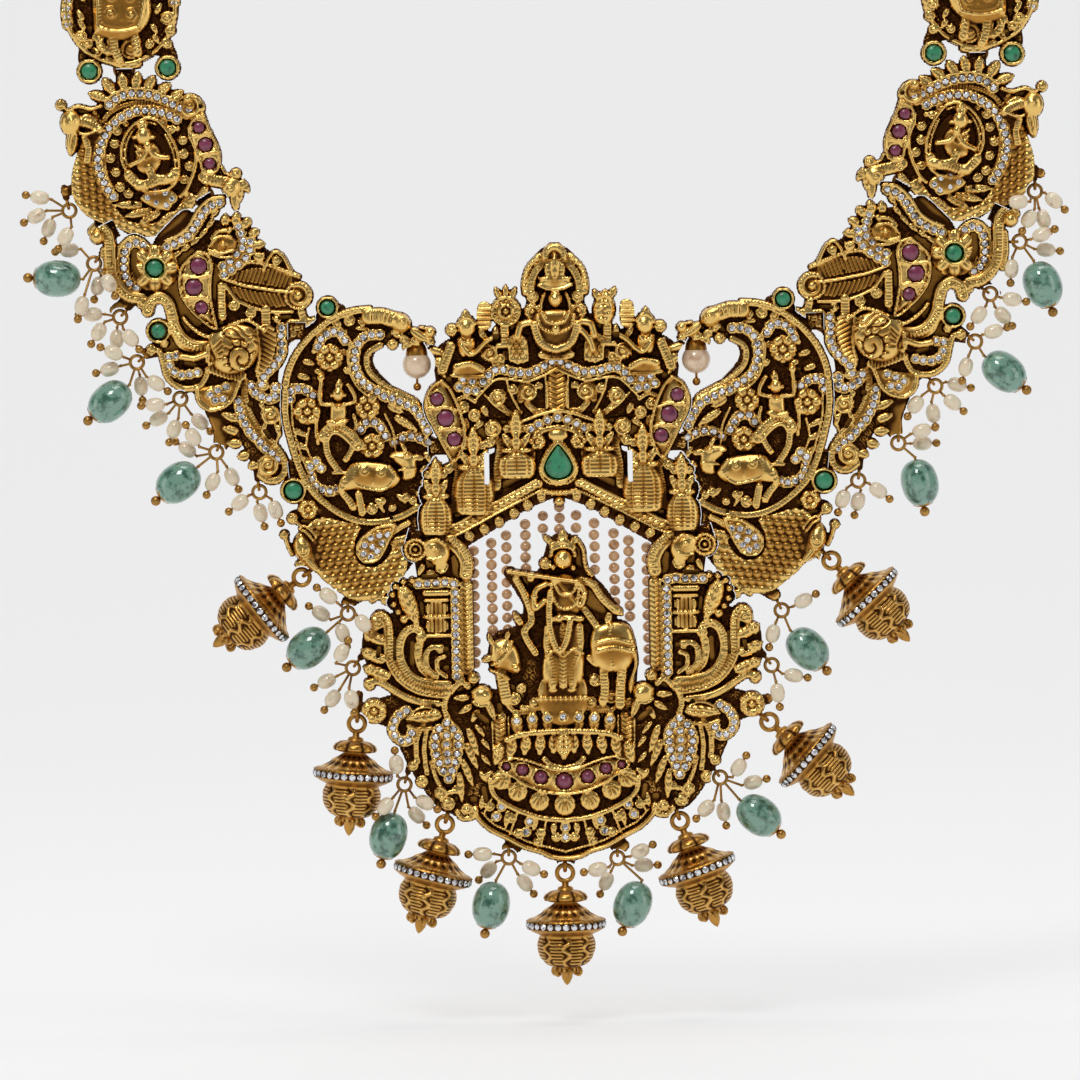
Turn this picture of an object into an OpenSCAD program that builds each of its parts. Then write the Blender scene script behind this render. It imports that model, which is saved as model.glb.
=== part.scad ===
// Temple jewellery necklace: cast gold plates, a chain, seven bells and clusters of beads.
// It hangs in the XZ plane and its front faces -Y. The origin is the middle of the clasp at the nape.
// The plates are drawn in front view, x to the right and y up, from the middle of the pear emerald.
// That drawing is for a front of DRAWN_W, and the scale k takes it to front_w. The left half is
// drawn, and the right half is its mirror image, but for the figure in the middle and the drops.

/* [Front] */
// Width of the front, from one peacock's crest to the other's
front_w = 178; // [168:1:190]
// Height from the pear emerald up to the clasp at the nape
neck_drop = 164; // [150:1:190]

/* [Cast plates] */
// Thickness of the plate behind the relief
plate_t = 1.3; // [1:0.1:2]
// Height of the low relief above the plate
low_h = 0.7; // [0.4:0.1:1.2]
// Height of the middle relief above the plate
mid_h = 1.5; // [1.2:0.1:2]
// Height of the high relief above the plate
high_h = 2.3; // [2:0.1:3]
// Width of plate that shows round the relief
plate_edge = 0.2; // [0.1:0.05:0.4]
// Gap between two neighbouring plates
plate_gap = 0.3; // [0.2:0.05:0.6]

/* [Chain and clasp] */
// Thickness of the chain's wire
chain_wire = 1.3; // [1:0.1:1.6]
// Outer length of a chain link
link_l = 8; // [7.5:0.1:10]
// Outer width of a chain link
link_w = 5.2; // [4.8:0.1:7]
// Radius of the clasp's two eyes, to the middle of the wire
eye_r = 2.2; // [2:0.1:3]
// Distance from the clasp's middle to the middle of each eye
eye_at = 3.6; // [3.4:0.1:5]

/* [Rings and loops] */
// Thickness of the wire of the bells' rings and loops
bell_wire = 0.8; // [0.6:0.05:0.9]
// Radius of a bell's ring, to the middle of the wire
bell_ring_r = 1.45; // [1.35:0.05:1.8]
// Radius of the loop that a bell hangs in, to the middle of the wire
bell_loop_r = 1; // [0.95:0.05:1.1]
// Thickness of the wire of the drops' rings and loops
drop_wire = 0.6; // [0.4:0.05:0.7]
// Radius of a drop's ring, to the middle of the wire
drop_ring_r = 1.2; // [1.1:0.05:1.5]
// Radius of the loop that a drop's ring hangs in, to the middle of the wire
drop_loop_r = 0.8; // [0.75:0.05:0.9]
// Clearance between pieces that touch on the real necklace
gap = 0.12; // [0.1:0.01:0.2]

/* [Bells] */
// Height of a bell from the middle of its ring to its tip
bell_h = 20.3; // [18:0.1:22]
// Radius of a bell's brim
brim_r = 7.2; // [6.4:0.1:8]
// Radius of the ball under the brim
ball_r = 5.1; // [4.4:0.1:5.6]

/* [Beads and stones] */
// Length of a rice pearl
pearl_l = 3.5; // [3:0.1:4]
// Thickness of a rice pearl
pearl_d = 2.6; // [2.2:0.1:2.8]
// Length of a green quartz bead
quartz_l = 8.6; // [7.6:0.1:9]
// Thickness of a green quartz bead
quartz_d = 6.8; // [6:0.1:7.2]
// Thickness of a head pin
pin_d = 0.45; // [0.3:0.05:0.6]
// Radius of a head pin's ball
pin_ball_r = 0.75; // [0.6:0.05:0.9]
// Thickness of a pearl in the curtain
curtain_d = 2.1; // [1.8:0.1:2.2]
// Radius of the round pearl under each bird's beak
cap_pearl_r = 2.6; // [2.2:0.1:2.8]

/* [Hidden] */
DRAWN_W = 178;
k = front_w / DRAWN_W;
$fn = 48;

// Places where two plates meet, and the way across from the outer plate to the inner one
JOINTS = [[[-23.4, 3.4], [1, 0]], [[-27.6, -12.6], [1, -0.3]], [[-48.2, 24.6], [1, 0]],
    [[-48.6, -0.4], [1, 0.1]], [[-80.6, 44.6], [0.45, -0.9]], [[-62.9, 49.2], [0.5, -0.86]],
    [[-76.6, 72.3], [0, -1]]];
// Middles of the rings of the three bells at the left: place, lean in degrees, way to the plate
BELLS_L = [[[-21.7, -64.8], 14.8], [[-37.2, -46.3], 5.3], [[-46.6, -19.7], 53]];
BELLS_R = [[[20.7, -65], -18.4], [[37.1, -47.4], -48], [[48.8, -18.5], -43]];
BELL_C = [[-0.2, -74], 0];

// Each cluster of drops: its loop on the plate, the way its ring hangs, then each rice pearl as
// its middle, the place of the ball under it and how far it stands forward
DROPS_L = [
    [[-87.2, 48.2], [0.2, -1], [[-92.2, 49.5, -94.3, 49.9, 0], [-92.8, 46.2, -94.6, 45.3, 1.2],
        [-90.8, 44, -91.6, 42, -1.2], [-87.6, 42.4, -88.6, 40.8, 2.4]]],
    [[-82, 38.4], [-0.6, -0.8], [[-87.2, 39.9, -89.4, 39.7, -1.6], [-82.2, 33.4, -82.8, 31.4, -1.8],
        [-85, 30, -85.6, 28, 2.2], [-79.9, 34, -79, 32, 4.7]]],
    [[-77.4, 28.6], [-0.7, -0.7], [[-83.2, 28.3, -85.4, 28.3, -1], [-82.1, 25.2, -83.4, 23.2, 1.2],
        [-76.4, 24, -75.2, 22.4, 1.7], [-79, 23.8, -79.1, 21.6, -1.6]]],
    [[-74.4, 20.2], [-0.8, -0.5], [[-79.5, 21.4, -81.3, 22.2, 1.4], [-80.4, 18.4, -82.6, 17.8, -1.2],
        [-72, 15.8, -69.9, 14.3, 1.4], [-74.9, 15.2, -74.7, 13, -2.6]]],
    [[-66.9, 13.7], [-0.7, -0.7], [[-72.2, 11.9, -74.4, 11.8, 1.6], [-71.8, 9.3, -73.9, 8.2, -1.4],
        [-69, 7.4, -69.8, 5.4, -0.8], [-64.4, 8.6, -62.7, 7, -1.4]]],
    [[-61, 4.2], [-0.4, -0.9], [[-65.5, 6, -66.7, 8, 1.6], [-66.8, 3.6, -68.8, 5, -2.4],
        [-62.2, -2.2, -63.2, -4.2, 1], [-58.8, -1.4, -57.8, -3.4, -1]]],
    [[-54, -3], [0.1, -1], [[-51, -7.4, -50.2, -9.5, 1.3], [-53.8, -8, -53.2, -10.2, -1],
        [-57.4, -6, -59.2, -7.4, 1]]],
    [[-38.4, -25.2], [0, -1], [[-41.8, -23, -43.5, -21.7, 3], [-43.3, -26.4, -45, -25.3, -1.4],
        [-39.4, -29.8, -38.8, -31.8, 1.8], [-35.6, -28, -34.4, -29.6, 3.9]]],
    [[-37, -35.3], [-0.6, -0.8], [[-39.6, -33.2, -38.6, -31.4, 4.4], [-42.5, -38.6, -44.6, -39.6, -1],
        [-41.4, -41.6, -42.8, -43.4, 1.4], [-38, -41.6, -37.6, -43.8, 4.2]]],
    [[-28.5, -56.3], [-0.3, -1], [[-30.2, -53.6, -30.4, -51.4, 2.8], [-32.3, -61, -33.8, -62.6, 3.8],
        [-25.2, -60.6, -23.4, -61.6, 2.6], [-26.8, -63.2, -25.3, -64.8, -2]]],
    [[-10.3, -69.8], [0, -1], [[-15, -70.2, -17.3, -70.2, 1.4], [-14, -73.4, -15.4, -74.8, -2.4],
        [-6.3, -72.8, -4.2, -73.8, 3], [-7.5, -75.8, -6.1, -77.6, -1.4]]]];
// The right-hand clusters, written as if they were at the left too
DROPS_R = [
    [[-86.5, 48.4], [0, -1], [[-89.8, 45.5, -91.4, 44.1, 1.2], [-88, 42.2, -88.8, 40.2, -1],
        [-83.3, 45.4, -81, 45.4, 3], [-85.3, 42.3, -84.2, 40.4, 1.4]]],
    [[-82.4, 38.2], [-1, 0], [[-87.5, 39.4, -89.5, 40.2, 1.2], [-88.4, 36.6, -90.4, 36.4, -1.8],
        [-82, 33.4, -81.8, 31.2, 1.4]]],
    [[-77.2, 29.6], [-0.7, -0.5], [[-82, 27.9, -84.2, 27.5, 1.8], [-80.4, 25, -81.8, 23.4, -1],
        [-76, 25.2, -74.6, 23.4, 1.6]]],
    [[-74.4, 21.2], [-0.7, -0.6], [[-78.6, 22.2, -80.8, 22.8, 1.2], [-73.5, 15.9, -72.9, 13.7, 1]]],
    [[-67.3, 13.5], [-0.6, -0.8], [[-72, 12.7, -74, 12.2, -1], [-71, 9.6, -72.7, 8.2, 1.2],
        [-67.6, 7.6, -67.9, 5.3, -1], [-64.4, 9.3, -63.1, 7.5, 1.2]]],
    [[-61.2, 3.6], [0, -1], [[-65.4, 4.6, -67.6, 5.2, 1.2], [-65.6, 2.2, -67.8, 2.2, -2.2]]],
    [[-54, -3], [0.1, -1], [[-51, -7.4, -50.2, -9.5, 1.3], [-53.8, -8, -53.2, -10.2, -1],
        [-57.4, -6, -59.2, -7.4, 1]]],
    [[-39.2, -26.2], [-0.4, -0.9], [[-43.6, -25.6, -45.5, -24.6, 1], [-38, -31.4, -37.4, -33.5, 1.2]]],
    [[-37, -36.2], [-0.6, -0.8], [[-41.6, -39, -43.8, -39.4, 1.4], [-38.6, -41.9, -38.9, -44.1, 4.2]]],
    [[-27.4, -56.3], [-0.6, -0.9], [[-31.4, -55.4, -32.6, -53.6, 1.6], [-34, -58.4, -36.1, -57.9, -1.4],
        [-28.6, -63.6, -29, -65.9, -1.4], [-25.4, -62.6, -23.8, -64.2, 2.6]]],
    [[-9.3, -70.3], [0, -1], [[-5.7, -73.2, -3.6, -73.6, 3], [-7.2, -75.8, -6.2, -77.8, -1.4],
        [-13.4, -70.2, -15.4, -69.2, 1.4], [-14, -73, -16.2, -73, -1.4]]]];
// Each green bead: the number of its cluster, its middle, the ball under it and how far forward
QUARTZ_L = [[1, -89.4, 34.9, -94.1, 35.1, 0], [3, -80.4, 12.6, -84, 9.6, 0], [5, -68.4, -2.2, -72, -5, 0],
    [7, -45.6, -32.5, -49.4, -35.7, 0], [9, -31.9, -66.6, -33.2, -71.2, 0.8], [10, -13.7, -79.6, -14.8, -84.4, 0]];
QUARTZ_R = [[1, -87.6, 30.4, -89.2, 25.9, 0], [3, -80.4, 14.9, -84.1, 11.8, 0], [5, -64.9, -4.8, -65.7, -9.7, 0],
    [7, -44.2, -34.4, -47.5, -38.2, 0], [9, -34.9, -64.3, -38.7, -67.6, 0], [10, -11.9, -79.9, -10, -84.6, 0]];
// Round green stones at the left: middle, radius, and which plate holds each
EMERALDS = [[[-82.75, 71.95], 1.4, 4], [[-68.7, 72.35], 1.4, 4], [[-71.75, 36.45], 1.4, 2],
    [[-71.35, 25.15], 1.3, 2], [[-40.9, 28.8], 1.25, 1], [[-47.7, -4], 1.5, 1]];
// Rubies at the left and in the lotus base: middle, radius and plate
RUBIES = [[[-63.3, 61.5], 1, 3], [[-62.2, 58.4], 1.2, 3], [[-61.5, 55], 1, 3],
    [[-63.9, 36.7], 1.45, 2], [[-64.8, 32.9], 1.45, 2], [[-63.5, 29.2], 1.1, 2],
    [[-21.6, 12], 1.15, 0], [[-20.1, 8.5], 1.45, 0], [[-18.6, 4.7], 1.2, 0]];
RUBIES_C = [[[-10.4, -54.4], 0.75], [[-7.5, -55.1], 1.1], [[-4.2, -56.5], 1.25], [[0, -57.3], 1.55],
    [[4.2, -56.5], 1.25], [[7.5, -55.1], 1.1], [[10.4, -54.4], 0.75]];
CAP_PEARL = [-25.1, 18.2];
// Strands of the curtain: place across, top and bottom
STRANDS = [[-15.6, -14.6, -37], [-12.4, -13.3, -31], [-9.7, -11.9, -31], [-6.2, -10, -20], [-3, -8.4, -13],
    [3, -8.4, -13], [6.2, -10, -20.5], [9.7, -11.9, -26.4], [12.4, -13.3, -29], [15.6, -14.6, -37]];

// Tools for the drawings

// A smooth line through the points p, with points between them where there are few
function path(p) = let(n = len(p) > 3 ? 1 : 2) len(p) < 3 ? p : concat([for (i = [0 : len(p) - 2], t = [0 : n - 1])
    let(a = p[max(i - 1, 0)], b = p[i], c = p[i + 1], d = p[min(i + 2, len(p) - 1)], u = t / n)
    0.5 * (2 * b + (c - a) * u + (2 * a - 5 * b + 4 * c - d) * u * u
        + (3 * b - a - 3 * c + d) * u * u * u)], [p[len(p) - 1]]);

// A band of width w along the points p
module band(p, w) {
    q = path(p);
    m = len(q) - 1;
    s = [for (i = [0 : m]) let(d = q[min(i + 1, m)] - q[max(i - 1, 0)]) [-d.y, d.x] / norm(d) * w / 2];
    for (i = [0 : m - 1])
        polygon([q[i] + s[i], q[i + 1] + s[i + 1], q[i + 1] - s[i + 1], q[i] - s[i]]);
    for (e = [[q[0], s[0]], [q[m], -s[m]]])
        let(t = [-e[1].y, e[1].x] * 0.8)
            polygon([e[0] + e[1], e[0] + e[1] * 0.5 + t, e[0] - e[1] * 0.5 + t, e[0] - e[1]]);
}

// A filled shape with a smooth outline through the points p
module blob(p) {
    n = len(p);
    q = [for (i = [0 : n - 1], t = n > 8 ? [0] : [0, 1])
        let(a = p[(i + n - 1) % n], b = p[i], c = p[(i + 1) % n], d = p[(i + 2) % n], u = t / 2)
        0.5 * (2 * b + (c - a) * u + (2 * a - 5 * b + 4 * c - d) * u * u
            + (3 * b - a - 3 * c + d) * u * u * u)];
    polygon(q);
}

// A round spot
module dot(c, r) {
    translate(c)
        circle(r, $fn = r > 2 ? 20 : r > 0.85 ? 10 : 7);
}

// A pointed leaf from its root a to its tip b
module leaf(a, b, w) {
    d = b - a;
    s = [-d.y, d.x] / norm(d) * w / 2;
    polygon([a + s * 0.5, a + 0.4 * d + s, a + 0.75 * d + s * 0.75, b,
        a + 0.75 * d - s * 0.75, a + 0.4 * d - s, a - s * 0.5]);
}

// A rolled end, open in the middle where it is big
module curl(c, r) {
    translate(c)
        difference() {
            circle(r, $fn = 8);
            if (r > 1.3)
                circle(r * 0.5, $fn = 5);
        }
}

// A flower of n petals
module flower(c, r, n) {
    translate(c)
        polygon([for (i = [0 : n - 1], j = [[-0.5, 0.6], [-0.22, 1], [0.22, 1]])
            r * j[1] * [cos((i + j[0]) * 360 / n), sin((i + j[0]) * 360 / n)]]);
}

// Both halves of a drawing of the left half
module both() {
    children();
    mirror([1, 0])
        children();
}

// The medallion with the elephant, left half of the necklace

module medallion_fill() {
    dot([-76.9, 83], 10.2);
    dot([-82.75, 71.95], 2);
    dot([-68.7, 72.35], 2);
    band([[-82.5, 73], [-80.5, 74.5]], 2);
    band([[-69, 73.3], [-71, 75]], 2);
}

module medallion_low() {
    band([[-85.4, 77.6], [-86.9, 81.5], [-86.5, 86], [-83.5, 90.6], [-79, 92.6], [-74.5, 92.5],
        [-70, 90], [-67.3, 86], [-66.9, 82], [-68.2, 77.8]], 1);
    band([[-79, 73.7], [-76.5, 73], [-74, 73.1]], 1.4);
    leaf([-83.2, 86], [-85.4, 82.5], 2);
    leaf([-83, 77], [-85, 79.8], 1.8);
    leaf([-70, 86.5], [-68.3, 83.4], 2);
}

module medallion_mid() {
    blob([[-82.6, 81.5], [-81.8, 78.4], [-78, 77], [-74, 78], [-71.2, 81.5], [-72, 86.5], [-77, 88.4],
        [-81.6, 86]]);
    band([[-78.3, 77.5], [-77.9, 75.4], [-77.3, 73.9]], 1.4);
    band([[-80.6, 77.6], [-80.5, 76.5], [-79.3, 75.4]], 1.6);
    band([[-74.4, 77.8], [-74, 75.4]], 1.8);
    band([[-72.6, 74.2], [-70.5, 75.5], [-69.4, 77.2]], 0.8);
    for (c = [[-84, 78, 1.2], [-68.6, 81.2, 1.3], [-68.2, 78.8, 1], [-76.1, 75.6, 1.1], [-83, 88, 1.3],
        [-70.6, 88, 1.3]])
        curl([c.x, c.y], c.z);
}

module medallion_high() {
    band([[-80.6, 84.8], [-80.9, 80.6], [-77.5, 79.2], [-73.9, 80], [-72.6, 84.4]], 0.9);
    curl([-78.4, 82.6], 1.3);
    curl([-75, 82.4], 1.3);
    dot([-76.8, 89.4], 1.5);
}

// The oval with the seated figure and the peacock round it

module peacock_fill() {
    blob([[-81.6, 65.8], [-83.9, 62.6], [-84.6, 58.6], [-86, 54], [-86.2, 50.6], [-84.8, 47], [-82, 45],
        [-79, 44.2], [-76, 42.4], [-71, 42.4], [-66, 45.6], [-62.8, 50], [-62, 54], [-62.4, 60],
        [-63.4, 65], [-67, 68], [-73, 70], [-78.6, 69.4]]);
    band([[-86, 50], [-87, 48.4]], 1.6);
}

module peacock_low() {
    for (r = [0 : 4])
        for (t = [0 : 4 - floor(r / 3)])
            dot([-84.3 + r * 0.35 + t * 1.5 + (r % 2) * 0.75, 57.5 - r * 2.7 - t * 1.1], 0.78);
    band([[-80.6, 66.8], [-77.5, 68.9], [-74.7, 69.4], [-71.5, 69], [-67.8, 66.9]], 1);
    band([[-84.9, 47.2], [-82.2, 45.2], [-79, 44.4]], 0.8);
    blob([[-73.4, 62.6], [-76.4, 59.4], [-77, 56], [-76, 52.6], [-72.8, 50.6], [-69, 51.6], [-67.2, 55],
        [-68.2, 59.4], [-70.4, 62]]);
}

module peacock_mid() {
    band([[-64.9, 64.8], [-67.5, 65.5], [-70.9, 67.2], [-74.9, 67.85], [-78, 67], [-79.6, 65.8]], 1.5);
    band([[-67.2, 63.1], [-71.3, 64.6], [-75.8, 64.2], [-79.5, 61.5], [-81.4, 57], [-81.2, 53.8],
        [-78.9, 49.6]], 1.5);
    band([[-65.2, 61], [-63.9, 56.3], [-64.3, 53.8], [-66.6, 49.8]], 0.8);
    difference() {
        blob([[-73.2, 63.6], [-77.2, 59.8], [-77.8, 56], [-76.4, 51.8], [-72.8, 49.8], [-68.6, 50.8],
            [-66.6, 55], [-67.6, 60], [-70.2, 62.8]]);
        blob([[-73.2, 62.7], [-76.3, 59.4], [-76.8, 56], [-75.7, 52.4], [-72.8, 50.7], [-69.2, 51.6],
            [-67.5, 55], [-68.5, 59.6], [-70.5, 62]]);
    }
    blob([[-74.4, 49.2], [-71, 50.9], [-68, 50.4], [-67.4, 48.9], [-69.5, 46.9], [-72.2, 47.4]]);
    for (a = [[-83.1, 68.1, -79.9, 66.9], [-80.4, 70.8, -78.5, 68], [-76.9, 71.4, -76.6, 68.9],
        [-74, 71.5, -74.5, 69], [-71, 71, -72.6, 68.8], [-68.2, 69.5, -70.4, 68], [-66, 68, -68.2, 66.6],
        [-78.7, 47.9, -74.2, 47.7], [-76.8, 45.9, -72.4, 46.8], [-74.2, 44.6, -70.6, 46.5],
        [-71, 44, -68.4, 46.2]])
        leaf([a[2], a[3]], [a[0], a[1]], 2.1);
    blob([[-62.5, 63.9], [-64.5, 62.4], [-65.05, 60.2], [-63.6, 56.8], [-62.6, 53.6], [-60.4, 53.6],
        [-59.7, 56.4], [-60.4, 59.4], [-61.4, 61.5]]);
    band([[-62.3, 52.4], [-60.2, 51.7], [-58, 50.8]], 2.2);
    band([[-82.4, 62.3], [-80, 58]], 1.6);
    band([[-65.4, 48], [-62.9, 50.6]], 1.8);
    for (c = [[-78, 61.2], [-79.3, 56.3], [-77.9, 51.4], [-69.4, 63], [-66, 58.6], [-65.8, 52.6]])
        curl(c, 0.95);
    curl([-64.9, 65.3], 1.9);
    curl([-56.9, 53], 1);
}

module peacock_high() {
    dot([-86.2, 62.9], 1.9);
    leaf([-85.9, 61.6], [-86.4, 56.9], 2.2);
    band([[-87.6, 65.9], [-86.4, 65.2], [-84.8, 65.6], [-81.4, 65.3]], 0.9);
    band([[-84.6, 62.4], [-82.8, 61.8]], 2.2);
    dot([-57.8, 50.6], 1.7);
    leaf([-57.2, 50], [-56.9, 46.6], 1.7);
    leaf([-56.8, 51.4], [-55.3, 48.6], 1.4);
    leaf([-73.4, 61.2], [-73.4, 63.2], 1.8);
    blob([[-74.4, 58.8], [-74.8, 56.4], [-74.2, 53.6], [-71.4, 53.4], [-70, 56], [-70.8, 58.8], [-72.6, 59.6]]);
    band([[-75.3, 55], [-73, 56.6], [-72.5, 58.2]], 1);
    band([[-69.3, 56.2], [-71.6, 56.8], [-72.5, 58.2]], 1);
    band([[-75.4, 52.6], [-73.6, 51.6], [-71, 52.4], [-68.4, 52.5]], 1.9);
}

// The elephant with the flower, the wing and the feather, next to the middle plate

module elephant_fill() {
    band([[-66, 45], [-70, 41], [-71.75, 36.45], [-74, 32], [-77, 35], [-78.5, 38]], 3.2);
    blob([[-68, 42], [-61, 45], [-54, 41], [-47, 36], [-45, 30], [-47, 24], [-50, 17], [-50.5, 3],
        [-54, 0], [-57, 5], [-58, 10], [-63, 12], [-68, 17], [-67, 24], [-63, 27], [-60, 36]]);
    band([[-62, 10.8], [-60.6, 7.2], [-60.6, 4.6]], 2.4);
    band([[-49, 24.4], [-46.5, 24.4]], 2.6);
    band([[-79, 29], [-76.5, 31]], 1.8);
    band([[-74.6, 21], [-72, 21.4]], 1.6);
    dot([-71.35, 25.15], 1.9);
    band([[-71.3, 25.2], [-68, 25.4]], 2.4);
}

module elephant_low() {
    band([[-73.7, 40.6], [-76.7, 40.3], [-77.3, 37], [-76.7, 34.2], [-75.2, 33]], 1.5);
    band([[-56, 16], [-56.1, 13], [-55.3, 10], [-53.5, 7], [-51.2, 4.5], [-49.5, 2], [-49.4, 0],
        [-50.2, -1.7], [-52, -2.1], [-53.6, -1]], 1.4);
    for (a = [[-57.6, 8.6, -60.4, 10], [-57.6, 6.4, -60.2, 7.4], [-57, 4.2, -59.4, 4.6],
        [-55.4, 2.4, -57.6, 1.8], [-54, 0.8, -55.6, 0.2]])
        leaf([a[0], a[1]], [a[2], a[3]], 1.8);
    for (x = [-58.5 : 1.5 : -48])
        band([[x, 33.6], [x + 1.6, 36.1 - (x + 58.5) * 0.12]], 0.7);
    for (x = [-57 : 1.5 : -48])
        band([[x, 33], [x - 0.6, 30.2 - (x + 57) * 0.1]], 0.7);
    for (a = [[-60.8, 45.6], [-61.9, 43.7], [-63.3, 42], [-65, 40.4], [-66.6, 39]])
        leaf(a, a + [-1.2, -1.4], 1.2);
    band([[-62.5, 17.9], [-60.5, 18.3], [-58, 17], [-56, 16.8]], 1.4);
    for (y = [16 : 1.6 : 25])
        band([[-50.8, y * 0.7 + 6.9], [-53.2, y]], 0.9);
}

module elephant_mid() {
    band([[-59.6, 47.9], [-61.6, 47.2], [-62.9, 46], [-63.8, 44.6], [-65.4, 42.6], [-68.1, 40.8],
        [-69.5, 40.2]], 1.5);
    band([[-82, 42.3], [-80.8, 43], [-79.9, 41.4], [-79.6, 37.5], [-79.1, 34.6], [-78, 32.8],
        [-76.2, 31.4], [-74.2, 31]], 1.7);
    flower([-71.75, 36.45], 4.3, 8);
    blob([[-64, 39.3], [-67, 36], [-67, 32], [-65.3, 28.8], [-60.9, 25.6], [-61.9, 30], [-61.6, 34],
        [-61.6, 37]]);
    band([[-59.2, 35.4], [-56.5, 37.4], [-55.2, 39.6], [-56.2, 42.8]], 3.2);
    for (a = [[-58.8, 43.4, -58.8, 45.6], [-57.2, 43.8, -56.6, 46], [-55.6, 43, -54.3, 44.8],
        [-54.4, 41.6, -52.8, 42.7], [-53.8, 40, -51.9, 40.3], [-54, 38.4, -52, 37.6]])
        leaf([a[0], a[1]], [a[2], a[3]], 1.7);
    band([[-59.5, 34.2], [-56, 36.4], [-52, 36.4], [-46.6, 34.6]], 0.9);
    band([[-58.8, 33.6], [-53.5, 32.7], [-47.6, 31.8]], 0.8);
    band([[-58.4, 32.8], [-56.6, 30.3], [-52.5, 28.8], [-47.5, 28.4]], 0.9);
    curl([-46.2, 31], 2.3);
    curl([-49.8, 37.4], 1.5);
    band([[-59.9, 33], [-59.8, 27.5]], 1.6);
    band([[-52, 28], [-52, 26]], 1.8);
    band([[-49.2, 25.3], [-49.3, 22.2], [-50.3, 19], [-52.6, 16.7]], 1.4);
    band([[-54.6, 14.8], [-53.4, 13.2], [-51.9, 12.7], [-50.8, 13.6]], 1.5);
    band([[-72.8, 21.8], [-71.2, 21.4], [-70.4, 18.6], [-68.2, 15.8], [-64.6, 15.6], [-62.8, 17.8]], 1.3);
    band([[-57.2, 12.4], [-56.2, 8.4], [-53.8, 5.1], [-50.6, 1.8]], 1.4);
    blob([[-64.8, 14.6], [-64.4, 12.2], [-62.4, 10.6], [-59.5, 11.4], [-57.8, 13.5], [-57, 16.2],
        [-60.5, 15.6]]);
    curl([-51.7, 9.6], 1.7);
    curl([-52, 0.5], 1.9);
    curl([-57.6, 29.4], 1.1);
    curl([-54.6, 28], 1.1);
}

module elephant_high() {
    band([[-73.2, 28.8], [-72.4, 30.4], [-70.6, 31], [-69.2, 29.8], [-68.2, 26.6], [-66.2, 23.8],
        [-63.4, 22.8], [-60, 23.2]], 2);
    band([[-62.8, 20.8], [-65, 20.2], [-67.4, 20.6]], 1.2);
    blob([[-62.4, 20], [-62.8, 23.4], [-60.6, 26], [-57, 26.6], [-53.8, 25.2], [-53.4, 21], [-55, 18],
        [-58.4, 17.4], [-61, 18]]);
    blob([[-61.9, 40], [-60.4, 42.2], [-58.4, 42.6], [-56.9, 41], [-57.4, 39.2], [-59.6, 38.4], [-61.6, 38.8]]);
    dot([-82, 42.2], 1.2);
}

// The big paisley with the dancer and the calf, and the scaled peacock under it

module paisley_fill() {
    blob([[-48.6, 14], [-48.6, 7], [-46.8, 0], [-43, -5.6], [-36, -9.6], [-28, -9.4], [-24, -8], [-23, -2],
        [-24.6, 9], [-29, 14], [-33, 19], [-30, 24], [-31, 28.3], [-37, 28.2], [-43, 24.8], [-47.6, 18.6]]);
    blob([[-47.5, -14], [-44, -9.6], [-36, -8.6], [-27, -8], [-26, -12], [-27.6, -19], [-32, -23.4],
        [-37.5, -23.8], [-41.4, -21], [-45, -18]]);
    band([[-46.6, -5], [-44, -6.5], [-41, -9]], 2.6);
    band([[-47.8, -8.7], [-46, -8]], 1.8);
    band([[-41.6, 27], [-39, 28]], 2.6);
    band([[-44, 24], [-41, 26.2]], 2.6);
    band([[-38.4, -24.4], [-36, -23]], 2);
}

module paisley_low() {
    for (r = [0 : 6])
        for (t = [0 : 5])
            if (r + t < 10)
                dot([-44 + r * 1.05 + t * 1.7, -12.4 - r * 1.6 + t * 0.75 + (r > 3 ? 1.2 : 0)], 0.8);
    band([[-31, 21.5], [-33.8, 20.5], [-34.1, 18.3], [-33.1, 16.3], [-30.5, 14.2], [-27.5, 12.7],
        [-25.3, 11.3], [-23.7, 8]], 1.1);
    for (a = [[-44.5, 19], [-45.6, 16.4], [-46.4, 6.3], [-46.2, 4], [-45.9, 1.5]])
        leaf(a + [-1.2, 0.3], a + [1.2, -0.3], 1.3);
    band([[-31, 9], [-29.5, 6], [-29.2, 3.6]], 0.7);
    band([[-29.6, 4.4], [-26.5, 5.6], [-23.4, 4.4]], 1.3);
    leaf([-29.4, 8.8], [-25.2, 6.6], 2);
}

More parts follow.
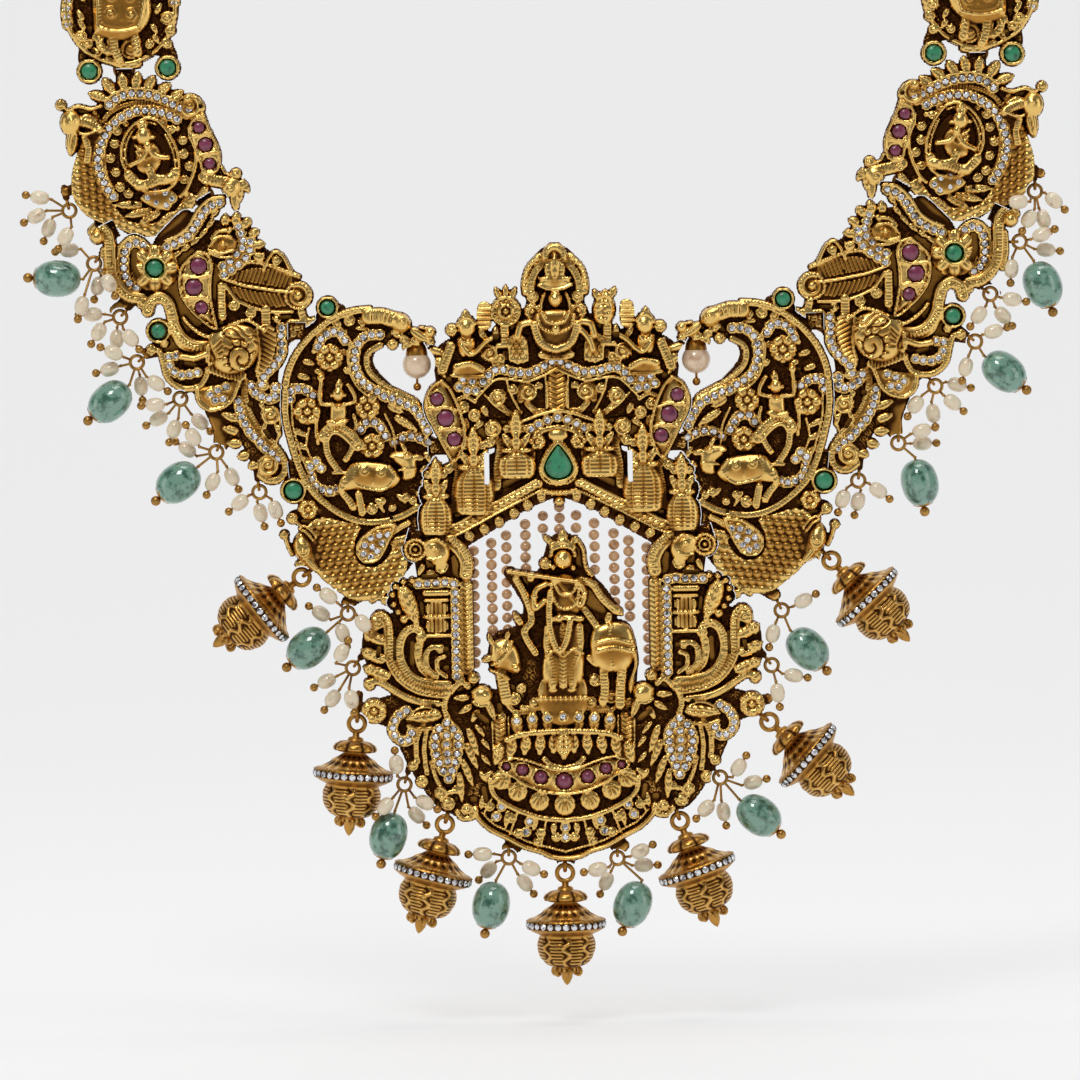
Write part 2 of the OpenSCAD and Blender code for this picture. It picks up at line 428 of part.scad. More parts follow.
module paisley_mid() {
    band([[-48.8, 13.6], [-48.8, 9], [-47.4, 3], [-44.8, -3.6], [-42, -6.5], [-38.8, -8.6], [-35.4, -9.8],
        [-31.5, -9.8], [-27.8, -8.8], [-25.5, -7.4]], 1);
    band([[-48.6, 15], [-46.8, 20.3], [-44.3, 23.2], [-42, 25.2], [-39.5, 26.9], [-36.5, 27.9],
        [-33.4, 28.1]], 1);
    band([[-31.6, 23.8], [-34.8, 23.1], [-36.2, 20.2], [-35.8, 16.9], [-33.6, 14.3], [-30.8, 12.6],
        [-27.7, 11.4], [-25.4, 9.9], [-23.2, 6.4]], 1.5);
    band([[-42.7, 22], [-42, 23.4], [-40.7, 24.4], [-38.8, 24.4]], 1.4);
    band([[-48, 12.4], [-47.4, 14.1], [-46, 14.2], [-44, 13.2]], 1.4);
    band([[-35.3, 7], [-34.3, 8.1], [-32.4, 7.6], [-31.1, 5.5]], 1.4);
    band([[-44.5, -0.6], [-44, -3], [-42.5, -4], [-40, -3.9]], 1.4);
    flower([-40.7, 19.8], 2.5, 6);
    flower([-44.9, 10.2], 2.4, 6);
    flower([-34.1, 10.8], 2.2, 6);
    flower([-33.4, 3.7], 2.4, 6);
    flower([-45.1, -7.4], 1.8, 6);
    blob([[-29.4, -10.3], [-33, -10.9], [-35.9, -13], [-36.4, -15.4], [-34.8, -17.2], [-32.4, -16.2],
        [-30.6, -13]]);
    band([[-30, -11.6], [-27.6, -10.4]], 1);
    band([[-29.6, -13.4], [-26.8, -12.4]], 1);
    band([[-33.6, -24.2], [-32.4, -23.4], [-31.2, -23.6]], 1.1);
    band([[-39.8, -4.4], [-37.2, -7.2]], 1.5);
    band([[-36.2, -5], [-35.5, -8]], 1.5);
    for (c = [[-28.5, 24.3, 1.1], [-27.2, 22, 1], [-37, 26.3, 1.1], [-34.5, 25.9, 0.9], [-33.7, -7.9, 1.1]])
        curl([c.x, c.y], c.z);
}

module paisley_high() {
    band([[-32.6, 27], [-30.6, 27], [-28, 25.9], [-26, 24.6]], 2.6);
    leaf([-26, 24.6], [-22.9, 22.4], 1.9);
    dot([-22.6, 24], 1);
    blob([[-48, -14.2], [-46.6, -11.4], [-44.6, -13], [-43.6, -15.6], [-43.6, -18.4], [-46.2, -17.4]]);
    curl([-48, -9], 0.95);
    curl([-49.5, -11.9], 0.8);
    band([[-46.4, -10.4], [-47.6, -9.4]], 0.8);
    band([[-48.2, -15], [-49, -12.6]], 0.8);
    blob([[-38.6, -1.2], [-37, 1], [-33, 1], [-29.4, -0.2], [-28.4, -2.6], [-31.6, -4.6], [-36, -4],
        [-39.2, -4]]);
    blob([[-25.6, 1.4], [-27, 3], [-30.2, 2.5], [-29.4, 0.9], [-28.2, -0.4], [-28, -2.6], [-25.8, -2]]);
    leaf([-26, 1.6], [-23.9, 1.4], 1.2);
    band([[-39.2, 13.4], [-39.2, 15]], 1.5);
    band([[-39, 12], [-39, 9.4], [-40, 8]], 2);
    band([[-38.4, 11.4], [-36.2, 12.6], [-37.4, 14.8]], 0.9);
    band([[-40, 11.4], [-42.4, 12.4], [-42.4, 15.8]], 0.9);
    band([[-41.8, 5.4], [-40, 6.8], [-37.4, 5.4], [-35.8, 3.6]], 2);
    band([[-41.4, 5], [-41.4, 2.4], [-39.4, -0.4]], 1.2);
}

// The middle plate, its left half

module centre_fill() {
    blob([[-24.4, -21], [-18.6, -20.6], [-18.4, -38.6], [-22, -42], [-30, -40], [-35, -36], [-35.6, -30],
        [-30, -26]]);
    blob([[-36, -43.5], [-30, -41], [-22, -42], [-16, -40], [-10, -42], [-9, -50], [-12, -62], [-21, -63],
        [-27, -56], [-31, -48], [-34, -46]]);
    blob([[-12, -54], [-16, -63.5], [-9.6, -67.8], [-2, -71], [2, -71], [3, -48], [-8, -48]]);
    blob([[-25, -4], [-22.4, -9], [-16, -7], [-12, -4], [-4, -1.6], [2, -2], [2, 12], [-3, 12], [-9, 4],
        [-16, 0]]);
    blob([[-20, 8], [-22, 20], [-16, 24], [-12, 24], [-8, 24], [-5, 30], [-5, 36], [2, 38], [2, 8],
        [-12, 8], [-18, 4]]);
    band([[-21.6, -14.6], [-14, -10], [-6, -5.4], [2, -2.4]], 5);
    band([[-30, -24.6], [-27, -25.4], [-24, -27]], 2.4);
    band([[-21.2, -17], [-20.8, -21.6]], 2.8);
    band([[-25.4, -16], [-24.6, -21.4]], 1.6);
    dot([-26, -15], 1.3);
    band([[-9, -69], [-10.3, -69.2]], 2);
}

module centre_low() {
    for (i = [0 : 3])
        leaf([-25.3 + i * 0.5, -33.5 - i * 1.6], [-23 + i * 0.9, -35.4 - i * 1.3], 1.1);
    for (a = [[-9, 15, -7.2, 10.4], [-12.2, 13, -9.6, 9.6], [-5.2, 14.6, -4, 10.4]])
        band([[a[0], a[1]], [a[2], a[3]]], 0.8);
    for (y = [10.4 : 1.4 : 17])
        band([[-1.7, y - 0.8], [0, y]], 0.7);
    for (a = [[-11.5, -54.7], [-9.3, -51.6], [-6.8, -49.9], [-4, -49], [-1.4, -48.6]])
        leaf(a + [0, 0.6], a + [-0.4, -2.6], 2.2);
    for (a = [[-15.2, -63.6, -11.7, -58.6], [-12, -66.6, -9.6, -60.6], [-8.6, -68.4, -7.4, -62.4],
        [-5, -70, -4.6, -63.6], [-1.6, -70.8, -1.6, -64.2]])
        leaf([a[2], a[3]], [a[0], a[1]], 2.2);
    for (y = [-53 : 1.4 : -46])
        band([[-12.4, y], [-10.6, y + 1]], 0.7);
    for (y = [-36.4 : 1.7 : -22])
        dot([-17, y], 0.75);
    band([[-17, -21.4], [-17, -37]], 0.8);
    band([[-7.4, -46.4], [-2, -44.8], [0, -44.8]], 2.4);
    for (a = [[-9.3, -64.8, -11, -62], [-14.5, -47, -13.4, -51], [-14, -53.4, -15.4, -55.8]])
        leaf([a[0], a[1]], [a[2], a[3]], 1.6);
    band([[-15, -56.8], [-12.6, -60.6], [-8.8, -63], [-4.8, -64.4], [0, -65]], 0.9);
    band([[-21.6, -1.2], [-19.6, -6], [-18.6, -10]], 1.2);
    band([[-11, 4.6], [-10.8, 0], [-11.2, -4]], 1.5);
}

module centre_mid() {
    flower([-34, -44], 2.2, 6);
    flower([-6.4, 3.4], 1.7, 6);
    for (c = [[-12, 20, 1.5], [-17, 10.3, 1.2], [-14.6, 8.8, 1.2], [-11.3, 6.3, 1.4], [-10.9, 12.3, 1.3],
        [-6.2, 12.9, 1.4], [-21, -61, 1.2], [-17.6, -61.8, 1.1], [-25.5, -56.8, 1.1], [-27.3, -53.8, 1],
        [-8.6, -42.2, 1.2], [-5, -43, 1]])
        curl([c.x, c.y], c.z);
    band([[-21.5, -12.8], [-18, -11.2], [-13, -8.6], [-8, -6], [-3.5, -3.4]], 1.6);
    for (c = [[-3.4, -5.6], [-5.8, -7.1], [-8.2, -8.5], [-10.8, -10], [-13.5, -11.4], [-16.2, -12.6]])
        dot(c, 0.95);
    band([[-26, -21.2], [-19.4, -21.2], [-19, -26], [-19, -37.6]], 1.5);
    for (y = [-22.9, -24.2, -27.1, -30.6])
        band([[-24.3, y], [-20.6, y]], 0.8);
    band([[-22.4, -22.6], [-22.4, -30.8]], 3);
    leaf([-28.8, -21.4], [-25.9, -28.6], 3.4);
    band([[-33.2, -28.2], [-32.2, -26.8], [-31.2, -28.4], [-31.2, -32], [-30.8, -35], [-29, -38],
        [-26, -39.8], [-21.4, -40.6]], 1.6);
    band([[-25, -30.3], [-26.4, -29.4], [-28.3, -30.4], [-29.1, -33], [-28.3, -36], [-26.4, -37.8],
        [-23.4, -38.6]], 1.3);
    band([[-21.8, -32.8], [-24, -33.4], [-24.6, -35.6], [-23, -37.4]], 0.8);
    for (c = [[-34.3, -30.3, -31.9, -31.6], [-34.6, -33.4, -31.8, -35], [-34.3, -36.4, -31, -37.9]])
        leaf([c[2], c[3]], [c[0], c[1]] + [-1.2, 0.8], 2.3);
    band([[-35, -39.2], [-32, -39.4], [-29, -41.4], [-25.6, -42.4], [-22.5, -42.6]], 1.3);
    band([[-18, -38.8], [-20.4, -41], [-21.3, -43.2], [-20.8, -45.4]], 1.2);
    band([[-28.6, -44], [-30.6, -46.3], [-30.4, -48.6], [-28.2, -49.5], [-27.2, -48]], 1.4);
    leaf([-22.4, -44.8], [-28.2, -45.6], 3.4);
    blob([[-20.5, -45.8], [-18.4, -49], [-18.6, -52], [-20.5, -57], [-22.4, -54.6], [-23.6, -51],
        [-23, -47.6]]);
    band([[-25.6, -46.9], [-26.6, -50], [-26.4, -53]], 0.9);
    band([[-24.4, -47.4], [-25, -51], [-24.4, -55.4]], 0.9);
    band([[-23.4, -56.4], [-22.4, -58.8]], 1);
    for (a = [[-17.3, -47.6, -15.6, -52], [-18, -50, -15.9, -54.6], [-18.6, -53, -16.8, -57.8],
        [-19, -55.6, -18.6, -60]])
        leaf([a[0], a[1]], [a[2], a[3]], 1.6);
    for (x = [-7.9, -5.3, -2.7, 0])
        leaf([x, -48.4], [x * 1.06, -43.8 - abs(x) * 0.08], 2.3);
    blob([[-11.8, -53.8], [-8.5, -52.9], [-4, -54.4], [0, -55.1], [0, -59.4], [-3.2, -58.9],
        [-7, -57.4], [-10.6, -55.4]]);
    for (a = [[-11.7, -57.4, 225], [-8.6, -59.6, 240], [-4.7, -61.3, 255], [0, -62, 270]])
        translate([a[0], a[1]])
            rotate(a[2])
                translate([-0.6, 0])
                    circle(1.85, $fn = 10);
    band([[-15.7, -63.4], [-13.5, -65.7], [-10.5, -67.3], [-7.5, -68.9], [-4.6, -69.8], [0, -71.1]], 1);
    band([[-13.8, 13.4], [-12, 15.5], [-9.2, 16.8], [-6.3, 16.4], [-3.3, 16.8], [0, 18.6]], 1.5);
    band([[-4.3, 7], [-2, 8], [0, 8.3]], 1.2);
    dot([0, 5], 1.7);
    band([[-2.7, 36.8], [-4.6, 35], [-5.4, 32.6], [-5.3, 30.4]], 1.2);
    dot([-8.9, 27.5], 2.7);
    band([[-12.8, 24.9], [-12.8, 28.6]], 2.2);
    band([[-9.1, 24.8], [-9.2, 22]], 2);
    leaf([-9.6, 29.6], [-10.4, 31.6], 1.3);
    leaf([-8.9, 29.8], [-8.9, 32], 1.3);
    leaf([-8.2, 29.6], [-7.4, 31.6], 1.3);
    leaf([-6.6, 18.6], [-7.2, 23], 2.6);
    band([[-22.4, 20.8], [-20.2, 20]], 1.4);
    band([[-19.2, 20.8], [-20.3, 17.4]], 2);
    band([[-17, 17.4], [-13.4, 17]], 2.4);
    blob([[-20.6, 15.2], [-22.9, 12.8], [-23.4, 9.6], [-22, 6.5], [-18.8, 1.2], [-16.8, 4], [-16.8, 7],
        [-18.4, 11.4]]);
}

module centre_high() {
    curl([-26, -15], 2.1);
    blob([[-24.4, -13.2], [-20.6, -13.4], [-19.6, -16], [-21.2, -18.6], [-23.6, -17.6], [-24.6, -15.6]]);
    leaf([-19.8, -15.4], [-16.2, -18.4], 3);
    blob([[-15.8, -39.6], [-13.6, -39.8], [-12.4, -42], [-13.4, -44], [-16, -43.6], [-16.8, -41.6]]);
    leaf([-13.2, -42.8], [-12.2, -45.8], 1.5);
    dot([-16, -38.4], 1);
    blob([[-0.2, 38.6], [-1.8, 37.6], [-2, 35], [-3.3, 33], [-3.2, 31.6], [0, 30.8], [2.6, 31.6],
        [2.8, 33], [1.6, 35], [1.4, 37.6]]);
    blob([[-4.8, 25], [-2, 26.2], [2, 26.2], [4.6, 25], [4.4, 21.4], [0, 19.9], [-4.4, 21.4]]);
    curl([-4.1, 29.9], 1);
    curl([-4.1, 27.4], 1.3);
    band([[-4.8, 24.2], [-6.9, 22.6], [-6.8, 20]], 1.4);
    dot([-16, 24.6], 1.7);
    dot([-18.6, 24.2], 1.1);
    band([[-17.6, 22.4], [-16, 19.6]], 2.8);
    band([[-16.4, 21.4], [-13.8, 20.6], [-11.6, 22.6]], 1.2);
    dot([-8.9, 27.5], 1);
}

// The flute player with the cow, drawn whole

module figure_low() {
    blob([[-12, -30.4], [-13.4, -34], [-12.4, -38], [-7, -41], [-7, -44.4], [8, -44.4], [12.4, -43],
        [13.6, -36], [12.4, -29.4], [8, -27.6], [4, -25], [3, -20], [2.4, -13.2], [-1.6, -13.2],
        [-3.6, -18.4], [-6, -22], [-6.4, -27.6], [-9, -29.4]]);
    band([[-9, -19.6], [-7.2, -22.4], [-5.6, -26], [-7, -30]], 2);
    band([[2.6, -19.6], [6, -22], [9.6, -26.8]], 2);
}

module figure_mid() {
    blob([[-13, -32.8], [-12.4, -31], [-9.6, -30.6], [-7.6, -33], [-7, -36.4], [-9, -38.2], [-12.4, -37.2]]);
    blob([[5, -29.6], [9, -28.4], [12.6, -30], [13.2, -34.4], [11.6, -37.6], [7, -37.4], [4.6, -34]]);
    band([[10.6, -37], [10.2, -43.6]], 1.8);
    band([[12.8, -32], [13.1, -36], [12.3, -40.4]], 0.9);
    band([[-10.6, -38], [-10, -42]], 1.8);
    band([[3, -21], [5.6, -21.8], [7.4, -24.4], [9.6, -26.7]], 1.4);
    band([[3.5, -25.8], [6.6, -30], [7.6, -35.2], [5.2, -36]], 1.3);
    band([[-7.6, -20.6], [-6.2, -24], [-5.2, -28], [-6.6, -30.4], [-4.6, -34]], 1.3);
    band([[-7, -43.6], [6, -43.6]], 1.6);
    band([[-13.2, -31.8], [-12, -30.4]], 0.9);
    leaf([-12.4, -34.6], [-14.4, -35.2], 1.2);
}

module figure_high() {
    blob([[-3.6, -29], [-1.8, -27], [-2.4, -22.2], [0.2, -20.6], [3.4, -21.8], [3.6, -26.8], [3.6, -29],
        [4, -40.6], [-3.8, -40.6]]);
    band([[-4.2, -42.2], [4.2, -42.2]], 1.6);
    leaf([0.4, -15.4], [0.6, -11.9], 2.8);
    leaf([-1.4, -15.4], [-3.1, -13.2], 1.2);
    curl([-2.8, -18], 0.9);
    band([[3.2, -15], [4, -18], [5, -20.4]], 0.9);
    band([[-4.7, -22], [-4.8, -25.8], [-3, -24.6]], 1.3);
    band([[3, -22], [3.5, -25.2], [1.6, -23.4], [-0.3, -21.6]], 1.3);
}

// Heads, bellies and other round parts: middle, radius and how far the ball's top stands out

module domes(list) {
    for (d = list)
        intersection() {
            translate([d[0] * k, d[1] * k, d[3] - d[2]])
                sphere(d[2], $fn = 24);
            translate([d[0] * k - 1.3 * d[2], d[1] * k - 1.3 * d[2], -plate_t / 2])
                cube([2.6 * d[2], 2.6 * d[2], d[3] + plate_t]);
        }
}

// The side of a pot with a leafy top, from its foot up: half-width and height
function pot_side(r, h) = [[0, 0], [r * 0.9, 0], [r, h * 0.22], [r * 0.92, h * 0.38], [r * 0.55, h * 0.5],
    [r * 0.55, h * 0.54], [r * 0.66, h * 0.56], [r * 0.66, h * 0.6], [r * 0.4, h * 0.64], [r * 0.7, h * 0.72],
    [r * 0.4, h * 0.8], [0.12, h], [0, h]];

// A pot, as far as it stands out of the plate
module pot(c, r, h) {
    intersection() {
        translate([c.x * k, c.y * k, high_h + 0.6 - r])
            rotate([-90, 0, 0])
                rotate_extrude($fn = 32)
                    polygon(pot_side(r, h));
        translate([c.x * k - 1.2 * r, c.y * k - 1, -plate_t / 2])
            cube([2.4 * r, h + 2, r + 4]);
    }
}

// A rim that a stone sits in
module setting(c, r, top) {
    translate([c.x * k, c.y * k, -plate_t / 2])
        difference() {
            cylinder(h = top + plate_t / 2, r = r + gap + 0.5, $fn = 32);
            translate([0, 0, top + plate_t / 2 - 0.9])
                cylinder(h = 2, r = r + gap, $fn = 32);
        }
}

// Openings pierced through plate i
module pierced(i) {
    if (i == 0) {
        dot([-25.1, 18.4], 3.3);
        band([[-28.6, 18], [-25.4, 16], [-24.4, 13.8]], 1.6);
        dot([-20.9, -33.4], 0.6);
        dot([-20.9, -36.6], 0.6);
        band([[-15.6, -44.8], [-13.8, -46.4]], 0.9);
        band([[-11.4, -42.4], [-11.4, -44.6]], 0.9);
        dot([-19.9, -59.2], 0.6);
        dot([-16.6, -60.4], 0.8);
        band([[-14.6, -58], [-14, -61]], 0.8);
        dot([-32.4, -25.4], 0.7);
        band([[-29.8, -31], [-30, -34.4]], 0.5);
        band([[-26.6, -33], [-25.8, -36]], 0.7);
        band([[-33, -33], [-33.2, -34.2]], 0.7);
        dot([-15.3, 15.6], 0.7);
        dot([-19.6, 14.6], 0.7);
        dot([-12.2, 22.2], 0.8);
        band([[-11.1, 25], [-11.1, 28]], 0.6);
        band([[-13, 1.6], [-12.8, -3.4]], 0.7);
        band([[-22.4, -19.3], [-25.2, -19]], 0.9);
        band([[-25.4, -24.6], [-25, -26.8]], 0.5);
        dot([-23.3, -43.6], 0.6);
        dot([-32.4, -41.2], 0.6);
    }
    if (i == 1) {
        dot([-25.1, 18.4], 3.3);
        band([[-28.6, 18], [-25.4, 16], [-24.4, 13.8]], 1.6);
        dot([-43.2, -7.9], 0.6);
    }
    if (i == 2) {
        band([[-75.4, 39.6], [-75.5, 37], [-74.9, 35.4]], 1.1);
        band([[-49.6, 27.1], [-47.8, 27.2]], 0.6);
        band([[-54.4, 30.4], [-52.6, 30.2]], 0.4);
        band([[-58.8, 31.4], [-58.3, 30.4]], 0.6);
        dot([-76.4, 29.8], 0.4);
        dot([-79.9, 29.3], 1);
        band([[-66.8, 19.2], [-64.6, 18.8]], 0.7);
        dot([-55.3, 11.6], 0.6);
        band([[-52.6, 6.9], [-51.8, 5.6]], 0.7);
        dot([-57.4, 0.9], 0.4);
        band([[-61, 24.6], [-59.8, 24.9]], 0.4);
        dot([-51.9, 33.5], 0.4);
    }
    if (i == 3) {
        band([[-60.6, 50], [-59.8, 48.6]], 1.1);
        dot([-65, 46.4], 0.5);
        dot([-62.9, 65.4], 0.4);
        dot([-75.3, 48.1], 0.4);
        dot([-83.7, 64.2], 0.4);
        dot([-85.7, 60], 0.4);
    }
    if (i == 4) {
        dot([-81.3, 75.8], 0.5);
        dot([-71.9, 75.3], 0.5);
        dot([-82.8, 79.6], 0.45);
        dot([-71, 83.6], 0.5);
    }
}

function unit(v) = v / norm(v);
// The way down of a drop or bell that leans by a degrees
function down(a) = [-sin(a), -cos(a)];
// The bells that plate i holds
function held(i, right) = i == 0 ? [BELL_C, BELLS_L[0], BELLS_L[1], BELLS_R[0], BELLS_R[1]]
    : i > 1 ? [] : right ? [[[-BELLS_R[2][0].x, BELLS_R[2][0].y], -BELLS_R[2][1]]] : [BELLS_L[2]];
function hinge(b) = b[0] * k - down(b[1]) * bell_ring_r;
mid_z = -plate_t / 2;
ring_z = -plate_t - drop_wire / 2 - gap;
curtain_z = -plate_t - gap - curtain_d / 2;
// The plate that each cluster hangs from
OWNER = [3, 2, 2, 2, 2, 2, 2, 1, 0, 0, 0];

// The outer pot, which stands at the seam: foot, radius and height
SEAM_POT = [[-22.1, -12.5], 3.2, 14];

// The body of plate i in front view, before its neighbour is taken away from it
module raw(i) {
    offset(delta = -0.3)
        difference() {
            offset(delta = -0.5)
                offset(delta = 0.8 + plate_edge, chamfer = true)
                    scale(k) {
                    if (i == 0) {
                        both() {
                            centre_fill();
                            centre_low();
                            centre_mid();
                            centre_high();
                        }
                        figure_low();
                        figure_mid();
                        figure_high();
                    }
                    if (i == 1) {
                        paisley_fill();
                        paisley_low();
                        paisley_mid();
                        paisley_high();
                    }
                    if (i == 2) {
                        elephant_fill();
                        elephant_low();
                        elephant_mid();
                        elephant_high();
                    }
                    if (i == 3) {
                        peacock_fill();
                        peacock_mid();
                        peacock_high();
                    }
                    if (i == 4) {
                        medallion_fill();
                        medallion_mid();
                    }
                }
            scale(k) {
                if (i == 0)
                    both()
                        pierced(0);
                else
                    pierced(i);
            }
            if (i == 0)
                both()
                    pads(0, 1, plate_gap - 0.3);
            else
                pads(i, 1, plate_gap - 0.3);
        }
    if (i == 0)
        both() {
            pads(0, -1, 0);
            translate(SEAM_POT[0] * k)
                for (m = [0, 1])
                    mirror([m, 0])
                        polygon(pot_side(SEAM_POT[1], SEAM_POT[2]));
        }
    else
        pads(i, -1, 0);
    pads(i - 1, 1, 0);
}

// Which joints plate a has with the plate outside it
function joints(a) = a < 0 || a > 3 ? [] : a == 3 ? [6] : [2 * a, 2 * a + 1];

// Pads at the joints of plate a with the plate outside it: side -1 is its own, side 1 is the other's
module pads(a, side, more) {
    for (j = joints(a))
        let(p = JOINTS[j][0] * k, n = unit(JOINTS[j][1]) * side)
            translate(p)
                rotate(atan2(-n.y, -n.x))
                    translate([plate_gap / 2 - more, -1.5 - more])
                        square([3.2 + more, 3 + 2 * more]);
}

// The lugs that hold the loops of plate i, for the left or the right tables
module lugs(i, list) {
    for (c = [0 : len(list) - 1])
        if (OWNER[c] == i)
            let(n = unit(list[c][1]), p = list[c][0] * k)
                band([p - n * (drop_loop_r + 0.45), p - n * 3], 1.2);
}

// Room in plate i for the rings of the clusters in list that hang at its edge
module ring_room(i, list) {
    for (c = [0 : len(list) - 1])
        if (abs(OWNER[c] - i) < 2)
            translate(knot(list[c]))
                circle(drop_ring_r + drop_wire / 2 + 0.25, $fn = 16);
}

// The front view of plate i, right or left for the outer ones
module body(i, right) {
    offset(delta = 0.01) {
        difference() {
            raw(i);
            if (i > 0)
                offset(r = plate_gap, $fn = 8)
                    raw(i - 1);
            if (i > 0 && i < 4)
                ring_room(i, right ? DROPS_R : DROPS_L);
            if (i == 0) {
                ring_room(0, DROPS_L);
                mirror([1, 0])
                    ring_room(0, DROPS_R);
            }
            for (b = held(i, right))
                translate(b[0] * k)
                    circle(bell_ring_r + bell_wire / 2 + 0.35, $fn = 16);
        }
        if (i == 0) {
            lugs(0, DROPS_L);
            mirror([1, 0])
                lugs(0, DROPS_R);
            band([[-36.9, -43.2] * k, [-34.4, -43.8] * k], 1.5);
        }
        else
            lugs(i, right ? DROPS_R : DROPS_L);
        for (b = held(i, right))
            let(p = hinge(b), n = down(b[1]))
                band([p - n * (bell_loop_r + 0.55), p - n * 3.8], 1.5);
    }
}

// One height of the relief of plate i, cut clear of the neighbouring plate
module relief(i, level, right) {
    offset(delta = 0.01)
        difference() {
            intersection() {
                body(i, right);
                scale(k) {
                    if (i == 0 && level == 1) {
                        both()
                            centre_low();
                        figure_low();
                    }
                    if (i == 0 && level == 2) {
                        both()
                            centre_mid();
                        figure_mid();
                    }
                    if (i == 0 && level == 3) {
                        both()
                            centre_high();
                        figure_high();
                    }
                    if (i == 1 && level == 1)
                        paisley_low();
                    if (i == 1 && level == 2)
                        paisley_mid();
                    if (i == 1 && level == 3)
                        paisley_high();
                    if (i == 2 && level == 1)
                        elephant_low();
                    if (i == 2 && level == 2)
                        elephant_mid();
                    if (i == 2 && level == 3)
                        elephant_high();
                    if (i == 3 && level == 1)
                        peacock_low();
                    if (i == 3 && level == 2)
                        peacock_mid();
                    if (i == 3 && level == 3)
                        peacock_high();
                    if (i == 4 && level == 1)
                        medallion_low();
                    if (i == 4 && level == 2)
                        medallion_mid();
                    if (i == 4 && level == 3)
                        medallion_high();
                }
            }
            for (s = EMERALDS)
                if (s[2] == i)
                    for (m = i == 0 ? [0, 1] : [0])
                        mirror([m, 0])
                            dot(s[0] * k, s[1] + gap + 0.2);
            for (s = RUBIES)
                if (s[2] == i)
                    for (m = i == 0 ? [0, 1] : [0])
                        mirror([m, 0])
                            dot(s[0] * k, s[1] + gap + 0.05);
            if (i == 0) {
                for (s = RUBIES_C)
                    dot(s[0] * k, s[1] + gap + 0.05);
                scale(k)
                    translate([0, 0.2])
                        circle(3.2);
            }
        }
}

// The cast plate i with its relief
module plate(i, right) {
    translate([0, 0, -plate_t])
        linear_extrude(plate_t)
            body(i, right);
    heights = [low_h, mid_h, high_h];
    for (n = [1 : 3])
        translate([0, 0, -0.3])
            linear_extrude(heights[n - 1] + 0.3)
                relief(i, n, right);
}

// A wire ring: its middle, its radius, the wire, and the angle of its plane
module ring(c, z, r, w, turn, edge_on) {
    translate([c.x, c.y, z])
        rotate([0, 0, turn])
            rotate([edge_on ? 90 : 0, 0, 0])
                rotate_extrude($fn = 48)
                    translate([r, 0])
                        circle(w / 2, $fn = 16);
}

// Loops for the drops of the clusters that plate i holds
module drop_loops(i, list) {
    for (c = [0 : len(list) - 1])
        if (OWNER[c] == i)
            let(n = unit(list[c][1]))
                ring(list[c][0] * k, mid_z, drop_loop_r, drop_wire, atan2(n.y, n.x), true);
}

// Staples on the back that the joining rings of joints(a) pass through: side -1 outside, 1 inside
module staples(a, side) {
    for (j = joints(a))
        let(n = unit(JOINTS[j][1]))
            ring(JOINTS[j][0] * k + n * 1.75 * side, ring_z, drop_loop_r, drop_wire, atan2(n.y, n.x), true);
}

// Places the drawing in the hanging necklace
module front() {
    translate([0, mid_z, -neck_drop])
        rotate([90, 0, 0])
            children();
}

// A straight wire from a to b, with balls at its ends where their radii aren't 0
module rod(a, b, d, first = 0, last = 0) {
    v = b - a;
    translate(a)
        rotate([0, acos(v.z / norm(v)), atan2(v.y, v.x)]) {
            cylinder(h = norm(v), r = d / 2, $fn = 16);
            if (first > 0)
                sphere(first, $fn = 16);
            if (last > 0)
                translate([0, 0, norm(v)])
                    sphere(last, $fn = 20);
        }
}

// Middle of the ring of cluster c
function knot(c) = c[0] * k + unit(c[1]) * drop_ring_r;
// A drop's middle and the way along it, moved with its cluster when the front grows
function shift(c, v) = v + c[0] * (k - 1);

// The pin of a drop of length l with its middle at p and its ball towards q, f forward
module pin(c, p, q, f, l, ball) {
    u = unit(q - p);
    a = p - u * (l / 2 + 0.35);
    e = knot(c) + unit(a - knot(c)) * drop_ring_r;
    rod([e.x, e.y, mid_z], [a.x, a.y, mid_z + f], pin_d);
    b = p + u * (l / 2 + ball + gap / 2);
    rod([a.x, a.y, mid_z + f], [b.x, b.y, mid_z + f], pin_d, pin_d / 2 + 0.08, ball);
}

// The wires of the clusters of one side: a ring and a head pin through each bead
module drop_wires(list, quartz) {
    for (i = [0 : len(list) - 1]) {
        c = list[i];
        ring(knot(c), mid_z, drop_ring_r, drop_wire, 0, false);
        for (d = c[2])
            pin(c, shift(c, [d[0], d[1]]), shift(c, [d[2], d[3]]), d[4], pearl_l, pin_ball_r);
        for (d = quartz)
            if (d[0] == i)
                pin(c, shift(c, [d[1], d[2]]), shift(c, [d[3], d[4]]), d[5], quartz_l, pin_ball_r + 0.15);
    }
}

// A drilled oval bead at p that points to q
module bead(p, q, f, l, d, power) {
    hole = pin_d / 2 + gap;
    n = 8;
    h = l / 2 * sqrt(1 - pow(hole * 2 / d, 2));
    u = q - p;
    translate([p.x, p.y, mid_z + f])
        rotate([0, 0, atan2(u.y, u.x) - 90])
            rotate([-90, 0, 0])
                rotate_extrude($fn = 32)
                    polygon(concat([[hole, -h]], [for (i = [1 : n - 1])
                        let(y = -h + 2 * h * i / n) [d / 2 * pow(1 - pow(abs(y) / l * 2, power), 1 / power), y]],
                        [[hole, h]]));
}

module rice_pearls(list) {
    for (c = list, d = c[2])
        bead(shift(c, [d[0], d[1]]), shift(c, [d[2], d[3]]), d[4], pearl_l, pearl_d, 2.3);
}

module quartz(list, table, i) {
    d = table[i];
    c = list[d[0]];
    bead(shift(c, [d[1], d[2]]), shift(c, [d[3], d[4]]), d[5], quartz_l, quartz_d, 2.2);
}

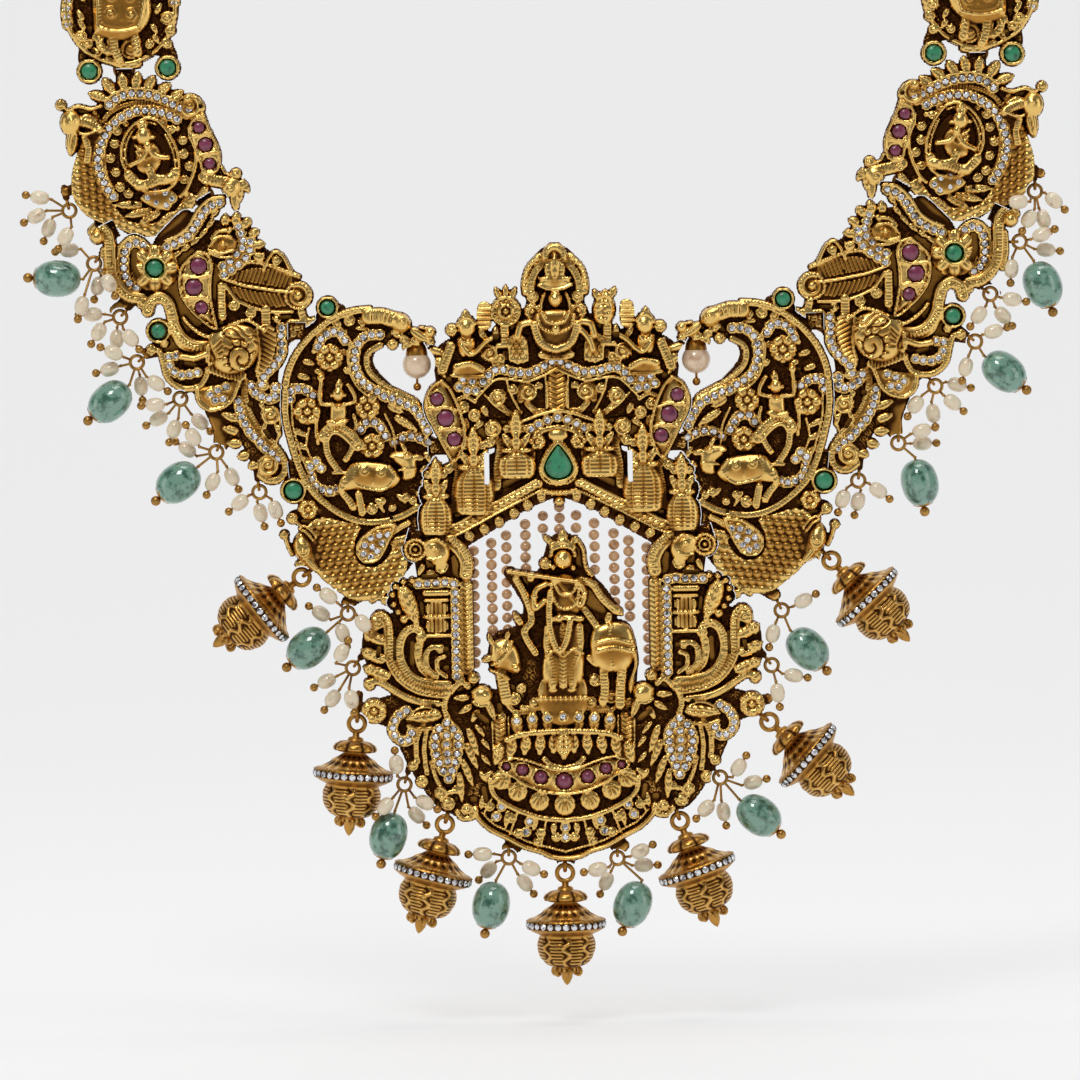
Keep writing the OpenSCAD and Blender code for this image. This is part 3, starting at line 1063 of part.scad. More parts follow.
// A cabochon of radius r that stands in its setting
module cabochon(c, r, foot, h) {
    translate([c.x * k, c.y * k, foot + gap])
        rotate_extrude($fn = 32)
            polygon(concat([[0, 0], [r, 0]], [for (a = [0 : 15 : 90]) [r * cos(a), 0.3 + h * sin(a)]]));
}

module emeralds() {
    for (s = EMERALDS)
        cabochon(s[0], s[1], mid_h - 0.5, 0.5);
}

module rubies() {
    for (s = RUBIES)
        cabochon(s[0], s[1], 0, mid_h - 0.1);
}

// The outline of the pear-shaped stone, grown by g
module pear(g) {
    offset(delta = g)
        polygon([[0, 3], [0.75, 2.1], [1.45, 1.1], [2.05, 0.1], [2.3, -0.8], [2, -1.8], [1.2, -2.5], [0, -2.8],
            [-1.2, -2.5], [-2, -1.8], [-2.3, -0.8], [-2.05, 0.1], [-1.45, 1.1], [-0.75, 2.1]]);
}

// A bell with its ring, its tip pointing down the drawing
module bell(b) {
    s = bell_h / 20.3;
    w = brim_r / 7.2;
    v = ball_r / 5.1;
    translate([b[0].x * k, b[0].y * k, mid_z])
        rotate([0, 0, -b[1]]) {
            ring([0, 0], 0, bell_ring_r, bell_wire, 0, false);
            rotate([90, 0, 0])
                rotate_extrude($fn = 64)
                    polygon([[0, bell_ring_r], [0.6, bell_ring_r + 0.1], [0.6, 2.3 * s], [1.3, 2.6 * s], [1.4, 3 * s],
                        [2.6 * w, 3.2 * s], [3.6 * w, 3.8 * s], [3.9 * w, 4.6 * s], [3.4 * w, 5 * s],
                        [2 * w, 5.1 * s], [3.1 * w, 6 * s], [5.4 * w, 8 * s], [brim_r, 8.8 * s],
                        [brim_r, 9.7 * s], [6.4 * w, 10.2 * s], [4.8 * v, 10.9 * s], [ball_r, 12 * s],
                        [ball_r, 13.6 * s], [4.8 * v, 14.8 * s], [4 * v, 16 * s], [2.7 * v, 16.9 * s],
                        [2.2, 17.1 * s], [2.2, 17.7 * s], [1.2, 17.9 * s], [0.9, 19 * s], [0.4, 20 * s], [0, bell_h]]);
            for (a = [0 : 60 : 300])
                rotate([0, a, 0])
                    translate([2.3, -17.7 * s, 0])
                        sphere(0.9, $fn = 20);
        }
}

// The curve of the chain from the medallion's loop up to the clasp's eye, cut into short steps
CURVE_N = 90;
start = [-76.9 * k, 95.1 * k];
top = [-eye_at, neck_drop];
curve = [for (i = [0 : CURVE_N])
    let(a = 180 - 90 * i / CURVE_N)
        [top.x + (top.x - start.x) * cos(a), start.y + (top.y - start.y) * sin(a)]];
steps = [for (i = 0, s = 0; i <= CURVE_N;
    s = s + norm(curve[min(i + 1, CURVE_N)] - curve[i]), i = i + 1) s];
function at(s) = let(i = max([for (j = [0 : CURVE_N - 1]) if (steps[j] <= s) j]))
    curve[i] + (curve[i + 1] - curve[i]) * (s - steps[i]) / (steps[i + 1] - steps[i]);
function heading(s) = let(d = at(min(s + 0.5, steps[CURVE_N] - 0.01)) - at(max(s - 0.5, 0))) atan2(d.y, d.x);
medal_r = eye_r;
reach = link_l / 2 - chain_wire / 2;
first = reach + medal_r - chain_wire - gap;
last = steps[CURVE_N] - (reach + eye_r - chain_wire - gap);
link_n = 2 * ceil(((last - first) / (link_l - 2 * chain_wire - gap)) / 2) + 1;
link_p = (last - first) / (link_n - 1);

// A chain link along its length in x, flat or standing on edge
module link(s, edge_on) {
    p = at(s);
    r = (link_w - chain_wire) / 2;
    half = link_l / 2 - chain_wire / 2 - r;
    translate([p.x, p.y, mid_z])
        rotate([0, 0, heading(s)])
            rotate([edge_on ? 90 : 0, 0, 0]) {
                for (m = [0, 180])
                    rotate([0, 0, m]) {
                        translate([half, 0, 0])
                            rotate([0, 0, -90])
                                rotate_extrude(angle = 180, $fn = 48)
                                    translate([r, 0])
                                        circle(chain_wire / 2, $fn = 16);
                        translate([-half, r, 0])
                            rotate([0, 90, 0])
                                cylinder(h = 2 * half, r = chain_wire / 2, $fn = 16);
                    }
            }
}

module chain() {
    for (i = [0 : link_n - 1])
        link(first + link_p * i, i % 2 == 0);
}

module clasp() {
    color("goldenrod")
        front()
            translate([0, neck_drop, mid_z]) {
                for (m = [-1, 1]) {
                    translate([m * eye_at, 0, 0])
                        rotate_extrude($fn = 48)
                            translate([eye_r, 0])
                                circle(chain_wire / 2, $fn = 16);
                }
                rotate([0, 90, 0])
                    translate([0, 0, -(eye_at - eye_r)])
                        cylinder(h = 2 * (eye_at - eye_r), r = chain_wire / 2 + 0.1, $fn = 24);
            }
}

// Settings, loops and staples of the outer plate i at the left
module fittings(i, list) {
    drop_loops(i, list);
    staples(i - 1, -1);
    staples(i, 1);
    for (s = EMERALDS)
        if (s[2] == i)
            setting(s[0], s[1], mid_h + 0.4);
}

// Loops on plate i for the bells that it holds
module bell_loops(i, right) {
    for (b = held(i, right))
        let(n = down(b[1]))
            ring(hinge(b), mid_z, bell_loop_r, bell_wire, atan2(n.y, n.x), true);
}

module paisley(right) {
    color("goldenrod")
        front() {
            plate(1, right);
            fittings(1, right ? DROPS_R : DROPS_L);
            bell_loops(1, right);
            domes([[-28.6, 26.2, 1.9, high_h + 0.6], [-39.3, 13.2, 1.2, high_h + 0.6],
                [-39.3, 10, 1.5, high_h + 0.2], [-33.6, -1.6, 4, high_h + 0.3], [-27.4, 1.6, 1.6, high_h + 0.5],
                [-46.2, -14.6, 2, high_h + 0.4], [-42.6, -12.6, 2.6, mid_h]]);
            c = CAP_PEARL * k;
            rod([c.x, c.y + 5.2, mid_z], [c.x, c.y - 3.9, mid_z], pin_d);
            translate([c.x, c.y - 4, mid_z])
                sphere(0.75, $fn = 20);
            translate([c.x, c.y + cap_pearl_r + gap + 0.9, mid_z])
                rotate([90, 0, 0])
                    cylinder(h = 0.9, r1 = 0.5, r2 = 1.4, $fn = 24);
        }
}

module elephant_link(right) {
    color("goldenrod")
        front() {
            plate(2, right);
            fittings(2, right ? DROPS_R : DROPS_L);
            domes([[-58.2, 22.2, 4.4, high_h + 0.7], [-71.2, 30.2, 1.2, high_h + 0.3],
                [-59.6, 40.6, 2.2, high_h + 0.6], [-56.4, 19, 1.8, high_h + 0.5], [-82, 42.2, 1.2, high_h + 0.3]]);
        }
}

module peacock_link(right) {
    color("goldenrod")
        front() {
            plate(3, right);
            fittings(3, right ? DROPS_R : DROPS_L);
            domes([[-86.2, 62.9, 1.9, high_h + 0.6], [-73.3, 60.4, 1.5, high_h + 0.8],
                [-72.6, 57, 2.2, high_h + 0.4], [-57.8, 50.6, 1.7, high_h + 0.4],
                [-74.6, 51.8, 1.4, high_h + 0.4], [-68.6, 52.6, 1.3, high_h + 0.4]]);
        }
}

module medallion() {
    color("goldenrod")
        front() {
            plate(4, false);
            fittings(4, []);
            ring(start, mid_z, medal_r, chain_wire, 0, false);
            domes([[-76.8, 84.4, 4.4, high_h + 0.4], [-76.8, 89.4, 1.5, high_h + 0.5]]);
        }
}

// What the middle plate carries on each side
module centre_side() {
    staples(0, 1);
    pot([-7.5, -2.5], 3.7, 12.4);
    pot([-15.2, -9], 3.9, 16);
    pot(SEAM_POT[0], SEAM_POT[1], SEAM_POT[2]);
    domes([[-22.2, -15.6, 2.3, high_h + 0.6], [-14.5, -41.6, 2, high_h + 0.5], [-16, 24.7, 1.8, high_h + 0.6],
        [-8.9, 27.5, 1, high_h + 0.4], [-5.4, 23.2, 1, high_h + 0.4]]);
}

module centre_plate() {
    color("goldenrod")
        front() {
            plate(0, false);
            for (m = [0, 1])
                mirror([m, 0, 0]) {
                    centre_side();
                    drop_loops(0, m == 0 ? DROPS_L : DROPS_R);
                }
            bell_loops(0, false);
            domes([[0, 29.7, 1.9, high_h + 1], [0, 23.2, 3.6, high_h + 0.6], [0, 36.8, 1.6, high_h + 0.4],
                [0.5, -17, 1.8, high_h + 1.2], [0.8, -24, 2.8, high_h + 0.7], [-10.6, -34.2, 2.3, high_h + 0.4],
                [9.2, -33.4, 3.8, mid_h + 0.8], [0.9, -31, 3.2, high_h + 0.5]]);
            difference() {
                translate([0, 0.2 * k, -plate_t / 2])
                    linear_extrude(plate_t / 2 + mid_h + 0.6)
                        pear(0.6);
                translate([0, 0.2 * k, mid_h - 0.5])
                    linear_extrude(2)
                        pear(gap);
            }
            translate([0, -19 * k, high_h - 0.4])
                rod([-9.5 * k, 0, 0.4], [3.2 * k, -2.1 * k, 0.4], 0.8);
        }
}

module paisley_l() {
    paisley(false);
}

module paisley_r() {
    mirror([1, 0, 0])
        paisley(true);
}

module elephant_link_l() {
    elephant_link(false);
}

module elephant_link_r() {
    mirror([1, 0, 0])
        elephant_link(true);
}

module peacock_link_l() {
    peacock_link(false);
}

module peacock_link_r() {
    mirror([1, 0, 0])
        peacock_link(true);
}

module medallion_l() {
    medallion();
}

module medallion_r() {
    mirror([1, 0, 0])
        medallion();
}

module plate_rings_l() {
    color("goldenrod")
        front()
            for (j = JOINTS)
                ring(j[0] * k, ring_z, 1.75, drop_wire, 0, false);
}

module plate_rings_r() {
    mirror([1, 0, 0])
        plate_rings_l();
}

module chain_l() {
    color("goldenrod")
        front()
            chain();
}

module chain_r() {
    mirror([1, 0, 0])
        chain_l();
}

module bell_c() {
    color("gold")
        front()
            bell(BELL_C);
}

module bell_l1() {
    color("gold")
        front()
            bell(BELLS_L[0]);
}

module bell_l2() {
    color("gold")
        front()
            bell(BELLS_L[1]);
}

module bell_l3() {
    color("gold")
        front()
            bell(BELLS_L[2]);
}

module bell_r1() {
    color("gold")
        front()
            bell(BELLS_R[0]);
}

module bell_r2() {
    color("gold")
        front()
            bell(BELLS_R[1]);
}

module bell_r3() {
    color("gold")
        front()
            bell(BELLS_R[2]);
}

module drop_wires_l() {
    color("gold")
        front()
            drop_wires(DROPS_L, QUARTZ_L);
}

module drop_wires_r() {
    color("gold")
        mirror([1, 0, 0])
            front()
                drop_wires(DROPS_R, QUARTZ_R);
}

module rice_pearls_l() {
    color("ivory")
        front()
            rice_pearls(DROPS_L);
}

module rice_pearls_r() {
    color("ivory")
        mirror([1, 0, 0])
            front()
                rice_pearls(DROPS_R);
}

module quartz_l1() {
    color("mediumseagreen")
        front()
            quartz(DROPS_L, QUARTZ_L, 0);
}

module quartz_l2() {
    color("mediumseagreen")
        front()
            quartz(DROPS_L, QUARTZ_L, 1);
}

module quartz_l3() {
    color("mediumseagreen")
        front()
            quartz(DROPS_L, QUARTZ_L, 2);
}

module quartz_l4() {
    color("mediumseagreen")
        front()
            quartz(DROPS_L, QUARTZ_L, 3);
}

module quartz_l5() {
    color("mediumseagreen")
        front()
            quartz(DROPS_L, QUARTZ_L, 4);
}

module quartz_l6() {
    color("mediumseagreen")
        front()
            quartz(DROPS_L, QUARTZ_L, 5);
}

module quartz_r1() {
    color("mediumseagreen")
        mirror([1, 0, 0])
            front()
                quartz(DROPS_R, QUARTZ_R, 0);
}

module quartz_r2() {
    color("mediumseagreen")
        mirror([1, 0, 0])
            front()
                quartz(DROPS_R, QUARTZ_R, 1);
}

module quartz_r3() {
    color("mediumseagreen")
        mirror([1, 0, 0])
            front()
                quartz(DROPS_R, QUARTZ_R, 2);
}

module quartz_r4() {
    color("mediumseagreen")
        mirror([1, 0, 0])
            front()
                quartz(DROPS_R, QUARTZ_R, 3);
}

module quartz_r5() {
    color("mediumseagreen")
        mirror([1, 0, 0])
            front()
                quartz(DROPS_R, QUARTZ_R, 4);
}

module quartz_r6() {
    color("mediumseagreen")
        mirror([1, 0, 0])
            front()
                quartz(DROPS_R, QUARTZ_R, 5);
}

module curtain_strands() {
    color("ivory")
        front()
            for (s = concat(STRANDS, [[0, -7, -13]]))
                rod([s[0] * k, s[1] * k, curtain_z], [s[0] * k, s[2] * k, curtain_z], curtain_d);
}

module cap_pearl() {
    color("ivory")
        front()
            difference() {
                translate([CAP_PEARL.x * k, CAP_PEARL.y * k, mid_z])
                    sphere(cap_pearl_r, $fn = 48);
                translate([CAP_PEARL.x * k, CAP_PEARL.y * k + 5, mid_z])
                    rotate([90, 0, 0])
                        cylinder(h = 10, r = pin_d / 2 + gap, $fn = 16);
            }
}

module cap_pearl_l() {
    cap_pearl();
}

module cap_pearl_r() {
    mirror([1, 0, 0])
        cap_pearl();
}

module pear_emerald() {
    color("seagreen")
        front()
            translate([0, 0.2 * k, mid_h - 0.5 + gap]) {
                linear_extrude(0.8)
                    pear(0);
                translate([0, 0, 0.8])
                    linear_extrude(0.9, scale = 0.6)
                        pear(0);
            }
}

module emeralds_l() {
    color("seagreen")
        front()
            emeralds();
}

module emeralds_r() {
    mirror([1, 0, 0])
        emeralds_l();
}

module rubies_l() {
    color("mediumvioletred")
        front()
            rubies();
}

module rubies_r() {
    mirror([1, 0, 0])
        rubies_l();
}

module rubies_c() {
    color("mediumvioletred")
        front()
            for (s = RUBIES_C)
                cabochon(s[0], s[1], 0, mid_h - 0.1);
}

centre_plate();
paisley_l();
paisley_r();
elephant_link_l();
elephant_link_r();
peacock_link_l();
peacock_link_r();
medallion_l();
medallion_r();
plate_rings_l();
plate_rings_r();
chain_l();
chain_r();
clasp();
bell_c();
bell_l1();
bell_l2();
bell_l3();
bell_r1();
bell_r2();
bell_r3();
drop_wires_l();
drop_wires_r();
rice_pearls_l();
rice_pearls_r();
quartz_l1();
quartz_l2();
quartz_l3();
quartz_l4();
quartz_l5();
quartz_l6();
quartz_r1();
quartz_r2();
quartz_r3();
quartz_r4();
quartz_r5();
quartz_r6();
curtain_strands();
cap_pearl_l();
cap_pearl_r();
pear_emerald();
emeralds_l();
emeralds_r();
rubies_l();
rubies_r();
rubies_c();
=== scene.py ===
"""Looks of the temple jewellery necklace: cast gold plates in relief, set stones, bells, beads and the chain.

The plates are drawn in front view in millimetres, x to the right and y up, from the middle of the pear
emerald. Their relief is a height over a fine grid. Paths are written as words "x,y x,y ...".
"""
import bpy
import math
import numpy as np
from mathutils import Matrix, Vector, geometry

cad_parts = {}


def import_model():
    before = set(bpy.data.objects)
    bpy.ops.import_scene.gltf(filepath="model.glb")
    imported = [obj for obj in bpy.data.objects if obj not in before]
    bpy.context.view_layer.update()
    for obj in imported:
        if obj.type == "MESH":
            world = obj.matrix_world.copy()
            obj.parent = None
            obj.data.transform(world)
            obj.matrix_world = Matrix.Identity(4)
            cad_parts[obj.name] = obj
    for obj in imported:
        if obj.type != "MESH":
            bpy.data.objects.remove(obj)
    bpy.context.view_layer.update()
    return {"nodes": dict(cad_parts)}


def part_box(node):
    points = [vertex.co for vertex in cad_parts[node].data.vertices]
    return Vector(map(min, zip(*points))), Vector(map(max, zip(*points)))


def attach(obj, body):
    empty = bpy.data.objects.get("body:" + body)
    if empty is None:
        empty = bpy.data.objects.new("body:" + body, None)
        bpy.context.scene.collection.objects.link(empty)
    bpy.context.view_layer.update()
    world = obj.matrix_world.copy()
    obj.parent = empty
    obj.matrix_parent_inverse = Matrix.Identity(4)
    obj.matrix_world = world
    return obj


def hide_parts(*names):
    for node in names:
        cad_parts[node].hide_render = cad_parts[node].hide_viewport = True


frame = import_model()

MM = 0.001
CELL = 0.22            # step of the relief's grid, mm
PLATE_T = 1.3          # thickness of the plates behind the relief, mm
MID = -PLATE_T / 2     # middle of a plate, which lies in the plane y = 0
EDGE = 0.2             # width of plate round the relief, mm
GAP = 0.12             # between two plates, mm
HOLLOWS = ((3, 1.9), (10, 0.22))   # what makes a hollow dark: half-width of a blur in cells, and its weight
LOW = Vector(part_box("pear_emerald")[0])
HIGH = Vector(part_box("pear_emerald")[1])
DRAWING_Z = (LOW.z + HIGH.z) / 2 - 0.3 * MM
rng = np.random.default_rng(7)


def points(text):
    """Words "x,y" as an array of points."""
    return np.array([[float(v) for v in word.split(",")] for word in text.split()])


def lines_of(text):
    """The lines of a table; one that starts with blanks goes on with the line before it."""
    return text.strip().replace("\n  ", " ").splitlines()


def smooth(p, closed=False, n=5):
    """A Catmull-Rom curve through the points p, with n steps between neighbours."""
    if len(p) < 3 and not closed:
        return p
    q = np.vstack([p[-1:], p, p[:2]]) if closed else np.vstack([p[:1], p, p[-1:]])
    a, b, c, d = q[:-3, None], q[1:-2, None], q[2:-1, None], q[3:, None]
    u = (np.arange(n) / n)[None, :, None]
    s = 0.5 * (2 * b + (c - a) * u + (2 * a - 5 * b + 4 * c - d) * u ** 2 + (3 * b - a - 3 * c + d) * u ** 3)
    s = s.reshape(-1, 2)
    return s if closed else np.vstack([s, p[-1:]])


def resample(p, pitch):
    """Points about one pitch apart along the polyline p, from end to end."""
    step = np.hypot(*np.diff(p, axis=0).T)
    s = np.concatenate([[0], np.cumsum(step)])
    t = np.linspace(0, s[-1], max(int(round(s[-1] / pitch)), 1) + 1)
    return np.stack([np.interp(t, s, p[:, 0]), np.interp(t, s, p[:, 1])], 1)


def bump(q):
    """A round top: 1 in the middle, 0 at q = 1."""
    return np.sqrt(np.clip(1 - q * q, 0, 1))


def wave(s):
    """A wave between 0 and 1 with period 1 and sharp valleys."""
    return np.abs(np.cos(np.pi * s)) ** 0.7


class Relief:
    """The front of a casting. H is its height and S the distance to its outline, negative inside."""

    def __init__(self, x0, x1, y0, y1):
        self.i0, self.j0 = round(x0 / CELL), round(y0 / CELL)
        self.x = np.arange(self.i0, round(x1 / CELL) + 1) * CELL
        self.y = np.arange(self.j0, round(y1 / CELL) + 1) * CELL
        self.H = np.zeros((len(self.y), len(self.x)))
        self.S = np.full(self.H.shape, 9.0)
        self.used = np.zeros(self.H.shape, bool)
        self.stones = []

    def window(self, p, pad):
        """The part of the grid within pad of the points p."""
        lo, hi = p.min(0) - pad, p.max(0) + pad
        i0, i1 = np.searchsorted(self.x, [lo[0], hi[0]])
        j0, j1 = np.searchsorted(self.y, [lo[1], hi[1]])
        w = (slice(j0, j1), slice(i0, i1))
        return w, np.meshgrid(self.x[i0:i1], self.y[j0:j1])

    def lay(self, w, f, z, h):
        """Lay a shape with heights z + h f where f > 0; the higher of old and new stays."""
        top = np.where(f > 0, z + h * f, 0)
        self.H[w] = np.maximum(self.H[w], top)
        self.used[w] |= f > 0

    @staticmethod
    def along(X, Y, p):
        """Distance from a polyline, length along it, and which side: left is positive."""
        best = np.full(X.shape, 1e9)
        run = np.zeros(X.shape)
        side = np.zeros(X.shape)
        s0 = 0.0
        for a, b in zip(p[:-1], p[1:]):
            d = b - a
            length = math.hypot(*d)
            if length < 1e-9:
                continue
            ux, uy = X - a[0], Y - a[1]
            t = np.clip((ux * d[0] + uy * d[1]) / length ** 2, 0, 1)
            e = (ux - t * d[0]) ** 2 + (uy - t * d[1]) ** 2
            m = e < best
            best[m] = e[m]
            run[m] = (s0 + t * length)[m]
            side[m] = np.sign(d[0] * uy - d[1] * ux)[m]
            s0 += length
        return np.sqrt(best), run, side

    def fill(self, text, z=0.0, dome=0.0):
        """A filled smooth outline: a flat top at z that rises by dome from its edge inwards."""
        p = smooth(points(text), True)
        w, (X, Y) = self.window(p, 2.0)
        d, _, _ = self.along(X, Y, np.vstack([p, p[:1]]))
        inside = np.zeros(X.shape, bool)
        for a, b in zip(p, np.roll(p, -1, 0)):
            cross = (a[1] > Y) != (b[1] > Y)
            inside ^= cross & (X < (b[0] - a[0]) * (Y - a[1]) / (b[1] - a[1] + 1e-12) + a[0])
        sd = np.where(inside, -d, d)
        self.S[w] = np.minimum(self.S[w], sd)
        if z > 0:
            rise = 1 - np.exp(-d / max(dome, 0.3) * 1.6)
            top = np.where(inside, z * np.clip(d / 0.3, 0, 1) ** 0.5 + dome * rise, 0)
            self.H[w] = np.maximum(self.H[w], top)
            self.used[w] |= inside
        return w, inside, X, Y

    def band(self, text, width, z, h, kind, pitch=0.75):
        """A band along a smooth path; its kind says what its top is: a round or flat strip, a rope, a row of
        beads, ribs or chevrons, a comb of ribs beside a plain edge, or a channel between two ridges."""
        p = smooth(points(text)) if isinstance(text, str) else text
        w, (X, Y) = self.window(p, width / 2 + 0.6)
        d, s, side = self.along(X, Y, p)
        r = width / 2
        self.S[w] = np.minimum(self.S[w], d - r - EDGE)
        q = d / r
        v = side * q
        f = bump(q)
        if kind == "rope":
            f = f * (0.55 + 0.45 * wave(s / pitch + 0.45 * v))
        elif kind == "ribs":
            f = bump(q ** 3) * (0.5 + 0.5 * wave(s / pitch))
        elif kind == "comb":
            f = np.where(v > -0.15, bump(q ** 3) * (0.45 + 0.5 * wave(s / pitch + 0.2 * v)),
                         0.75 * bump((v + 0.55) / 0.42) + 0.05) * (q < 1)
        elif kind == "comb2":
            f = np.where(v < 0.15, bump(q ** 3) * (0.45 + 0.5 * wave(s / pitch - 0.2 * v)),
                         0.75 * bump((v - 0.55) / 0.42) + 0.05) * (q < 1)
        elif kind == "cup":
            f = np.where(q > 0.72, 0.9 * bump((q - 0.86) / 0.16), 0.28) * (q < 1)
        elif kind == "beads":
            u = (s / pitch) % 1 - 0.5
            f = np.maximum(bump(np.hypot(2 * u * pitch / width, q)), 0.2 * bump(q ** 2))
        elif kind == "chevron":
            f = bump(q ** 3) * (0.45 + 0.55 * wave(s / pitch + 0.8 * q))
        elif kind == "flat":
            f = bump(q ** 4)
        self.lay(w, np.where(q < 1, f, 0), z, h)

    def dome(self, x, y, rx, ry, turn, z, h):
        """A round or oval bump with its middle at x, y."""
        w, (X, Y) = self.window(np.array([[x, y]]), max(rx, ry) + 0.6)
        t = math.radians(turn)
        u = (X - x) * math.cos(t) + (Y - y) * math.sin(t)
        v = -(X - x) * math.sin(t) + (Y - y) * math.cos(t)
        q = np.hypot(u / rx, v / ry)
        self.S[w] = np.minimum(self.S[w], (q - 1) * min(rx, ry) - EDGE)
        self.lay(w, bump(q), z, h)

    def leaf(self, x0, y0, x1, y1, width, z, h, ribs):
        """A leaf from root to tip with a middle vein and slanted ribs."""
        a, b = np.array([x0, y0]), np.array([x1, y1])
        w, (X, Y) = self.window(np.array([a, b]), width / 2 + 0.5)
        d = b - a
        n = math.hypot(*d)
        u = ((X - x0) * d[0] + (Y - y0) * d[1]) / n ** 2
        v = ((Y - y0) * d[0] - (X - x0) * d[1]) / n
        uc = np.clip(u, 0, 1)
        half = width / 2 * np.clip(2.1 * (uc + 0.06) ** 0.55 * (1.0 - uc) ** 0.75, 0, 1.0)
        q = np.abs(v) / np.maximum(half, 1e-3)
        q = np.where((u < 0) | (u > 1), 2.0, q)
        ends = np.minimum(np.hypot(X - x0, Y - y0), np.hypot(X - x1, Y - y1)) - 0.1
        self.S[w] = np.minimum(self.S[w], np.where((u > -0.02) & (u < 1.02), np.abs(v) - half - EDGE, ends))
        f = bump(q) * (1 - 0.35 * np.exp(-(v / 0.16) ** 2))
        if ribs:
            f = f * (0.62 + 0.38 * wave(u * ribs + 0.9 * np.abs(v) / width * 2))
        self.lay(w, np.where(q < 1, f, 0), z, h)

    def curl(self, x, y, r, z, turn, way):
        """A rolled scroll: a ridge on a spiral that runs in to a middle bead."""
        w, (X, Y) = self.window(np.array([[x, y]]), r + 0.5)
        u, v = X - x, (Y - y) * way
        rad = np.hypot(u, v) / r
        ang = (np.arctan2(v, u) - math.radians(turn)) / (2 * math.pi) % 1
        k = rad / 0.52 - ang * 0.75
        f = np.abs(np.cos(np.pi * (k + 0.18))) ** 0.8 * (rad < 1)
        f = np.where(rad > 0.92, f * bump((rad - 0.92) / 0.08), f)
        f = np.maximum(f, bump(rad / 0.36) * 1.15)
        self.S[w] = np.minimum(self.S[w], (rad - 1) * r - EDGE)
        self.lay(w, np.where(rad < 1, np.maximum(f, 0.02), 0), z, 0.6)

    def flower(self, x, y, r, n, z):
        """A flower of n round petals, each split by a vein, with a middle bead."""
        w, (X, Y) = self.window(np.array([[x, y]]), r + 0.5)
        rad = np.hypot(X - x, Y - y) / r
        ang = np.arctan2(Y - y, X - x) * n / (2 * math.pi)
        cell = np.abs(ang - np.round(ang))
        c = 0.66        # middle of a petal as a share of the radius
        du = rad * np.cos(cell * 2 * math.pi / n) - c
        dv = rad * np.sin(cell * 2 * math.pi / n)
        half = math.sin(math.pi / n) * c * 1.02
        q = np.hypot(du / 0.34, dv / half)
        f = bump(q) * (1 - 0.4 * np.exp(-(dv * r / 0.13) ** 2))
        f = np.maximum(f, 1.1 * bump(rad / 0.3))
        self.S[w] = np.minimum(self.S[w], (rad - 0.97) * r - EDGE)
        self.lay(w, np.where(rad < 1, np.maximum(f, 0.02), 0), z, 0.7)

    def scales(self, text, z, h, size, turn=0.0):
        """Overlapping round scales in shifted rows over a filled outline."""
        w, inside, X, Y = self.fill(text)
        t = math.radians(turn)
        u = (X * math.cos(t) + Y * math.sin(t)) / size
        v = (-X * math.sin(t) + Y * math.cos(t)) / size * 1.25
        f = np.zeros(X.shape)
        for k in (0, 1, 2):
            row = np.floor(v) + k - 1
            cu = np.floor(u + 0.5 * (row % 2)) + 0.5 - 0.5 * (row % 2)
            q = np.hypot((u - cu) * 1.9, (v - row - 0.5) * 1.15)
            f = np.maximum(f, np.where(q < 1, bump(q) * 0.75 + 0.25 * np.clip(row + 1 - v + 0.3, 0, 1), 0))
        self.lay(w, np.where(inside, np.maximum(f, 0.03), 0), z, h)

    def hatch(self, text, z, h, pitch, turn):
        """Straight ribs over a filled outline; turn is the way across the ribs."""
        w, inside, X, Y = self.fill(text)
        t = math.radians(turn)
        u = (X * math.cos(t) + Y * math.sin(t)) / pitch
        top = z + h * (0.25 + 0.75 * wave(u))
        self.H[w] = np.where(inside, np.maximum(self.H[w], top), self.H[w])
        self.used[w] |= inside

    def cut(self, text, width, depth):
        """A groove along a path."""
        p = smooth(points(text))
        w, (X, Y) = self.window(p, width)
        d, _, _ = self.along(X, Y, p)
        self.H[w] -= depth * np.exp(-(d / width * 2) ** 2) * (self.H[w] > 0.3)

    def pierce(self, text, r):
        """A hole of radius r along a path or at a point."""
        p = smooth(points(text))
        if len(p) == 1:
            p = np.vstack([p, p + [0.01, 0]])
        w, (X, Y) = self.window(p, r + 1.0)
        d, _, _ = self.along(X, Y, p)
        self.S[w] = np.maximum(self.S[w], r - d)

    def clear(self, c, r):
        """Take a round piece of radius r out of the plate."""
        w, (X, Y) = self.window(np.array([c]), r + 1.0)
        self.S[w] = np.maximum(self.S[w], r - np.hypot(X - c[0], Y - c[1]))

    def fall(self, text, r):
        """Take the relief down to the plate round a path, as for a stone's seat."""
        p = points(text)
        p = np.vstack([p, p + [0.01, 0]]) if len(p) == 1 else p
        w, (X, Y) = self.window(p, r + 0.5)
        d, _, _ = self.along(X, Y, p)
        self.H[w] = np.where(d < r, 0.15, self.H[w])

    def set_row(self, text, z=1.3, r=0.62, pitch=1.5):
        """Clear stones in a channel along a path, with small beads of metal between them on both sides."""
        path = smooth(points(text))
        p = resample(path, pitch)
        self.band(path, 2 * r + 0.75, z - 0.1, 0.4, "cup")
        w, (X, Y) = self.window(p, r + 0.8)
        top = np.zeros(X.shape)
        for a, b in zip(p[:-1], p[1:]):
            m, d = (a + b) / 2, b - a
            side = np.array([-d[1], d[0]]) / math.hypot(*d) * r * 0.86
            for c in (m + side, m - side):
                top = np.maximum(top, bump(np.hypot(X - c[0], Y - c[1]) / 0.3))
        self.H[w] = np.maximum(self.H[w], np.where(top > 0, z + 0.05 + 0.42 * top, 0))
        self.stones += [(x, y, z + 0.22, r) for x, y in p]

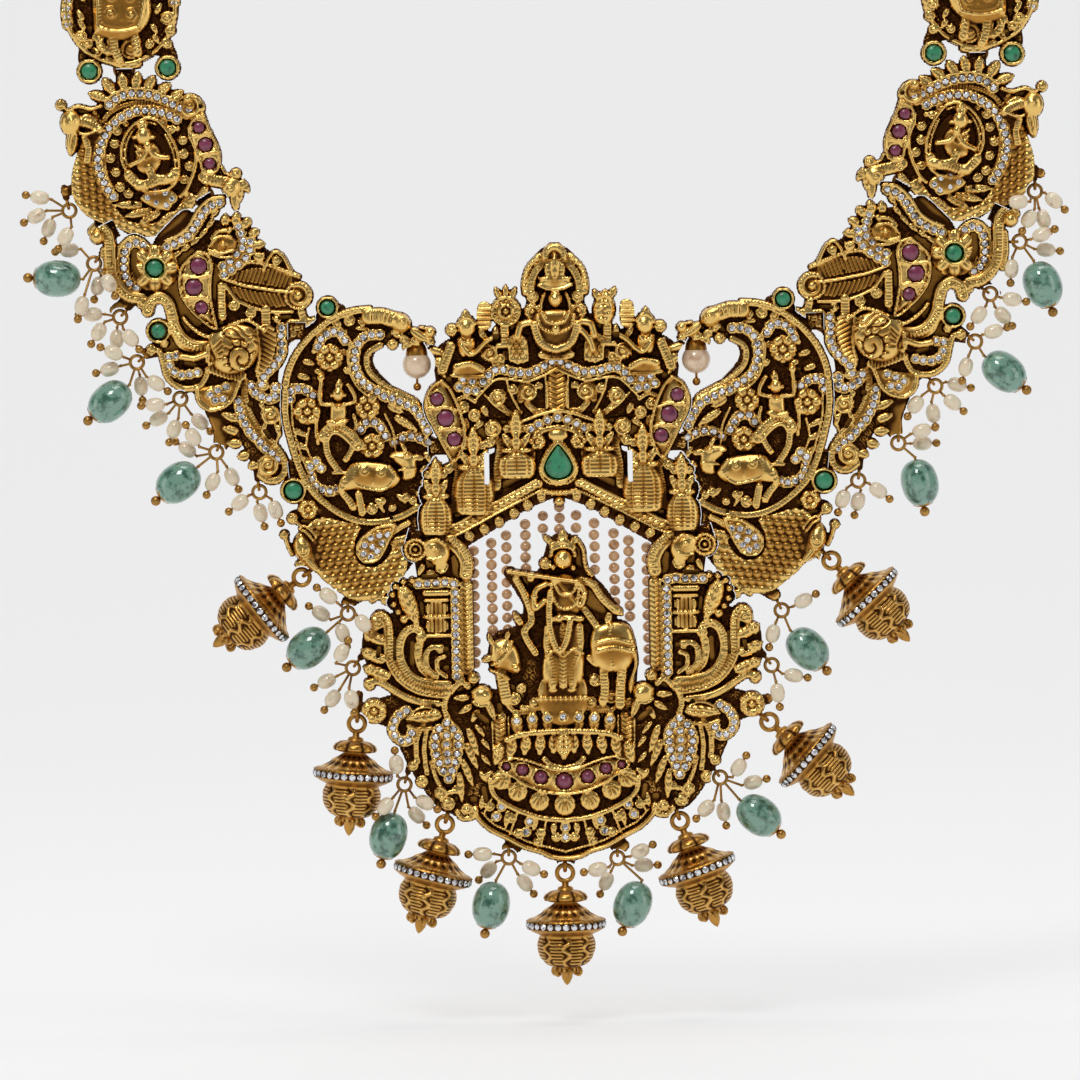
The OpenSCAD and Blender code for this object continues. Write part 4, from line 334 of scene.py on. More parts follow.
    def set_gems(self, p, z=1.3, r=0.62):
        """Single clear stones in round cups."""
        w, (X, Y) = self.window(p, r + 1)
        d = np.full(X.shape, 9.0)
        for x, y in p:
            d = np.minimum(d, np.hypot(X - x, Y - y))
        self.S[w] = np.minimum(self.S[w], d - r - 0.45)
        q = (d - r - 0.14) / 0.26
        self.lay(w, np.where(d < r, 0.15, bump(q)) * (d < r + 0.4), z, 0.35)
        self.stones += [(x, y, z + 0.2, r) for x, y in p]

    def pot(self, x, y, r, h, neck):
        """A ribbed pot from its foot at x, y, with a ring at its neck, a cup of leaves and a leafy tip."""
        w, (X, Y) = self.window(np.array([[x - r, y], [x + r, y + h]]), 0.5)
        t = Y - y
        tip = h - neck - 2.8
        rad = np.interp(t, [0, 0.1 * neck, 0.4 * neck, 0.7 * neck, neck - 0.8, neck - 0.5],
                        [0.75 * r, 0.92 * r, r, 0.92 * r, 0.62 * r, 0.5 * r])
        rad = np.where(t > h * 0.99, 0, rad)
        body = (t > 0) & (t < neck - 0.4)
        u = np.clip((X - x) / np.maximum(rad, 0.1), -1, 1)
        q = np.abs((X - x) / np.maximum(rad, 0.1))
        gore = np.arcsin(u) / (math.pi / 2) * 2.5
        f = bump(q) * (0.84 + 0.16 * wave(t / 0.68)) - 0.12 * np.exp(-(((gore + 0.5) % 1 - 0.5) / 0.1) ** 2)
        self.lay(w, np.where(body & (q < 1), np.maximum(f, 0.05), 0), 1.0, 1.9)
        self.S[w] = np.minimum(self.S[w], np.where(body, np.abs(X - x) - rad - EDGE, 9))
        self.band(np.array([[x - 0.6 * r, y + neck], [x + 0.6 * r, y + neck]]), 1, 2, 0.6, "beads", 0.75)
        for k in (-1, 1):
            self.leaf(x + k * 0.5, y + neck + 0.3, x + k * 0.66 * r, y + neck + 3.1, 1.9, 1.7, 0.8, 4)
        self.leaf(x, y + neck + 0.2, x, y + neck + 3.3, 1.7, 2.1, 0.8, 4)
        self.leaf(x, y + neck + 2.2, x, y + h, min(2.4, 0.62 * tip), 1.8, 0.9, 6)
        for k in (-1, 1):
            self.flower(x + k * 0.42 * r, y + neck + 3.9, 0.85, 6, 1.6)
            self.dome(x + k * 0.24 * r, y + neck + 5.1, 0.55, 0.55, 0, 1.5, 0.6)

    def shell(self, x, y, r, turn, z):
        """A round petal with ribs that run out from its root."""
        w, (X, Y) = self.window(np.array([[x, y]]), r + 1.2)
        t = math.radians(turn)
        u = (X - x) * math.cos(t) + (Y - y) * math.sin(t) + 0.5
        v = -(X - x) * math.sin(t) + (Y - y) * math.cos(t)
        rad = np.hypot(u, v) / r
        fan = np.arctan2(v, u + 0.9 * r)
        f = bump(rad ** 3) * (0.4 + 0.6 * wave(fan / 0.36))
        self.S[w] = np.minimum(self.S[w], (rad - 1) * r - EDGE)
        self.lay(w, np.where(rad < 1, np.maximum(f, 0.03), 0), z, 0.7)

    def pad(self, c, way, more=0.0, take=False):
        """A flat square pad that starts half a gap from c and runs along way, added or taken away."""
        n = np.array(way) / math.hypot(*way)
        w, (X, Y) = self.window(np.array([c]), 5.5)
        u = (X - c[0]) * n[0] + (Y - c[1]) * n[1] - GAP / 2 - 1.6
        v = -(X - c[0]) * n[1] + (Y - c[1]) * n[0]
        s = np.maximum(np.abs(u) - 1.6, np.abs(v) - 1.5) - more
        self.S[w] = np.maximum(self.S[w], -s) if take else np.minimum(self.S[w], s)

    def floor(self):
        """Small curls and grains over the parts of the plate that no motif covers."""
        X, Y = np.meshgrid(self.x, self.y)
        free = ~self.used & (self.S < -0.35)
        u, v = X / 1.5, Y / 1.3
        row = np.floor(v)
        cu = np.floor(u + 0.5 * (row % 2)) + 0.5 - 0.5 * (row % 2)
        du, dv = (u - cu) * 1.5, (v - row - 0.5) * 1.3
        rad = np.hypot(du, dv) / 0.72
        turn = (np.arctan2(dv, du) / (2 * math.pi) + 0.37 * cu + 0.21 * row) % 1
        f = np.abs(np.cos(math.pi * (rad * 1.6 - turn))) ** 1.5 * (rad < 1) + 0.1
        self.H = np.where(free, np.maximum(self.H, 0.12 + 0.5 * f), self.H)


def world(x, y, z):
    """Drawing millimetres to the necklace's frame in metres."""
    return np.stack([x * MM, -(z - MID) * MM, y * MM + DRAWING_Z], -1)


def mesh_piece(name, verts, faces, material, replaces=(), body="necklace",
               smooth_it=True, attrs=None):
    """A mesh object from arrays: verts (n, 3) in metres, faces a list of index arrays of one width each."""
    mesh = bpy.data.meshes.new(name)
    groups = [np.asarray(f, np.int32) for f in faces if len(f)]
    loops = np.concatenate([f.ravel() for f in groups])
    sizes = np.concatenate([np.full(len(f), f.shape[1], np.int32) for f in groups])
    mesh.vertices.add(len(verts))
    mesh.vertices.foreach_set("co", np.asarray(verts, np.float32).ravel())
    mesh.loops.add(len(loops))
    mesh.loops.foreach_set("vertex_index", loops)
    mesh.polygons.add(len(sizes))
    mesh.polygons.foreach_set("loop_start", np.concatenate([[0], np.cumsum(sizes)[:-1]]).astype(np.int32))
    mesh.polygons.foreach_set("use_smooth", np.full(len(sizes), smooth_it))
    for key, values in (attrs or {}).items():
        layer = mesh.attributes.new(key, "FLOAT", "POINT")
        layer.data.foreach_set("value", np.asarray(values, np.float32))
    mesh.update(calc_edges=True)
    mesh.validate()
    mesh.materials.append(material)
    obj = bpy.data.objects.new(name, mesh)
    bpy.context.scene.collection.objects.link(obj)
    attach(obj, body)
    if replaces:
        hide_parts(*replaces)
    return obj


def blur(a, r):
    """Three passes of a box mean of half-width r cells, both ways."""
    for _ in range(3):
        for axis in (0, 1):
            pad = [(0, 0), (0, 0)]
            pad[axis] = (r + 1, r)
            c = np.cumsum(np.pad(a, pad, mode="edge"), axis=axis)
            n, k = c.shape[axis], 2 * r + 1
            a = (np.take(c, range(k, n), axis) - np.take(c, range(0, n - k), axis)) / k
    return a


def casting(name, relief, material, replaces, x_from=-1e9, x_to=1e9, mirror=False):
    """A cast plate from its relief: a front grid pulled onto the outline, walls and a flat back."""
    S, H = relief.S, relief.H
    gy, gx = np.gradient(S, CELL)
    g2 = np.maximum(gx ** 2 + gy ** 2, 0.3)
    near = np.abs(S) < 0.55 * CELL
    X, Y = np.meshgrid(relief.x, relief.y)
    X = np.where(near, X - S * gx / g2, X)
    Y = np.where(near, Y - S * gy / g2, Y)
    ok = (S < 0) | near
    quad = ok[:-1, :-1] & ok[1:, :-1] & ok[:-1, 1:] & ok[1:, 1:]
    mid_s = (S[:-1, :-1] + S[1:, :-1] + S[:-1, 1:] + S[1:, 1:]) / 4
    quad &= mid_s < 0.12 * CELL
    centre = (relief.x[:-1] + relief.x[1:]) / 2
    quad &= ((centre > x_from) & (centre < x_to))[None, :]
    hollow = np.clip(sum((H - blur(H, cells)) * weight for cells, weight in HOLLOWS), -1, 1)
    ny, nx = S.shape
    index = np.arange(ny * nx).reshape(ny, nx)
    j, i = np.nonzero(quad)
    front = np.stack([index[j, i], index[j, i + 1], index[j + 1, i + 1], index[j + 1, i]], 1)
    edges = np.concatenate([front[:, [0, 1]], front[:, [1, 2]], front[:, [2, 3]], front[:, [3, 0]]])
    key = edges[:, 0].astype(np.int64) * (ny * nx) + edges[:, 1]
    back_key = edges[:, 1].astype(np.int64) * (ny * nx) + edges[:, 0]
    rim = edges[~np.isin(key, back_key)]
    used, inverse = np.unique(front.ravel(), return_inverse=True)
    front = inverse.reshape(-1, 4)
    px, py, pz = X.ravel()[used], Y.ravel()[used], np.maximum(H.ravel()[used], 0)
    rim_used, rim_inverse = np.unique(rim.ravel(), return_inverse=True)
    n, m = len(used), len(rim_used)
    rim = rim_inverse.reshape(-1, 2)
    rx, ry, rz = X.ravel()[rim_used], Y.ravel()[rim_used], np.maximum(H.ravel()[rim_used], 0)
    walls = np.stack([rim[:, 0] + n, rim[:, 0] + n + m, rim[:, 1] + n + m, rim[:, 1] + n], 1)
    corners = [Vector((a, b)) for a, b in zip(rx, ry)]
    flat = geometry.delaunay_2d_cdt(corners, [tuple(e) for e in rim.tolist()], [], 2, 1e-6)
    back_xy = np.array([v[:] for v in flat[0]])
    tri = np.array([t for t in flat[2] if len(t) == 3]) + n + 2 * m
    back_z = np.full(len(back_xy), -PLATE_T)
    low = np.full(m, -PLATE_T)
    x = np.concatenate([px, rx, rx, back_xy[:, 0]])
    y = np.concatenate([py, ry, ry, back_xy[:, 1]])
    z = np.concatenate([pz, rz, low, back_z])
    cav = np.concatenate([hollow.ravel()[used], np.full(2 * m, -0.15), np.zeros(len(back_xy))])
    faces = [front, walls, tri[:, ::-1]]
    if mirror:
        x = -x
        faces = [f[:, ::-1] for f in faces]
    return mesh_piece(name, world(x, y, z), faces, material, replaces, attrs={"hollow": cav})


def tube(path, radius, sides=10, closed=False, up=None):
    """A tube of the given radius or radii along a path (n, 3) in mm; its rings are carried along the path."""
    p = np.asarray(path, float)
    n = len(p)
    if closed:
        t = np.roll(p, -1, 0) - np.roll(p, 1, 0)
    else:
        t = np.gradient(p, axis=0)
    t /= np.linalg.norm(t, axis=1)[:, None] + 1e-12
    ref = np.array(up if up is not None else [0.0, 0.0, 1.0])
    a = np.cross(t, ref)
    weak = np.linalg.norm(a, axis=1) < 0.15
    a[weak] = np.cross(t[weak], [0.31, 0.95, 0.1])
    a /= np.linalg.norm(a, axis=1)[:, None]
    b = np.cross(t, a)
    r = np.broadcast_to(np.asarray(radius, float), n)[:, None, None]
    ang = np.arange(sides) * 2 * math.pi / sides
    ring = (np.cos(ang)[None, :, None] * a[:, None] + np.sin(ang)[None, :, None] * b[:, None]) * r
    v = (p[:, None] + ring).reshape(-1, 3)
    k = np.arange(n if closed else n - 1)[:, None]
    s = np.arange(sides)[None, :]
    k2, s2 = (k + 1) % n, (s + 1) % sides
    f = np.stack([k * sides + s, k * sides + s2, k2 * sides + s2, k2 * sides + s], -1).reshape(-1, 4)
    if closed:
        return outward((v, [f]))
    v = np.vstack([v, p[:1], p[-1:]])
    s = np.arange(sides)
    s2 = (s + 1) % sides
    first, last, end = np.full(sides, n * sides), np.full(sides, n * sides + 1), (n - 1) * sides
    caps = np.concatenate([np.stack([first, s2, s], 1), np.stack([last, end + s, end + s2], 1)])
    return outward((v, [f, caps]))


def outward(part):
    """The part with all its faces turned over if they face inwards, judged by its volume."""
    v, faces = part
    c = v.mean(0)
    volume = sum(np.einsum("ij,ij->i", v[f[:, 0]] - c, np.cross(v[f[:, k]] - c, v[f[:, k + 1]] - c)).sum()
                 for f in faces for k in range(1, f.shape[1] - 1))
    return (v, faces) if volume > 0 else (v, [f[:, ::-1] for f in faces])


def turned(profile, sides=24, swell=None):
    """A profile (radius, length along the axis) turned round +y. swell(theta, s) adds to the radius."""
    p = np.asarray(profile, float)
    th = np.arange(sides) * 2 * math.pi / sides
    r = np.repeat(p[:, :1], sides, 1)
    if swell is not None:
        r = r + swell(th[None, :], np.arange(len(p))[:, None] / (len(p) - 1), p)
    v = np.stack([r * np.cos(th), np.repeat(p[:, 1:2], sides, 1), r * np.sin(th)], -1).reshape(-1, 3)
    k, s = np.meshgrid(np.arange(len(p) - 1) * sides, np.arange(sides), indexing="ij")
    s2 = (s + 1) % sides
    f = np.stack([k + s, k + sides + s, k + sides + s2, k + s2], -1).reshape(-1, 4)
    return outward((v, [f]))


def joined(parts):
    """Several (vertices, face lists) as one."""
    verts, faces, start = [], {}, 0
    for v, fs in parts:
        verts.append(v)
        for f in fs:
            if len(f):
                faces.setdefault(f.shape[1], []).append(np.asarray(f) + start)
        start += len(v)
    return np.vstack(verts), [np.concatenate(f) for f in faces.values()]


def placed(part, x, y, z=MID, turn=0.0, tilt=0.0, size=1.0):
    """A part turned by turn degrees in the drawing, tilted first about its own x, and moved to x, y, z."""
    v, faces = part
    t, k = math.radians(turn), math.radians(tilt)
    rot_x = np.array([[1, 0, 0], [0, math.cos(k), -math.sin(k)], [0, math.sin(k), math.cos(k)]])
    rot_z = np.array([[math.cos(t), -math.sin(t), 0], [math.sin(t), math.cos(t), 0], [0, 0, 1]])
    return (v * size) @ (rot_z @ rot_x).T + [x, y, z], faces


def to_world(part):
    """A part in drawing millimetres, in the necklace's frame."""
    v, faces = part
    return world(v[:, 0], v[:, 1], v[:, 2]), faces


def ring_wire(x, y, z, r, wire, turn=0.0, edge_on=False, steps=28, sides=8):
    """A round wire ring, flat in the drawing or standing on edge along turn."""
    a = np.arange(steps) * 2 * math.pi / steps
    c, s = math.cos(math.radians(turn)), math.sin(math.radians(turn))
    if edge_on:
        p = np.stack([x + r * np.cos(a) * c, y + r * np.cos(a) * s, z + r * np.sin(a)], 1)
        up = [-s, c, 0]
    else:
        p = np.stack([x + r * np.cos(a), y + r * np.sin(a), np.full(steps, z)], 1)
        up = [0, 0, 1]
    return tube(p, wire / 2, sides, True, up=up)


def draw(r, text):
    """Draw a table of motifs on a relief: each line has a kind, its sizes with commas, and points.

    The sizes start with radii or a width, and then come foot and crown, which are the height where a motif
    starts and what it rises by. A leaf has its ribs last and two points, its root and tip. A curl has radius,
    foot, the angle it starts at and its way round; a flower radius, petals and foot; a loop radius, width,
    foot, crown and its place in LOOPS; a hatch and a band foot, crown and pitch, and a hatch its turn.
    """
    for line in lines_of(text):
        kind, sizes, *words = line.split()
        a = [float(v) for v in sizes.split(",")]
        text_points = " ".join(words)
        p = points(text_points)
        if kind in ("base", "fill"):
            r.fill(text_points, *a)
        elif kind == "disc":
            for x, y in p:
                w, (X, Y) = r.window(np.array([[x, y]]), a[0] + 1)
                r.S[w] = np.minimum(r.S[w], np.hypot(X - x, Y - y) - a[0] - EDGE)
        elif kind == "dome":
            for x, y in p:
                r.dome(x, y, *a)
        elif kind == "leaf":
            for (x0, y0), (x1, y1) in zip(p[::2], p[1::2]):
                r.leaf(x0, y0, x1, y1, a[0], a[1], a[2], int(a[3]))
        elif kind == "curl":
            for x, y in p:
                r.curl(x, y, *a)
        elif kind == "flower":
            for x, y in p:
                r.flower(x, y, a[0], int(a[1]), a[2])
        elif kind == "loop":
            for x, y in p:
                t = np.linspace(0, 2 * math.pi, 49)
                loop = np.stack([x + a[0] * np.cos(t), y + a[0] * np.sin(t)], 1)
                r.band(loop, a[1], a[2], a[3], LOOPS[int(a[4])])
        elif kind == "scales":
            r.scales(text_points, *a)
        elif kind == "hatch":
            r.hatch(text_points, *a)
        elif kind == "cut":
            r.cut(text_points, *a)
        elif kind == "pierce":
            r.pierce(text_points, a[0])
        elif kind == "fall":
            for x, y in p:
                r.fall("%f,%f" % (x, y), a[0])
        elif kind == "pot":
            for x, y in p:
                r.pot(x, y, *a)
        elif kind == "shell":
            for x, y, turn in p:
                r.shell(x, y, a[0], turn, a[1])
        elif kind == "cz":
            r.set_row(text_points, *a)
        elif kind == "gems":
            r.set_gems(p, *a)
        else:
            r.band(text_points, *a[:3], kind, *a[3:])


LOOPS = ["round", "rope", "beads", "ribs", "flat"]

# Motifs of the plates, left half of the necklace, as draw() reads them.
# The round plate next to the chain, with an elephant
MEDALLION = """
disc 10.2 -76.9,83
disc 2.2 -82.75,71.95 -68.7,72.35
base 0 -84.6,73.4 -81,75 -78,73 -76.6,71 -75,73 -72.6,75 -67,73.6 -69,78 -76,80 -83.4,78
loop 9.75,0.9,0.9,0.6,0 -76.9,83
loop 8.75,0.7,0.6,0.45,2 -76.9,83
fill 1.3,1.3 -82,81.2 -81.5,78.5 -78,77 -74,78 -71.3,81.5 -72,86.6 -77,88.4 -81.6,86.4
round 0.5,2.3,0.5 -80.9,85.6 -81,80.6 -80.7,79.7 -77.5,79 -74.2,79.5 -73.5,80.2 -72.4,85
beads 0.6,2.2,0.45,0.62 -80.2,85.4 -80.3,81 -77.4,79.9 -74.6,80.5 -73.3,84.8
curl 1.35,2.2,120,1 -78.5,82.3
curl 1.35,2.2,60,-1 -75,82.1
leaf 0.9,2.3,0.5,0 -76.7,80.8 -76.7,84.2
curl 1,2.2,0,1 -78.4,85.2
curl 1,2.2,180,-1 -75,85
ribs 1.6,1.7,0.6,0.55 -78.3,77.9 -77.9,75.4 -77.3,73.9
round 0.5,1.6,0.5 -79.3,77.4 -78.8,75
chevron 1.6,1.5,0.6 -80.8,77.8 -80.5,76.5 -79.3,75.4
rope 1.8,1.5,0.6 -74.4,77.8 -74,75.2
round 0.7,1.1,0.5 -73,74.2 -70.5,75.5 -69.3,77.3
comb 1.4,1,0.6,0.5 -79.4,74 -77.6,73.2 -76,72.9 -74,73.1
curl 1.9,1.2,200,1 -75.2,75.9
curl 1.2,1.2,160,1 -84,78.2
curl 1,1.1,40,-1 -82.9,76.9
curl 1,1.1,90,1 -81.2,75.4
curl 1.3,1.2,20,-1 -68.6,81.3
curl 1,1.2,300,1 -68.1,79
curl 0.9,1.1,100,1 -68.7,76.5
curl 0.9,1.1,0,1 -71.9,76.6
leaf 1.3,1.2,0.7,3 -81,79.2 -82,77.2 -83.3,79.4 -84.5,81.3 -83.6,81 -84.6,83.2 -71.4,80.2 -70.3,78.4
  -71.1,78.4 -70.2,76.7 -70.6,82 -69.6,84
leaf 1.5,1.2,0.7,3 -83.2,84.6 -85,86.6 -81.8,88 -83.4,90 -71.4,87.8 -69.6,89.6 -70.2,84.8 -68.4,86.6
curl 1.2,1.2,30,1 -83.9,88.4 -70.1,91
curl 1.2,1.2,150,-1 -79.8,90.7 -69.3,88.2
flower 1.9,8,1.6 -76.8,89.7
curl 1.1,1.2,0,1 -73.7,90.8
cz 1 -86.4,80.4 -86.6,82.4 -86.3,85 -85.4,87.4
cz 1 -67.3,84 -67.4,86 -68.2,88
loop 1.95,0.5,1.5,0.5,0 -82.75,71.95 -68.7,72.35
loop 1.62,0.3,1.5,0.35,1 -82.75,71.95 -68.7,72.35
fall 1.52 -82.75,71.95 -68.7,72.35
pierce 0.5 -81.9,75.4
pierce 0.5 -71.9,75
pierce 0.45 -82.6,79.6
pierce 0.45 -70.9,83.4
"""
# The link below it: an oval with a seated figure, a peacock round it, and a ruby crescent
PEACOCK = """
flat 1.4,0,0.3 -87.5,50.4 -85.4,51.2
base 0 -81.6,65.8 -83.9,62.6 -84.6,58.6 -86,54 -86.2,50.6 -84.8,47 -82,45 -79,44.2 -76,42.4 -71,42.4
  -66,45.6 -62.8,50 -62,54 -62.4,60 -63.4,65 -67,68 -73,70 -78.6,69.4
scales 0.9,0.75,1.5,35 -82,65 -83.6,62.2 -84.3,59.6 -85.4,56.8 -86.3,53.6 -86.4,50.8 -85.6,48.2 -83.6,46
  -81,44.6 -78,43.6 -75.4,42.6 -71,42.3 -66.8,45 -64,48.4 -65.6,50 -68,46.6 -72,44.6 -76,45 -78.6,47.6
  -80.6,51 -82.2,54.6 -82,58 -80.6,62
leaf 2.2,1.2,0.8,5 -79.9,66.9 -83.1,68.1 -78.5,68 -80.4,70.8 -76.6,68.7 -76.9,71.6 -74.5,68.8 -74,71.8
  -72.6,68.6 -71,71 -70.4,67.8 -68.2,69.6 -68.2,66.6 -66,68.2
ribs 1.1,0.9,0.6,0.55 -80.4,62.8 -79.5,64.2 -77,65.6 -74,66.2 -71,65.8 -68.5,64.6 -66.5,63.6 -64.5,63.4
  -63,64.2 -62.8,65.5 -63.6,66.6
round 0.45,1.5,0.45 -80,66.9 -78.2,68 -76.6,68.6 -74.8,68.85 -72.9,68.7 -71.2,68.3 -69.6,67.6 -68,66.8
  -66.2,66
cz 1.5 -79.3,65.9 -78,67 -76.5,67.6 -74.9,67.85 -73.1,67.7 -71.6,67.4 -70.2,66.9 -68.8,66.3 -67.5,65.5
  -66.4,65 -65,64.8
curl 2.3,1.4,60,1 -64.9,65.3
dome 0.75,0.75,0,2,0.7 -65.2,66.7
cz 1.5 -67.2,63.1 -68.6,63.8 -69.9,64.3 -71.3,64.6 -72.7,64.7 -74.2,64.7 -75.8,64.2 -77.2,63.5 -78.5,62.6
  -79.5,61.5 -80.3,60.1 -81,58.6 -81.4,57 -81.6,55.5 -81.2,53.8 -80.6,52.3 -79.9,50.8 -78.9,49.4
round 0.8,1.4,0.6 -65.2,61.4 -64.2,58.6 -63.9,56.3 -64.3,53.8 -65.6,50.7 -66.9,49.2
rope 0.5,1.2,0.4,0.4 -79.6,60 -80.2,57.6 -80.3,55.4 -79.8,53 -78.8,51
curl 0.95,1.1,0,1 -78,61.2 -79.3,56.3 -77.7,51.1 -68.4,61.3 -66.2,56.8 -66.2,52.3
curl 0.95,1.1,180,-1 -78.4,58.9 -78.3,53.8 -76.1,49.9 -69.7,62.7 -66.2,59.3 -65.1,54.6
curl 0.6,1,90,1 -76.4,62.4 -71,63.4 -67.2,61.4 -65.2,52.2
round 0.6,1.7,0.5 -70.6,62.9 -73,63.4 -75.6,61.6 -77,59.1 -77.3,56.3 -76.4,53.7 -75.3,51.4 -73,50.2
  -69.6,50.4 -67.4,52 -67,55 -67.5,58 -68.9,60.8 -70.6,62.9
beads 0.5,1.5,0.4,0.52 -71,62.2 -73,62.7 -75,61.2 -76.3,59 -76.6,56.3 -75.8,53.9 -74.6,51.8 -72.6,51
  -69.9,51.2 -68.2,52.6 -67.7,55 -68.2,57.8 -69.4,60.4
fill 0.5,0.3 -73.2,62.3 -75.8,59.2 -76.2,56 -75.3,53 -72.8,51.4 -69.6,52 -68.3,55 -68.8,59
fill 1.5,0.9 -74.6,58.8 -75,56.4 -74.4,53.6 -71.4,53.2 -69.8,56 -70.8,58.8 -72.6,59.6
dome 1.5,1.65,0,1.9,1.35 -73.2,60.2
leaf 2.2,2,0.9,3 -73.3,61.2 -73.5,63.4
dome 0.42,0.42,0,2,0.7 -74.9,59.9 -71.5,59.9
dome 0.18,0.22,0,3.1,0.2 -73.2,60
rope 0.45,2.4,0.4,0.35 -74.8,58.6 -73.4,57.6 -71.4,58.4
rope 0.45,2.3,0.4,0.35 -74.6,57.4 -73,56 -71,57
round 1,2.2,0.6 -75.6,55 -73.6,56.1 -72.5,57.9
round 1,2.2,0.6 -69,56.2 -71.2,56.6 -72.4,57.9
dome 0.7,0.8,0,2.7,0.6 -72.5,58.4
ribs 2,1.9,0.7,0.55 -76,53.2 -74.8,51.9 -73.6,51.3 -71,52.2 -68.4,52.5 -67.7,53.6
dome 1.3,1.1,20,2,1 -74,51.4
dome 1.2,1.05,-10,2,1 -68.6,52.6
comb 1.5,2.1,0.5,0.4 -72.4,54.4 -71.8,53 -70,52.4
fill 1.3,0.7 -74.4,49.2 -71,50.9 -68,50.4 -67.4,48.9 -69.5,46.7 -72.2,47.2
gems 1.6 -72.7,49.1 -71.3,50.1 -69.6,49.8 -68.4,48.9 -69.4,47.8 -71.2,48.3
leaf 1.9,1.1,0.7,5 -73.8,47.9 -78.9,47.9 -72.1,46.9 -77,45.8 -70.6,46.6 -74.5,44.5 -68.2,46.3 -71.2,43.9
leaf 1.5,1.1,0.7,4 -66.2,47.3 -68.2,44.4 -65,49.2 -66.2,46
dome 1.95,2.35,0,1.5,1.7 -86.2,62.8
curl 0.9,2.6,90,1 -86.1,63
dome 0.3,0.3,0,3.2,0.5 -86,63.1
leaf 2.4,1.6,1.2,0 -85.8,61.4 -86.4,56.7
cut 0.3,0.6 -85.6,60.6 -86.3,57.2
curl 0.95,1.8,0,1 -88,66
round 0.5,1.7,0.5 -87.4,65.6 -86.4,64.8
round 0.75,2.1,0.6 -86.2,65.2 -84.8,65.7 -82.6,65.2 -80.8,65.7
rope 1,1.6,0.6,0.5 -84.6,63.6 -83.2,63.9 -82,63.2
ribs 1.7,1.8,0.6,0.5 -84.2,62.9 -82.4,62.3 -81.2,61.6
round 0.6,2.2,0.5 -84.6,60.9 -83.3,60.7 -80.9,61.7
ribs 1.2,1.5,0.6,0.5 -83.9,60.2 -83.2,58.2 -83.4,56
fill 1.1,0.6 -62.5,63.9 -64.2,62.9 -65.05,61.6 -65.1,60 -64.3,58.3 -63.3,56 -62.6,53.4 -60.3,53.4
  -59.7,55.2 -59.7,56.9 -60.2,58.6 -61.4,61.1
round 0.5,1.7,0.5 -62.5,63.9 -64.2,62.9 -65,61.6 -65,60 -64.3,58.3 -63.3,56 -62.6,53.6 -60.4,53.6
  -59.8,55.2 -59.8,56.9 -60.3,58.6 -61.5,61.1 -62.5,63.9
round 0.55,1.6,0.55 -64.4,60 -61.2,60.8
round 0.55,1.6,0.55 -63.3,56.6 -60,57.3
loop 1.18,0.3,1.3,0.35,0 -63.3,61.5
loop 1.38,0.3,1.3,0.35,0 -62.2,58.4
loop 1.18,0.3,1.3,0.35,0 -61.5,55
fall 1.1 -63.3,61.5
fall 1.3 -62.2,58.4
fall 1.1 -61.5,55
ribs 2.3,1.3,0.7,0.62 -62.6,52.6 -60.8,52 -58.8,51.6
loop 0.55,0.3,1.8,0.4,0 -62.3,52
dome 1.8,1.9,0,1.3,1.3 -57.7,50.7
curl 1.3,2.1,180,1 -57.9,50.4
leaf 1.6,1.4,0.9,0 -57.4,49.6 -56.9,46.1
curl 1,1.5,0,-1 -56.9,53.1
leaf 1.5,1.2,0.8,4 -56.2,51.2 -56.4,47.7 -56,52 -54.6,49.6
round 0.5,1.2,0.5 -57.6,52.6 -58.9,53.4 -59.4,54.4
rope 1.5,1.1,0.5,0.6 -63.9,48.6 -62.4,50.4
pierce 0.5 -60.5,49.9 -59.9,48.7
pierce 0.4 -62.9,65.3
pierce 0.4 -75.4,48.2
pierce 0.35 -83.5,64.6
pierce 0.45 -65.2,46.6
"""
